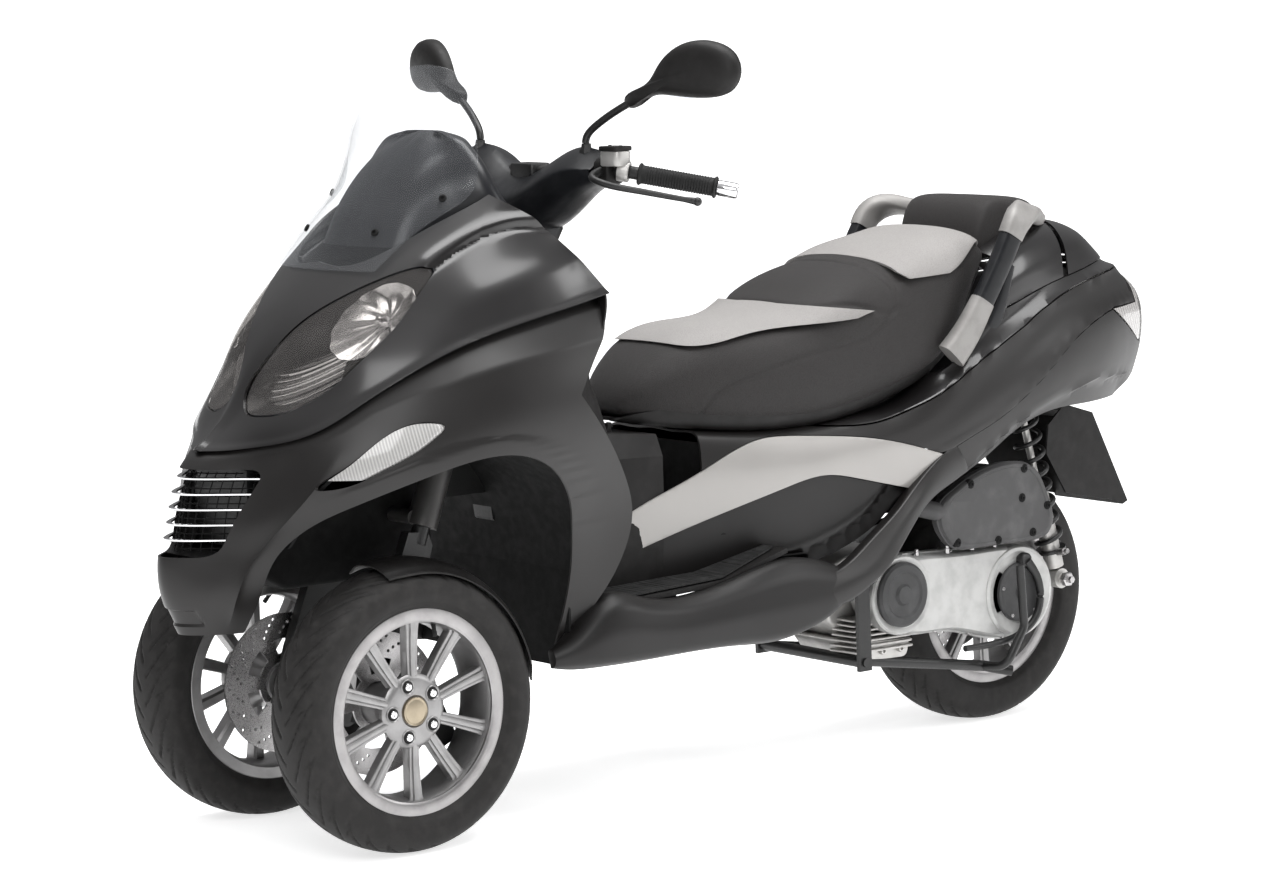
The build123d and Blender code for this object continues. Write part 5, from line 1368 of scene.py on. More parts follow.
    def pockets(self) -> bpy.types.Object:
        """Trays behind the pockets in near-black painted shade, each with its folded peg."""
        pieces = []
        for side in (LEFT, RIGHT):
            outline = self.on_skin(rounded([(790, 352), (786, 390), (934, 390), (918, 346)], 8, 4), 3)
            middle = outline.mean(axis=0)
            shares = np.array([1, 1, 0.9, 0.01])[:, None, None]
            depth = np.array([0, 22, 26, 26])[:, None, None] * np.array([1.0, 0, 0])
            points = mirror_x(middle + (outline - middle) * shares - depth, side)
            tray = shell("tray", points, mirror_x(middle + [-80, 0, 0], side), 2, 0, wrap_cols=True)
            peg = prism("peg", rounded([(800, 366), (904, 364), (900, 378), (802, 380)], 5, 4), Facing.SIDE,
                        side * (middle[0] - 14), side * (middle[0] - 2))
            pieces += [tray, bevel(peg, 2, 2)]
        return soften(join("peg_pockets", pieces), 40)

    def arms(self) -> bpy.types.Object:
        """Arms that sweep up from the sills into the tail.

        Each ring lies between its inner and outer edge, bulges out as sin(pi u), and is closed 22 mm behind.
        """
        inner, outer = smooth_line(self.arm_inner, 60), smooth_line(self.arm_outer, 60)
        u = np.linspace(0, 1, 13)[None, :, None]
        face = inner[:, None] + (outer - inner)[:, None] * u
        face[..., 0] += 5.0 * np.sin(math.pi * u[..., 0]) + 3.0 * (u[..., 0] - 0.5)
        back = face[:, ::-1] - [22, 0, 0]
        ring = np.concatenate([face, back], axis=1)
        pieces = [put_grid("arm", ring * [side, 1, 1], wrap_cols=True, caps=True) for side in (LEFT, RIGHT)]
        return soften(bevel(join("side_arms", pieces), 2.5, 2, 45), 40)

    def seat_room(self) -> bpy.types.Object:
        """The space of the seat and what is above it, in side view."""
        low = smooth_line(((540, 650), (669, 634), (865, 616), (1086, 632), (1175, 658), (1300, 728), (1350, 802),
                           (1402, 890)), 60)
        return prism("seat_room", np.concatenate([low, [(1402, 1100), (540, 1100)]]), Facing.SIDE, -330, 330)

    def tail(self) -> bpy.types.Object:
        """Gloss strip between the seat and the crease, and the band under the hump."""
        def relief(skin: Array) -> Array:
            aft, z = skin[..., 1], skin[..., 2]
            crease = self.line("crease")
            over = z - np.interp(aft, crease[:, 0], crease[:, 1])
            ridge = 5.0 * np.exp(-apart(aft, z, crease) / 9)
            trough = -6.0 * np.exp(-((over - 22) / 16) ** 2)
            return (ridge + trough) * step(aft, 980, 1150)
        keep = np.concatenate([self.reach("crease", 700, 1890, 1.5), self.reach("hump", 1400, 1890, -1.5)[::-1],
                               [(1398, 900), (700, 700)]])
        return self.panel("tail_shell", keep, (700, 1862, 230), relief, cuts=[self.seat_room()], close=True)

    def humps(self) -> tuple[bpy.types.Object, bpy.types.Object]:
        """Glossy humpback behind the rider's backrest: its fixed front, and the lid with its seam."""
        def relief(skin: Array) -> Array:
            aft, z = skin[..., 1], skin[..., 2]
            line = self.line("hump")
            over = np.clip(z - np.interp(aft, line[:, 0], line[:, 1]), 0, None)
            return 9 * step(over, 4, 60) - 2.5 * np.exp(-(over / 8) ** 2)
        front = np.concatenate([self.reach("hump", 1400, 1578, 1.5), [(1579, 1100), (1399, 1100)]])
        rear = np.concatenate([self.reach("hump", 1588, 1895, 1.5), [(1895, 1100), (1588, 1100)]])
        fixed = self.panel("hump_front", front, (1396, 1600, 60), relief, cuts=[self.seat_room()])
        return fixed, self.panel("hump_lid", rear, (1560, 1864, 70), relief, close=True)

    def lamp(self) -> tuple[bpy.types.Object, bpy.types.Object]:
        """Tail lamp: pale lens wrapped round the tail's tip, and the dark tray behind it."""
        side = np.array([(1727, 776), (1838, 779), (1841, 849), (1900, 850), (1900, 704), (1842, 707)])
        lens = self.panel("tail_lens_skin", side, (1715, 1864, 60), lambda skin: np.full(skin.shape[:2], -0.8),
                          close=True)
        tray = self.panel("tail_lamp_tray", np.array([(1730, 700), (1730, 840), (1900, 840), (1900, 700)]),
                          (1720, 1860, 30), lambda skin: np.full(skin.shape[:2], -9.0), 2.0, close=True)
        return lens, tray

    def rails(self) -> tuple[bpy.types.Object, bpy.types.Object]:
        """Grab rails: dark grip between a silver foot and a silver cap that turns in over the tail."""
        t = np.linspace(0, 2 * math.pi, 20, endpoint=False)
        section = np.stack([np.sign(np.cos(t)) * np.abs(np.cos(t)) ** 0.6 * 0.62,
                            np.sign(np.sin(t)) * np.abs(np.sin(t)) ** 0.6], axis=1)
        silver, dark = [], []
        for side in (LEFT, RIGHT):
            foot = smooth_line([(186, 1262, 722), (192, 1290, 756), (198, 1318, 800), (200, 1330, 820)], 14)
            grip = smooth_line([(200, 1326, 814), (203, 1362, 872), (203, 1398, 934), (202, 1404, 944)], 16)
            cap = smooth_line([(203, 1398, 934), (202, 1414, 958), (190, 1442, 974), (150, 1500, 968),
                               (100, 1560, 958)], 30)
            silver += [sweep("foot", mirror_x(foot, side), np.linspace(30, 24, 14), section=section, up=(0, -1, 0.3)),
                       sweep("cap", mirror_x(cap, side), np.interp(np.arange(30), [0, 6, 29], [25, 27, 22]),
                             section=section, up=(0, -1, 0.3))]
            hook = smooth_line([(170, 1352, 742), (180, 1372, 776), (186, 1392, 826), (188, 1412, 880)], 14)
            dark += [sweep("grip", mirror_x(grip, side), 22.5, section=section, up=(0, -1, 0.3)),
                     sweep("hook", mirror_x(hook, side), np.linspace(20, 9, 14), section=section, up=(0, -1, 0.3))]
        return soften(join("rail_silver_ends", silver), 50), soften(join("rail_grips", dark), 50)

    def build(self, finishes: Finishes) -> None:
        """Makes the rear body and gives each piece its finish."""
        dress(self.flank(), "chassis", finishes.satin, ("side_covers",))
        dress(self.stripe(), "chassis", finishes.stripe)
        dress(self.inner(), "chassis", finishes.satin_shaded)
        dress(self.pockets(), "chassis", finishes.void)
        dress(self.arms(), "chassis", finishes.satin)
        dress(self.skirt(), "chassis", finishes.satin, ("tail_skirts",))
        dress(self.tail(), "chassis", finishes.gloss, ("tail_panels",))
        fixed, lid = self.humps()
        dress(fixed, "chassis", finishes.gloss)
        dress(lid, "trunk_lid", finishes.gloss, ("trunk_lid",))
        lens, tray = self.lamp()
        dress(lens, "chassis", finishes.tail_lens, ("tail_lamp",))
        dress(tray, "chassis", finishes.black)
        silver, dark = self.rails()
        dress(silver, "chassis", finishes.silver, ("grab_rails",))
        dress(dark, "chassis", finishes.semi)


# ------------------------------------------------------------------------------- seat
@dataclass
class Seat:
    """Two-step seat: padded body with crowned top and rounded sides, grey inserts, seams and the backrest."""

    top: tuple = ((586, 670), (604, 706), (646, 748), (704, 786), (760, 803), (835, 808), (900, 814), (956, 830),
                  (1012, 862), (1078, 888), (1147, 903), (1204, 922), (1280, 938), (1380, 937), (1402, 905))
    low: tuple = ((586, 658), (674, 646), (865, 628), (1086, 644), (1175, 670), (1300, 740), (1350, 812), (1402, 890))
    plan: tuple = ((584, 48), (632, 90), (700, 126), (850, 162), (1000, 172), (1130, 171), (1250, 174), (1405, 138))
    inside: tuple = (0, 1000, 700)
    side_seam: tuple = ((706, 622), (713, 637), (727, 674), (774, 707), (866, 731), (968, 752), (1087, 779),
                        (1130, 812), (1146, 840), (1138, 868), (1120, 892), (1080, 925))
    step_seam: tuple = ((950, 870), (957, 834), (1010, 829), (1075, 822), (1131, 811), (1150, 818))
    rider_edge: tuple = ((676, 800), (684, 784), (720, 776), (800, 788), (860, 795), (1003, 803), (1075, 807),
                         (1131, 809))

    def read(self, line: Sequence, aft: Array) -> Array:
        """Height or breadth of one of the outline tables at distances aft."""
        table = smooth_line(line, 120)
        return np.interp(aft, table[:, 0], table[:, 1])

    def skin(self, rows: int, cols: int, shrink: float = 0.0) -> Array:
        """Closed rings of the seat.

        P(s, t): half ring through the top's middle, its shoulder, the side, the tucked lower edge and the middle
        of the underside, each at a share of the local half breadth and height, as a cubic of its chord length.

        Args:
            rows: stations from nose to backrest.
            cols: points of each half ring.
            shrink: distance that the ring is drawn in, to leave room for swelling.

        Returns:
            Points (station, point, 3), closed round the columns.
        """
        share = 0.5 - 0.5 * np.cos(np.linspace(0, math.pi, rows))
        aft = 588 + shrink + (1400 - 588 - 2 * shrink) * (0.5 * share + 0.5 * np.linspace(0, 1, rows))
        top, low = self.read(self.top, aft) - shrink, self.read(self.low, aft) + shrink
        half = self.read(self.plan, aft) - shrink
        height = np.maximum(top - low, 4)
        across = np.array([0, 0.36, 0.66, 0.88, 0.985, 1.0, 0.965, 0.90, 0.5, 0.0])
        down = np.array([0, 0.012, 0.055, 0.16, 0.34, 0.58, 0.86, 0.985, 1.0, 1.0])
        drop = np.array([0, 3, 10, 24, 52, 90, 0, 0, 0, 0])
        share = down[None] * height[:, None]
        fall = np.where(down < 0.6, np.minimum(share, drop[None] + 0.12 * height[:, None] * down), share)
        rings = []
        for index in range(rows):
            points = np.stack([across * half[index], top[index] - fall[index]], axis=1)
            t = chord(points)
            rings.append(spline(t, points, np.linspace(0, 1, cols)))
        ring = np.array(rings)
        full = np.concatenate([ring, ring[:, -2:0:-1] * [-1, 1]], axis=1)
        return np.stack([full[..., 0], np.broadcast_to(aft[:, None], full.shape[:2]), full[..., 1]], axis=-1)

    def swell(self, piece: bpy.types.Object, pressure: float, voxel: float, cap: float) -> bpy.types.Object:
        """Cloth under inner pressure, stopped when a point has moved by the cap, baked into the mesh."""
        modify(piece, "REMESH", mode="VOXEL", voxel_size=voxel / 1000)
        count = len(piece.data.vertices)
        rest = np.empty(count * 3)
        piece.data.vertices.foreach_get("co", rest)
        rest = rest.reshape(-1, 3)
        cloth = piece.modifiers.new("swell", "CLOTH")
        cloth.settings.use_pressure = True
        cloth.settings.uniform_pressure_force = pressure
        cloth.settings.effector_weights.gravity = 0.0
        cloth.point_cache.frame_start, cloth.point_cache.frame_end = 1, 20
        scene = bpy.context.scene
        moved = rest
        for frame in range(1, 21):
            scene.frame_set(frame)
            seen = piece.evaluated_get(bpy.context.evaluated_depsgraph_get())
            here = np.empty(count * 3)
            seen.data.vertices.foreach_get("co", here)
            moved = here.reshape(-1, 3)
            if np.linalg.norm(moved - rest, axis=1).max() > cap / 1000:
                break
        away = moved - rest
        far = np.linalg.norm(away, axis=1, keepdims=True)
        kept = rest + away * np.minimum(1, cap / 1000 / np.maximum(far, 1e-9))
        piece.modifiers.clear()
        piece.data.vertices.foreach_set("co", kept.ravel())
        scene.frame_set(1)
        return subdivide(modify(piece, "SMOOTH", factor=0.5, iterations=6), 1)

    def groove(self, piece: bpy.types.Object, line: Array, depth: float, width: float) -> None:
        """Presses a sewn line into the piece: points near the side-view line move inwards."""
        count = len(piece.data.vertices)
        flat = np.empty(count * 3)
        piece.data.vertices.foreach_get("co", flat)
        points = flat.reshape(-1, 3) * 1000 - [0, AXLE, 0]
        normals = np.empty(count * 3)
        piece.data.vertices.foreach_get("normal", normals)
        near = apart(points[:, 1], points[:, 2], line)
        move = -depth * np.exp(-(near / width) ** 2)
        points += normals.reshape(-1, 3) * move[:, None]
        piece.data.vertices.foreach_set("co", place(points).ravel())
        piece.data.update()

    def body(self) -> bpy.types.Object:
        """The seat's padded body with its side and step seams."""
        shrink = 3.0
        piece = put_grid("seat_body", self.skin(130, 60, shrink), wrap_cols=True, caps=True)
        piece = self.swell(piece, 4.0, 8.5, 6.0)
        self.groove(piece, smooth_line(self.side_seam, 80), 2.6, 3.0)
        self.groove(piece, smooth_line(self.step_seam, 60), 3.0, 5.0)
        return soften(piece, 60)

    def insert(self, name: str, keep: Array) -> bpy.types.Object:
        """A grey panel sewn on top: the seat's skin a little proud, kept inside a side-view outline."""
        skin = self.skin(150, 60, -3.4)
        first = skin[:, :24]
        both = np.concatenate([first[:, ::-1] * [-1, 1, 1], first[:, 1:]], axis=1)
        sheet = shell(name, both, self.inside, 5.0)
        carve(sheet, [prism("keep", keep, Facing.SIDE, -300, 300)], keep_common=True)
        return soften(bevel(sheet, 1.6, 2, 50), 50)

    def inserts(self) -> bpy.types.Object:
        """Rider's and passenger's inserts; the rider's runs to a point beside the step."""
        low = smooth_line(self.rider_edge, 60)
        rider = np.concatenate([[(680, 900)], low, [(1075, 818), (1010, 826), (957, 832), (948, 900)]])
        rear = np.array([(1150, 905), (1160, 880), (1178, 868), (1250, 872), (1345, 876), (1393, 884), (1393, 1000),
                         (1150, 1000)])
        return join("seat_inserts", [self.insert("rider", rider), self.insert("passenger", rear)])

    def under(self) -> bpy.types.Object:
        """Box of near-black painted shade under the rear of the cushion: closes the view between the side panels."""
        side = [(1090, 600), (1090, 628), (1175, 652), (1300, 718), (1340, 780), (1350, 700), (1260, 600)]
        return soften(bevel(prism("seat_shade_block", side, Facing.SIDE, -116, 116), 6, 3), 40)

    def base(self) -> bpy.types.Object:
        """Black seat pan that shows as a dark line under the cushion."""
        skin = self.skin(90, 40)
        low = skin[:, 22:40]
        both = np.concatenate([low, low[:, ::-1] * [-1, 1, 1]], axis=1)
        both = both * [0.94, 1, 1] - [0, 0, 9]
        return soften(shell("seat_pan", both, (0, 1000, 900), 6.0, 0.0), 40)

    def backrest(self) -> bpy.types.Object:
        """Passenger's back pad: a pillow between the rail caps.

        P(s, t): side-view outline scaled about its middle by the pillow share (1 - |s|^4)^(1/3).
        """
        outline = closed_curve([(1404, 884), (1404, 952), (1432, 996), (1500, 1000), (1560, 984), (1566, 930),
                                (1500, 905)], 40)
        s = np.linspace(-1, 1, 41)
        share = 0.72 + 0.28 * (1 - np.abs(s) ** 4) ** (1 / 3)
        middle = np.array([1485, 940])
        flat = middle + (outline - middle)[None] * share[:, None, None]
        across = np.broadcast_to((s * 112)[:, None], flat.shape[:2])
        points = np.stack([across, flat[..., 0], flat[..., 1]], axis=-1)
        piece = put_grid("back_pad", points, wrap_cols=True, caps=True)
        return soften(subdivide(piece, 1), 50)

    def build(self, finishes: Finishes) -> None:
        """Makes the seat and the backrest."""
        body = dress(self.body(), "seat", finishes.vinyl, ("seat_cushion",))
        dress(self.inserts(), "seat", finishes.vinyl_top)
        dress(self.under(), "chassis", finishes.void)
        dress(self.base(), "seat", finishes.black, ("seat_base",))
        pad = dress(self.backrest(), "chassis", finishes.vinyl, ("backrest_pad",))


# ------------------------------------------------------------------------------- screen and dash
@dataclass
class Screen:
    """Clear windscreen, the hood behind it, and the dials that face the rider."""

    sheet: tuple = ((952, -12, 141, 20), (1000, 26, 154, 76), (1040, 54, 173, 136), (1078, 83, 188, 190),
                    (1130, 122, 188, 200), (1180, 162, 176, 206), (1225, 197, 150, 216), (1252, 217, 118, 227),
                    (1272, 233, 70, 236), (1279, 238, 22, 239), (1280, 239, 2, 239))
    hood: tuple = ((984, 60, 95, 316, 180), (1030, 80, 92, 290, 178), (1075, 110, 90, 262, 168),
                   (1115, 146, 84, 250, 150),
                   (1148, 184, 68, 242, 118), (1164, 208, 44, 238, 78), (1170, 220, 20, 234, 40))
    off: float = 7.2
    dial_aft: float = 268

    def windscreen(self) -> bpy.types.Object:
        """Curved sheet: P(s, u) = (h u, c + (e - c) u^2 - off, z), with h, c, e, z cubics along its outline."""
        rows = smooth_line(self.sheet, 70)
        u = np.linspace(-1, 1, 61)
        z, centre, half, edge = (rows[:, i, None] for i in range(4))
        points = np.stack([half * u, centre + (edge - centre) * u**2 - self.off, z + 0 * u], axis=-1)
        return soften(bevel(shell("screen_sheet", points, (0, 400, 1050), 3.6), 0.8, 2, 50), 50)

    def cowl(self) -> bpy.types.Object:
        """Hood behind the screen: closed rings, cubic in their chord length and cubic in height."""
        rings = []
        for z, front, narrow, rear, wide in self.hood:
            left = [(0, front), (0.6 * narrow, front + 3), (narrow, front + 16),
                    (0.5 * (narrow + wide), 0.5 * (front + rear) - 8),
                    (wide, rear - 18), (0.9 * wide, rear - 2), (0.5 * wide, rear - 6), (0, rear - 8)]
            points = np.array(left)
            t = chord(points)
            half = spline(t, points, np.linspace(0, 1, 44))
            full = np.concatenate([half, half[-2:0:-1] * [-1, 1]])
            rings.append(np.concatenate([full, np.full((len(full), 1), z)], axis=1))
        t = chord(np.array([[ring[0][1], ring[0][2]] for ring in rings]))
        grid = spline(t, np.array(rings), np.linspace(0, 1, 60))
        return soften(put_grid("dash_hood", grid, wrap_cols=True, caps=True), 50)

    def dials(self) -> tuple[bpy.types.Object, bpy.types.Object]:
        """Two round dials and a display on the rider's side, with chromed rings."""
        faces, rings = [], []
        tilt = np.array([0.0, 0.88, 0.47])
        for x, radius in ((-66, 36), (66, 36)):
            centre = np.array([x, self.dial_aft, 1052.0])
            faces.append(lathe("face", [(-30, radius), (2, radius), (2, 0.02)], centre, tilt, 36, closed=False))
            rings.append(lathe("ring", [(-24, radius), (-24, radius + 5), (5, radius + 4), (7, radius + 2),
                                        (5, radius)],
                               centre, tilt, 48))
            hand = prism("hand", [(x - 1.5, 0), (x + 1.5, 0), (x + 0.6, 26), (x - 0.6, 26)], Facing.FRONT, -1, 1)
            hand.data.transform(self._onto(centre, tilt, x))
            rings.append(hand)
        display = prism("display", rounded([(-24, -20), (24, -20), (24, 20), (-24, 20)], 6, 4), Facing.FRONT, -20, 2)
        display.data.transform(self._onto(np.array([0.0, self.dial_aft, 1052.0]), tilt, 0))
        faces.append(display)
        return soften(join("dial_faces", faces), 40), soften(join("dial_rings", rings), 40)

    @staticmethod
    def _onto(centre: Array, tilt: Array, across: float) -> Matrix:
        """Turns a shape drawn upright at the front axle so that it lies on a tilted face."""
        home = Vector(place(np.array([across, 0.0, 0.0])))
        turn = Vector((0, 1, 0)).rotation_difference(Vector(tilt)).to_matrix().to_4x4()
        target = Vector(place(centre + 4 * tilt))
        return Matrix.Translation(target) @ turn @ Matrix.Translation(-home)

    def mounts(self) -> bpy.types.Object:
        """Four screen screws."""
        rows = smooth_line(self.sheet, 70)
        pieces = []
        for z, u in ((1010, 0.62), (1064, 0.86)):
            centre, half, edge = (np.interp(z, rows[:, 0], rows[:, i]) for i in (1, 2, 3))
            for side in (LEFT, RIGHT):
                at = (side * half * u, centre + (edge - centre) * u**2 - self.off, z)
                slope = 2 * (edge - centre) * u / half
                pieces.append(bolt("screw", at, (side * slope, -1, 0.62), 6.5, 4.5))
        return soften(join("screen_screws", pieces), 40)

    def build(self, finishes: Finishes) -> None:
        """Makes the screen and the dash."""
        dress(self.windscreen(), "chassis", finishes.screen, ("windscreen",))
        dress(self.cowl(), "chassis", finishes.hood, ("dash_cowl",))
        faces, rings = self.dials()
        dress(faces, "chassis", finishes.glass_black)
        dress(rings, "chassis", finishes.chrome)
        dress(self.mounts(), "chassis", finishes.void)


# ------------------------------------------------------------------------------- bars and mirrors
@dataclass
class Bars:
    """Handlebar with its cover, switches, reservoirs, levers, grips, and the two mirrors."""

    cover: tuple = ((0, 382, 984, 498, 1090), (45, 384, 990, 500, 1100), (92, 394, 1018, 504, 1123),
                    (140, 408, 1052, 503, 1136), (190, 424, 1074, 494, 1127))
    bend: tuple = (240, 456, 1098)
    end: tuple = (366, 568, 1067)
    lever: tuple = ((214, 440, 1100), (228, 402, 1088), (252, 404, 1080), (300, 440, 1067), (350, 486, 1054),
                    (374, 509, 1048))
    stalk: tuple = ((150, 452, 1128), (150, 452, 1150), (170, 458, 1172), (245, 478, 1214))
    bar_radius: float = 11.0
    grip_radius: float = 15.6
    grip_collar: float = 3.4
    stalk_radius: float = 6.5
    box_x: tuple = (194, 232)
    pot_heights: tuple = (1106, 1132, 1140)
    mirror_at: tuple = (371, 507, 1267)
    mirror_turn: float = 15.0
    head: tuple = ((-138, -64), (-146, -54), (-104, -27), (-78, 2), (-58, 24), (-12, 46), (49, 43), (79, 24), (88, -4),
                   (73, -33), (37, -46), (-55, -43), (-108, -52))

    def along(self, share: float, side: int) -> Array:
        """A point on the grip's straight stretch."""
        start, end = np.array(self.bend, float), np.array(self.end, float)
        return mirror_x(start + (end - start) * share, side)

    def shroud(self) -> bpy.types.Object:
        """Bar cover: rounded rings across the vehicle, cubic in breadth, with sunk ends round the switches."""
        rows = np.array(self.cover, float)
        both = np.concatenate([rows[:0:-1] * [-1, 1, 1, 1, 1], rows])
        across = np.linspace(-190, 190, 80)
        fore, low, back, high = spline(both[:, 0], both[:, 1:], across).T
        t = np.linspace(0, 2 * math.pi, 40, endpoint=False)
        c, s = np.cos(t), np.sin(t)
        u, v = np.sign(c) * np.abs(c) ** 0.7, np.sign(s) * np.abs(s) ** 0.7
        aft = 0.5 * (fore + back)[:, None] + 0.5 * (back - fore)[:, None] * u
        crown = np.clip(v, 0, 1) * (10 * np.clip(u, 0, 1) + 30 * np.clip(-u, 0, 1))
        z = 0.5 * (low + high)[:, None] + 0.5 * (high - low)[:, None] * v - crown
        points = np.stack([np.broadcast_to(across[:, None], aft.shape), aft, z], axis=-1)
        ends = [points[:1] * [0.97, 1, 1], points[-1:] * [0.97, 1, 1]]
        middle = [end.mean(axis=1, keepdims=True) for end in ends]
        inset = [m + (e - m) * 0.82 for e, m in zip(ends, middle)]
        sunk = [m + (e - m) * 0.8 - [np.sign(m[0, 0, 0]) * 16, 0, 0] for e, m in zip(ends, middle)]
        rings = np.concatenate([sunk[0], inset[0], points, inset[1], sunk[1]])
        return soften(put_grid("bar_shroud", rings, wrap_cols=True, caps=True), 40)

    def neck(self) -> bpy.types.Object:
        """Gaiter-like collar that runs from the cover down round the steering column."""
        t = np.linspace(0, 1, 12)
        path = np.stack([0 * t, 448 - 26 * t, 1012 - 62 * t], axis=1)
        section = [(1.15, 0.9), (0.6, 1.0), (-0.6, 1.0), (-1.15, 0.9), (-1.2, 0), (-1.15, -0.9), (-0.6, -1), (0.6, -1),
                   (1.15, -0.9), (1.2, 0)]
        return soften(subdivide(sweep("column_neck", path, 46 - 6 * t, section=np.array(section), up=(0, -1, 0)), 1),
                      50)

    def boxes(self) -> bpy.types.Object:
        """Switch boxes next to the grips, with their buttons."""
        pieces = []
        for side in (LEFT, RIGHT):
            body = prism("box", rounded([(430, 1078), (430, 1114), (446, 1122), (470, 1120), (478, 1104), (472, 1080),
                                         (452, 1072)], 8, 4),
                         Facing.SIDE, *(side * x for x in self.box_x))
            pieces.append(bevel(body, 4, 3))
            for dx, dz, size in ((-8, 12, 5), (6, 10, 4), (-2, -2, 6)):
                low, high = 1096 + dz - size, 1096 + dz + size
                key = prism("key", rounded([(474, low), (474, high), (484, high), (484, low)], 2, 3), Facing.SIDE,
                            side * (212 + dx - 5), side * (212 + dx + 5))
                pieces.append(bevel(key, 1.2, 2))
        return soften(join("switch_boxes", pieces), 40)

    def reservoirs(self) -> tuple[bpy.types.Object, bpy.types.Object]:
        """Brake fluid reservoirs: cast body with a clamp, and a black lid with two screws."""
        cast, lids = [], []
        low, brim, top = self.pot_heights
        for side in (LEFT, RIGHT):
            body = prism("pot", rounded([(218, 424), (258, 432), (256, 466), (216, 460)], 9, 5) * [side, 1],
                         Facing.PLAN, low, brim)
            lid = prism("lid", rounded([(216, 422), (260, 430), (258, 468), (214, 462)], 9, 5) * [side, 1],
                        Facing.PLAN, brim, top)
            axis = self.along(1, side) - self.along(0, side)
            clamp = lathe("clamp", [(-10, 11.5), (-10, 18), (10, 18), (10, 11.5)], self.along(0.02, side), axis, 28)
            cast += [bevel(body, 3, 2), bevel(clamp, 1.5, 2)]
            lids += [bevel(lid, 2, 2)]
            lids += [bolt("screw", (side * x, 445, top - 0.5), (0, 0, 1), 3, 2) for x in (223, 251)]
        return soften(join("reservoir_pots", cast), 40), soften(join("reservoir_lids", lids), 40)

    def grips(self) -> bpy.types.Object:
        """Rubber grips with fine rings and a collar at each end."""
        pieces = []
        share = np.linspace(0.17, 0.955, 150)
        wave = 0.55 * np.sin(share * 230) * (step(share, 0.24, 0.27) - step(share, 0.88, 0.91))
        collars = np.exp(-((share - 0.185) / 0.018) ** 2) + np.exp(-((share - 0.94) / 0.014) ** 2)
        radius = self.grip_radius + wave + self.grip_collar * collars
        for side in (LEFT, RIGHT):
            path = np.array([self.along(s, side) for s in share])
            pieces.append(sweep("grip", path, radius, 28))
        return soften(join("grip_rubbers", pieces), 60)

    def ends(self) -> bpy.types.Object:
        """Silver bar ends with a sunk hole in the end."""
        pieces = []
        for side in (LEFT, RIGHT):
            axis = self.along(1, side) - self.along(0, side)
            profile = [(0, 8), (0, 12.5), (4, 13.5), (30, 13.5), (34, 12.5), (35, 10), (35, 6), (28, 5.5), (28, 0.02)]
            pieces.append(lathe("end", profile, self.along(0.962, side), axis, 32, closed=False))
        return soften(join("bar_ends", pieces), 35)

    def tube(self) -> bpy.types.Object:
        """Bar tube and its riser on the column."""
        path = [mirror_x(self.bend, RIGHT), (-95, 446, 1092), (95, 446, 1092), self.bend]
        line = np.concatenate([[self.along(0.2, RIGHT)], smooth_line(path, 30), [self.along(0.2, LEFT)]])
        bar = sweep("bar", line, self.bar_radius, 16)
        riser = bevel(prism("riser", rounded([(-32, 424), (32, 424), (32, 468), (-32, 468)], 8, 4), Facing.PLAN, 1062,
                            1106), 4, 2)
        return soften(join("bar_tube", [bar, riser]), 40)

    def levers(self) -> bpy.types.Object:
        """Brake levers: flat curved blades with a ball end."""
        pieces = []
        for side in (LEFT, RIGHT):
            path = mirror_x(smooth_line(self.lever, 40), side)
            radius = np.interp(np.linspace(0, 1, 40), [0, 0.15, 0.9, 0.95, 1], [8, 6.5, 4.6, 5.5, 6.5])
            pieces.append(sweep("lever", path, radius, 14))
            t = np.linspace(0.02, math.pi - 0.02, 12)
            pieces.append(lathe("ball", np.stack([7.5 * -np.cos(t), 7.5 * np.sin(t)], axis=1), path[-1],
                                (side, 0.8, -0.2), 20, closed=False))
        return soften(join("brake_levers", pieces), 50)

    def mirror_frame(self, side: int) -> Callable[[Array, float], Array]:
        """Maps a drawn outline (outwards, up) and a depth towards the front to points on one mirror."""
        turn = math.radians(self.mirror_turn)
        out, front = np.array([math.cos(turn), math.sin(turn), 0]), np.array([math.sin(turn), -math.cos(turn), 0])
        centre = np.array(self.mirror_at, float)

        def laid(outline: Array, depth: float) -> Array:
            points = centre + outline[:, :1] * out + outline[:, 1:] * [0, 0, 1] + depth * front
            return mirror_x(points, side)
        return laid

    def mirrors(self) -> tuple[bpy.types.Object, bpy.types.Object, bpy.types.Object]:
        """Mirror heads with their drawn-out necks, the glasses, and the stalks."""
        outline = closed_curve(self.head, 72)
        middle = np.array([6.0, 0.0])
        depths = ((-14, 0.90), (-16, 0.95), (-15, 0.985), (-10, 1.0), (-3, 0.995), (5, 0.94), (11, 0.82), (15, 0.64),
                  (17.5, 0.42), (18.5, 0.2), (18.8, 0.02))
        heads, glasses, stalks = [], [], []
        for side in (LEFT, RIGHT):
            laid = self.mirror_frame(side)
            rings = np.array([laid(middle + (outline - middle) * share, depth) for depth, share in depths])
            heads.append(put_grid("head", rings, wrap_cols=True, caps=True))
            face = closed_curve([(-70, -34), (-64, 4), (-46, 26), (-6, 40), (46, 37), (72, 20), (80, -4), (66, -28),
                                 (34, -39)], 60)
            glass = np.array([laid(face * share, depth)
                              for depth, share in ((-14.5, 1), (-17.4, 1), (-17.8, 0.985), (-17.8, 0.02))])
            glasses.append(put_grid("glass", glass, wrap_cols=True, caps=True))
            stalks.append(tube("stalk", mirror_x(self.stalk, side), self.stalk_radius, 40, 14))
            stalks.append(lathe("nut", [(0, 12), (10, 12), (14, 9), (22, 8)], mirror_x((150, 452, 1120), side),
                                (0, 0, 1), 6, closed=False))
        return (soften(join("mirror_heads", heads), 50), soften(join("mirror_faces", glasses), 40),
                soften(join("mirror_stalks", stalks), 40))

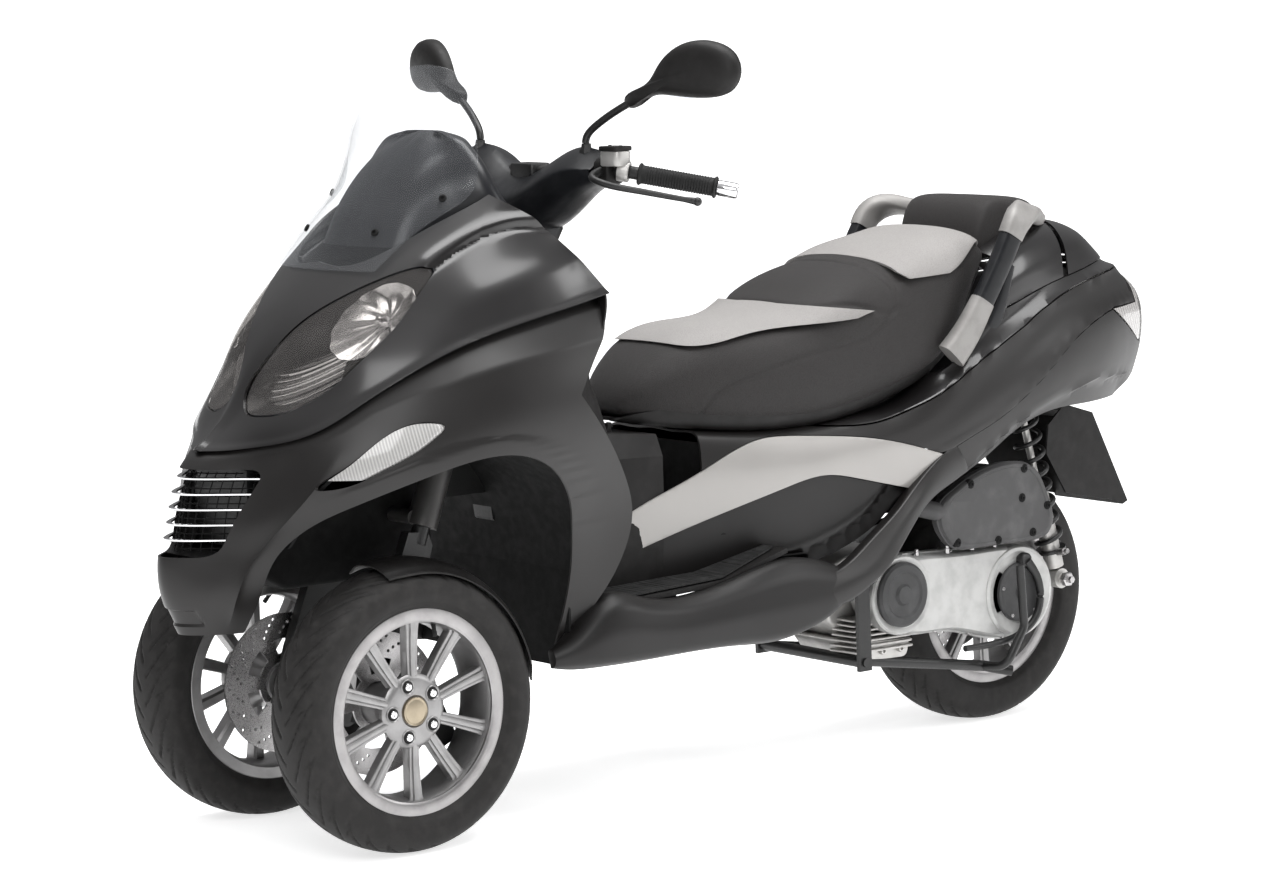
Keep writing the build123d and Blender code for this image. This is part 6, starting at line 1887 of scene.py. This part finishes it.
    def build(self, finishes: Finishes) -> None:
        """Makes everything that turns with the bars."""
        dress(self.shroud(), "handlebar", finishes.semi, ("bar_cover",))
        dress(self.neck(), "handlebar", finishes.semi)
        dress(self.tube(), "handlebar", finishes.frame, ("handlebar",))
        dress(self.boxes(), "handlebar", finishes.black)
        pots, lids = self.reservoirs()
        dress(pots, "handlebar", finishes.cast)
        dress(lids, "handlebar", finishes.black)
        dress(self.grips(), "handlebar", finishes.rubber, ("grips",))
        dress(self.ends(), "handlebar", finishes.chrome)
        dress(self.levers(), "handlebar", finishes.frame)
        heads, faces, stalks = self.mirrors()
        dress(heads, "handlebar", finishes.black, ("mirrors",))
        dress(faces, "handlebar", finishes.mirror, ("mirror_glasses",))
        dress(stalks, "handlebar", finishes.frame)


# ------------------------------------------------------------------------------- drive side
@dataclass
class Drive:
    """Belt case, engine block with its fins, airbox, shock absorbers, silencer and the foot lever."""

    case: tuple = ((1108, 262), (1110, 322), (1150, 346), (1260, 352), (1400, 350), (1470, 346), (1530, 316),
                   (1560, 262), (1536, 204), (1484, 176), (1400, 180), (1300, 204), (1180, 212))
    case_x: tuple = (80.0, 146.0)
    box: tuple = ((1252, 402), (1252, 450), (1340, 494), (1410, 510), (1474, 509), (1513, 487), (1549, 407),
                  (1549, 380), (1528, 355), (1292, 355))
    block: tuple = ((1050, 242), (1050, 343), (1100, 360), (1232, 360), (1232, 172), (1120, 194))
    clutch_at: tuple = (1468, 260)
    ridge_at: tuple = (1172, 286)
    vario_at: tuple = (1168, 288)
    fin_count: int = 7
    fin_low: float = 186.0
    fin_step: float = 9.5
    silencer_from: tuple = (-188, 1330, 290)
    silencer_to: tuple = (-188, 1740, 372)
    coil_radius: float = 25.0
    coil_wire: float = 4.6
    coil_turns: float = 8.5
    shock_x: float = 112.0
    shock_top: tuple = (1500, 640)
    shock_foot: tuple = (1604, 268)
    box_bolts: tuple = ((1296, 372), (1330, 478), (1468, 495), (1528, 420), (1490, 372), (1400, 366), (1462, 440))

    def belt_case(self) -> tuple[bpy.types.Object, bpy.types.Object, bpy.types.Object]:
        """White casting with a rolled edge and two round covers, and the screws along its rim."""
        low, high = self.case_x
        outline = closed_curve(self.case, 120)
        back = prism("back", outline, Facing.SIDE, low, high - 22)
        middle = outline.mean(axis=0)
        rings = []
        for share, x in ((1.0, high - 24), (0.975, high - 10), (0.94, high - 3), (0.90, high), (0.5, high + 1),
                         (0.02, high + 1)):
            ring = middle + (outline - middle) * share
            rings.append(np.concatenate([np.full((len(ring), 1), x), ring], axis=1))
        face = put_grid("face", np.array(rings), wrap_cols=True, caps=True)
        flange = prism("flange", offset_outline(outline, 3.5), Facing.SIDE, high - 34, high - 26)
        lobe = lathe("lobe", [(-30, 88), (-4, 88), (3, 84), (5, 78), (3, 72), (1, 66), (1, 0.02)],
                     (high, *self.clutch_at), (1, 0, 0), 64, closed=False)
        ridge = lathe("ridge", [(-30, 74), (-2, 74), (2, 71), (2, 66), (0, 62), (0, 0.02)], (high, *self.ridge_at),
                      (1, 0, 0), 56, closed=False)
        white = [bevel(back, 2, 2), face, bevel(flange, 1, 2), lobe, ridge]
        cover = lathe("cover", [(0, 56), (6, 56), (9, 53), (9, 46), (7, 43), (7, 14), (10, 12), (10, 0.02)],
                      (high + 1, *self.clutch_at), (1, 0, 0), 56, closed=False)
        vario = lathe("vario", [(0, 60), (8, 60), (12, 55), (12, 44), (9, 40), (9, 20), (14, 16), (14, 0.02)],
                      (high, *self.vario_at), (1, 0, 0), 56, closed=False)
        rim = offset_outline(outline, -2)[::10]
        screws = [bolt("screw", (high - 24, a, z), (1, 0, 0), 5, 7) for a, z in rim]
        t = np.linspace(0, 2 * math.pi, 5, endpoint=False) + 0.4
        aft, z = self.clutch_at
        screws += [bolt("screw", (high + 9, aft + 49 * math.cos(s), z + 49 * math.sin(s)), (1, 0, 0), 3.5, 3)
                   for s in t]
        return (soften(join("belt_case", white), 35), soften(join("case_covers", [cover, vario]), 35),
                soften(join("case_screws", screws), 40))

    def engine(self) -> bpy.types.Object:
        """Cast block: rounded body, cooling fins under the case, sump and the right swing arm."""
        body = bevel(prism("body", self.block, Facing.SIDE, -104, 76), 9, 3)
        pieces = [body]
        for index in range(self.fin_count):
            z = self.fin_low + self.fin_step * index
            outline = [(62, 1062 + 2 * index), (132 - 2 * index, 1074), (134 - 2 * index, 1212), (62, 1226)]
            pieces.append(bevel(prism("fin", rounded(outline, 9, 4), Facing.PLAN, z, z + 4), 1.2, 2))
        sump = prism("sump", rounded([(1080, 206), (1212, 200), (1204, 166), (1110, 168)], 12, 4), Facing.SIDE, -60,
                     122)
        pieces.append(bevel(sump, 6, 3))
        for aft in (1096, 1140, 1184):
            pieces.append(bolt("plug", (122, aft, 184), (1, 0, 0), 7, 9))
        arm = prism("arm", rounded([(1150, 212), (1150, 312), (1240, 316), (1616, 288), (1622, 250), (1480, 222)], 16,
                                   5),
                    Facing.SIDE, -94, -80)
        pieces.append(bevel(arm, 4, 3))
        return soften(join("engine_block", pieces), 35)

    def airbox(self) -> tuple[bpy.types.Object, bpy.types.Object]:
        """Air filter box: rounded lid with a sunk field and a flange, and its dark screws."""
        outline = rounded(self.box, 34, 7)
        middle = outline.mean(axis=0)
        rings = []
        for share, x in ((0.9, 137), (0.985, 138), (0.985, 150), (1.0, 150.5), (1.0, 154), (0.985, 155), (0.97, 162),
                         (0.94, 165), (0.88, 165.5), (0.86, 163.8), (0.5, 164.2), (0.02, 164.4)):
            ring = middle + (outline - middle) * share
            rings.append(np.concatenate([np.full((len(ring), 1), x), ring], axis=1))
        lid = put_grid("lid", np.array(rings), wrap_cols=True, caps=True)
        snout = tube("snout", [(150, 1268, 430), (140, 1230, 440), (118, 1196, 452)], 17, 20, 20)
        screws = []
        for a, z in self.box_bolts:
            screws.append(lathe("boss", [(-6, 9), (2, 8.5), (3, 7), (3, 0.02)], (163, a, z), (1, 0, 0), 16,
                                closed=False))
            screws.append(bolt("screw", (165, a, z), (1, 0, 0), 5, 3.5))
        return soften(join("airbox_lid", [lid, snout]), 35), soften(join("airbox_screws", screws), 40)

    def shocks(self) -> tuple[bpy.types.Object, bpy.types.Object]:
        """Twin shock absorbers: coil springs, and bodies with rods, cups and eyes."""
        springs, bodies = [], []
        for side in (LEFT, RIGHT):
            foot = np.array([side * self.shock_x, *self.shock_foot])
            top = np.array([side * self.shock_x, *self.shock_top])
            axis = (top - foot) / np.linalg.norm(top - foot)
            length = float(np.linalg.norm(top - foot))
            springs.append(helix("spring", foot + 62 * axis, top - 46 * axis, self.coil_radius, self.coil_wire,
                                 self.coil_turns))
            springs += [lathe("ring", [(0, 18), (0, 29), (5, 29), (5, 18)], base, axis, 32)
                        for base in (foot + 56 * axis, top - 46 * axis)]
            bodies.append(lathe("body", [(20, 8), (24, 18), (170, 18), (176, 15), (178, 7), (length - 20, 7)], foot,
                                axis, 28, closed=False))
            bodies.append(lathe("cap", [(length - 56, 12), (length - 52, 26), (length - 30, 27), (length - 22, 16),
                                        (length - 14, 10)],
                                foot, axis, 28, closed=False))
            for eye in (foot, top):
                bodies.append(lathe("eye", [(-14, 9), (-14, 19), (14, 19), (14, 9)], eye, (1, 0, 0), 28))
                bodies.append(bolt("pin", eye + [side * 8, 0, 0], (side, 0, 0), 10, 14))
        return soften(join("shock_springs", springs), 50), soften(join("shock_bodies", bodies), 40)

    def silencer(self) -> tuple[bpy.types.Object, bpy.types.Object]:
        """Silencer with a stepped end cap, an outlet and a heat shield, and its header pipe."""
        start, end = np.array(self.silencer_from, float), np.array(self.silencer_to, float)
        axis, length = (end - start) / np.linalg.norm(end - start), float(np.linalg.norm(end - start))
        profile = [(0, 20), (6, 38), (24, 47), (40, 49), (length - 40, 49), (length - 36, 51), (length - 12, 51),
                   (length - 4, 46), (length, 34), (length - 1, 22), (length + 6, 21), (length + 6, 16),
                   (length - 30, 15)]
        body = lathe("body", profile, start, axis, 48, closed=False)
        header = tube("header", [(-104, 1180, 208), (-150, 1182, 208), (-180, 1226, 236), (-188, 1290, 274),
                                 tuple(start + 8 * axis)],
                      17, 50, 20)
        t = np.linspace(math.radians(110), math.radians(250), 22)
        shares = np.linspace(60, length - 90, 30)
        up = np.array([0, -axis[2], axis[1]])
        ring = 54 * (np.cos(t)[:, None] * np.array([1.0, 0, 0]) + np.sin(t)[:, None] * up)
        grid = start + shares[:, None, None] * axis + ring
        shield = bevel(shell("shield", grid, start + 0.5 * length * axis, 2.5, 1.0), 1, 2)
        return soften(join("silencer_body", [body, header]), 35), soften(shield, 35)

    def lever(self) -> bpy.types.Object:
        """Bent foot lever over the clutch cover, with its pivot."""
        path = smooth_line([(158, 1478, 318), (164, 1496, 292), (166, 1506, 256), (166, 1496, 214), (164, 1462, 186),
                            (160, 1400, 172), (156, 1320, 170)], 50)
        pieces = [sweep("lever", path, np.interp(np.linspace(0, 1, 50), [0, 0.1, 0.6, 1], [10, 8, 6.5, 6]), 16)]
        pieces.append(lathe("hub", [(-10, 14), (6, 14), (9, 11), (9, 0.02)], (154, 1476, 320), (1, 0, 0), 24,
                            closed=False))
        return soften(join("foot_lever", pieces), 45)

    def bungs(self) -> bpy.types.Object:
        """Small silver fittings on top of the case: fillers, clips, unions and the axle nut."""
        spots = ((120, 1182, 352, 7), (128, 1226, 354, 5), (130, 1300, 354, 6), (126, 1366, 354, 8),
                 (132, 1420, 352, 5))
        pieces = [lathe("fitting", [(-6, r), (4, r), (5, 0.8 * r), (9, 0.8 * r), (10, 0.5 * r), (10, 0.02)], (x, a, z),
                        (0, 0, 1), 6, closed=False)
                  for x, a, z, r in spots]
        pieces.append(lathe("nut", [(0, 14), (10, 14), (12, 11), (12, 7), (20, 6.5), (20, 0.02)], (134, 1604, 268),
                            (1, 0, 0), 6, closed=False))
        pieces.append(lathe("union", [(0, 7), (18, 7), (18, 5), (26, 5), (26, 0.02)], (140, 1580, 322), (1, 0, 0.2), 12,
                            closed=False))
        return soften(join("case_fittings", pieces), 35)

    def build(self, finishes: Finishes) -> None:
        """Makes the drive side."""
        case, covers, screws = self.belt_case()
        dress(case, "chassis", finishes.white_cast, ("engine",))
        dress(covers, "chassis", finishes.grey_dark)
        dress(screws, "chassis", finishes.disc)
        dress(self.engine(), "chassis", finishes.cast)
        lid, dark = self.airbox()
        dress(lid, "chassis", finishes.grey, ("airbox",))
        dress(dark, "chassis", finishes.void)
        springs, bodies = self.shocks()
        dress(springs, "chassis", finishes.frame, ("rear_shocks",))
        dress(bodies, "chassis", finishes.cast)
        body, shield = self.silencer()
        dress(body, "chassis", finishes.frame, ("silencer",))
        dress(shield, "chassis", finishes.semi)
        dress(self.lever(), "chassis", finishes.frame)
        dress(self.bungs(), "chassis", finishes.disc)


# ------------------------------------------------------------------------------- floor and wheel arches
@dataclass
class Floor:
    """Sills, floor panels with ribbed mats, and mudguards."""

    sill: tuple = (
        (306, (204, 296), (216, 297), (224, 290), (227, 280), (224, 270), (212, 264)),
        (340, (198, 318), (226, 320), (240, 310), (246, 294), (244, 272), (212, 256)),
        (392, (196, 368), (231, 370), (252, 352), (261, 316), (258, 270), (214, 254)),
        (500, (196, 366), (232, 367), (253, 350), (262, 314), (258, 268), (214, 254)),
        (700, (196, 374), (231, 375), (251, 354), (260, 314), (256, 267), (214, 255)),
        (850, (192, 396), (228, 398), (246, 366), (254, 318), (251, 272), (212, 258)),
        (930, (192, 378), (226, 380), (242, 356), (248, 326), (246, 298), (212, 294)),
        (996, (196, 350), (222, 352), (234, 346), (238, 342), (236, 338), (212, 336)))
    tip_end: float = 330.0
    tip_round: float = 6.0
    sill_round: float = 12.0
    floor_line: tuple = ((398, 362), (690, 376), (836, 418))
    board_run: tuple = (400, 834)
    board_x: tuple = (104, 214)
    mat_stations: tuple = (404, 500, 690, 822)
    mat_inner: tuple = (114, 114, 130, 166)
    mat_outer: tuple = (207, 207, 207, 190)
    guard_crown: float = 250.5
    guard_half: float = 66.0
    guard_wall: float = 3.0

    def sills(self) -> bpy.types.Object:
        """Side mouldings under the floor: rounded rings, cubic along the vehicle."""
        aft = np.array([row[0] for row in self.sill], float)
        rings = []
        for station, *corners in self.sill:
            rings.append(rounded(corners, self.tip_round if station < self.tip_end else self.sill_round, 8))
        where = np.linspace(aft[0], aft[-1], 90)
        flat = spline(aft, np.array(rings), where)
        points = np.stack([flat[..., 0], np.broadcast_to(where[:, None], flat.shape[:2]), flat[..., 1]], axis=-1)
        pieces = [put_grid("sill", points * [side, 1, 1], wrap_cols=True, caps=True) for side in (LEFT, RIGHT)]
        return soften(bevel(join("sill_mouldings", pieces), 3, 2, 60), 40)

    def floor_height(self, aft: Array) -> Array:
        """Height of the floor: level in front, rising towards the tail."""
        return np.interp(aft, *zip(*self.floor_line))

    def boards(self) -> tuple[bpy.types.Object, bpy.types.Object]:
        """Floor panels and the rubber mats on them, with a raised rim and cross ribs."""
        panels, mats = [], []
        for side in (LEFT, RIGHT):
            aft, x = np.meshgrid(np.linspace(*self.board_run, 60), np.linspace(*self.board_x, 12), indexing="ij")
            points = np.stack([side * x, aft, self.floor_height(aft) - 1.5], axis=-1)
            panels.append(shell("panel", points, (side * 160, 600, 200), 9))
            run = np.linspace(self.mat_stations[0], self.mat_stations[-1], 260)
            aft, u = np.meshgrid(run, np.linspace(0, 1, 16), indexing="ij")
            inner, outer = (np.interp(aft, self.mat_stations, edge) for edge in (self.mat_inner, self.mat_outer))
            inside = step(u, 0.03, 0.08) * (1 - step(u, 0.92, 0.97)) * step(aft, 412, 418) * (1 - step(aft, 806, 812))
            rib = 1.5 * (1 - inside) + 1.2 * inside * step(np.sin(aft * 0.55), -0.4, 0.4)
            points = np.stack([side * (inner + (outer - inner) * u), aft, self.floor_height(aft) + 2.5 + rib], axis=-1)
            mats.append(shell("mat", points, (side * 160, 600, 200), 3))
        return soften(join("floor_panels", panels), 35), soften(join("floor_mats", mats), 30)

    def guards(self, side: int) -> bpy.types.Object:
        """Front mudguard: P(a, s) follows the tyre and wraps down beside it, with a rolled edge.

        The section is r = crown - 20 |s|^2.6 over breadth half * s, so that it is flat on top and turns down at its
        edges.
        """
        angle = np.radians(np.linspace(-84, 14, 70))
        s = np.linspace(-1, 1, 31)
        ends = 0.5 * (np.tanh((np.linspace(0, 1, 70) - 0.04) * 30) + np.tanh((0.96 - np.linspace(0, 1, 70)) * 30))
        groove = 1.5 * np.exp(-((np.abs(s) - 0.86) / 0.05) ** 2)[None, :]
        radius = self.guard_crown - 20 * np.abs(s)[None, :] ** 2.6 - groove
        breadth = self.guard_half * s[None, :] * (0.86 + 0.14 * ends[:, None])
        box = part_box(f"mudguard_{'left' if side > 0 else 'right'}")
        centre = np.array([500.0 * (box[0][0] + box[1][0]), 0.0, FRONT_RADIUS])
        aft = -radius * np.sin(angle)[:, None]
        points = np.stack([centre[0] + breadth, centre[1] + aft, centre[2] + radius * np.cos(angle)[:, None]], axis=-1)
        guard = shell("guard", points, centre, self.guard_wall, 0.0)
        return soften(bevel(guard, 0.8, 2, 50), 40)

    def build(self, finishes: Finishes) -> None:
        """Makes the floor and the mudguards."""
        # the sills take the darker satin copy: painted shade
        dress(self.sills(), "chassis", finishes.satin_shaded, ("side_sills",))
        panels, mats = self.boards()
        dress(panels, "chassis", finishes.black, ("footboards",))
        dress(mats, "chassis", finishes.mat)
        for side, word in ((LEFT, "left"), (RIGHT, "right")):
            guard = self.guards(side)
            guard.name = f"guard_skin_{word}"
            dress(guard, f"knuckle_{word}", finishes.black, (f"mudguard_{word}",))


# ------------------------------------------------------------------------------- studio
@dataclass
class Studio:
    """Pale floor, a dome that is brightest overhead, soft boxes, and the camera."""

    camera_at: Colour = (5.4927, -4.5241, 1.4313)
    camera_to: Colour = (0.0, -0.091, 0.611)
    lens: float = 112.6
    roll: float = -1.01
    floor_half: float = 600.0
    floor_tone: float = 0.93
    glow_near: float = 0.7
    glow_far: float = 1.0
    sky: tuple = ((0.0, 0.2), (0.25, 0.24), (0.6, 0.48), (1.0, 0.95))
    sky_strength: float = 0.9
    lamps: tuple = (("overhead", (0.5, 0.2, 4.2), (0, 0, 0.4), (2.4, 4.2), 190),
                    ("front_left", (4.0, -3.6, 3.4), (0, -0.3, 0.6), (2.6, 2.0), 95),
                    ("rear_left", (3.2, 3.8, 2.6), (0, 0.4, 0.6), (1.2, 2.4), 60))

    def camera(self) -> None:
        """Places the camera on its line of sight, turned a little about it."""
        data = bpy.data.cameras.new("camera")
        data.lens, data.sensor_width = self.lens, 36.0
        data.clip_end = 3000.0
        camera = bpy.data.objects.new("camera", data)
        bpy.context.scene.collection.objects.link(camera)
        sight = Vector(self.camera_to) - Vector(self.camera_at)
        camera.location = self.camera_at
        camera.rotation_mode = "QUATERNION"
        camera.rotation_quaternion = sight.to_track_quat("-Z", "Y")
        turn = math.radians(self.roll)
        camera.rotation_quaternion @= type(camera.rotation_quaternion)((0, 0, 1), turn)
        bpy.context.scene.camera = camera

    def floor(self) -> None:
        """A wide matt floor."""
        half = self.floor_half * 1000
        corners = [(-half, -half - AXLE, 0), (half, -half - AXLE, 0), (half, half - AXLE, 0), (-half, half - AXLE, 0)]
        floor = put_mesh("floor", corners, [(0, 1, 2, 3)])
        finish = Shader("floor_white")
        tone = self.floor_tone
        path = finish.node("ShaderNodeLightPath", out="Is Camera Ray")
        glossy = Wire(finish, path.socket.node.outputs["Is Glossy Ray"])
        through = Wire(finish, path.socket.node.outputs["Is Transmission Ray"])
        far = finish.node("ShaderNodeVectorMath", {"operation": "LENGTH"}, {0: finish.place}, "Value")
        seen = (path + glossy + through) * far.ramp(2.6, 9.0, self.glow_near, self.glow_far)
        finish.set(Base_Color=(tone, tone, tone), Roughness=0.7, Specular_IOR_Level=0.1,
                   Emission_Color=(1.0, 1.0, 1.0), Emission_Strength=seen)
        floor.data.materials.append(finish.done())

    def dome(self) -> None:
        """World light: dimmer at the horizon, brightest overhead."""
        world = bpy.data.worlds.new("dome")
        bpy.context.scene.world = world
        world.use_nodes = True
        tree = world.node_tree
        place = tree.nodes.new("ShaderNodeTexCoord")
        split = tree.nodes.new("ShaderNodeSeparateXYZ")
        ramp = tree.nodes.new("ShaderNodeValToRGB")
        for index, (position, tone) in enumerate(self.sky):
            stop = ramp.color_ramp.elements[index] if index < 2 else ramp.color_ramp.elements.new(position)
            stop.position, stop.color = position, (tone, tone, tone * 1.01, 1)
        tree.links.new(place.outputs["Generated"], split.inputs[0])
        tree.links.new(split.outputs[2], ramp.inputs[0])
        back = tree.nodes["Background"]
        tree.links.new(ramp.outputs[0], back.inputs["Color"])
        back.inputs["Strength"].default_value = self.sky_strength
        white = tree.nodes.new("ShaderNodeBackground")
        white.inputs["Strength"].default_value = 1.0
        white.inputs["Color"].default_value = (1, 1, 1, 1)
        path, mix = tree.nodes.new("ShaderNodeLightPath"), tree.nodes.new("ShaderNodeMixShader")
        tree.links.new(path.outputs["Is Camera Ray"], mix.inputs[0])
        tree.links.new(back.outputs[0], mix.inputs[1])
        tree.links.new(white.outputs[0], mix.inputs[2])
        tree.links.new(mix.outputs[0], tree.nodes["World Output"].inputs["Surface"])

    def box(self, name: str, at: Colour, to: Colour, size: tuple[float, float], power: float) -> None:
        """One soft box: a rectangle lamp turned to a point."""
        lamp = bpy.data.lights.new(name, "AREA")
        lamp.shape, lamp.size, lamp.size_y = "RECTANGLE", size[0], size[1]
        lamp.energy = power
        holder = bpy.data.objects.new(name, lamp)
        bpy.context.scene.collection.objects.link(holder)
        holder.location = at
        holder.rotation_mode = "QUATERNION"
        holder.rotation_quaternion = (Vector(to) - Vector(at)).to_track_quat("-Z", "Y")

    def build(self) -> None:
        """Makes the whole studio."""
        self.camera()
        self.floor()
        self.dome()
        for name, at, to, size, power in self.lamps:
            self.box(name, at, to, size, power)
        bpy.context.scene.view_settings.view_transform = "Standard"


# ------------------------------------------------------------------------------- carried-over CAD pieces
def repaint_frame(finishes: Finishes) -> None:
    """Gives each CAD node that still shows its finish."""
    by_finish: tuple[tuple[bpy.types.Material, Sequence[str]], ...] = (
        # the arch liner and the storage tub are painted near-black as shade
        (finishes.void, ("arch_liner", "storage_tub")),
        (finishes.black, ("tunnel", "rear_fender")),
        (finishes.frame, ("frame", "radiator", "centre_stand", "knuckle_left", "knuckle_right")),
        (finishes.arm, ("suspension_arms",)),
    )
    for finish, nodes in by_finish:
        for node in nodes:
            repaint(node, finish)


ASSEMBLIES: tuple = (Wheels, FrontBody, RearBody, Seat, Screen, Bars, Drive, Floor)


def main() -> None:
    logging.basicConfig(level=logging.INFO, format="%(name)s %(message)s")
    Studio().build()
    finishes = Finishes()
    repaint_frame(finishes)
    for assembly in ASSEMBLIES:
        assembly().build(finishes)


if __name__ == "__main__":
    main()
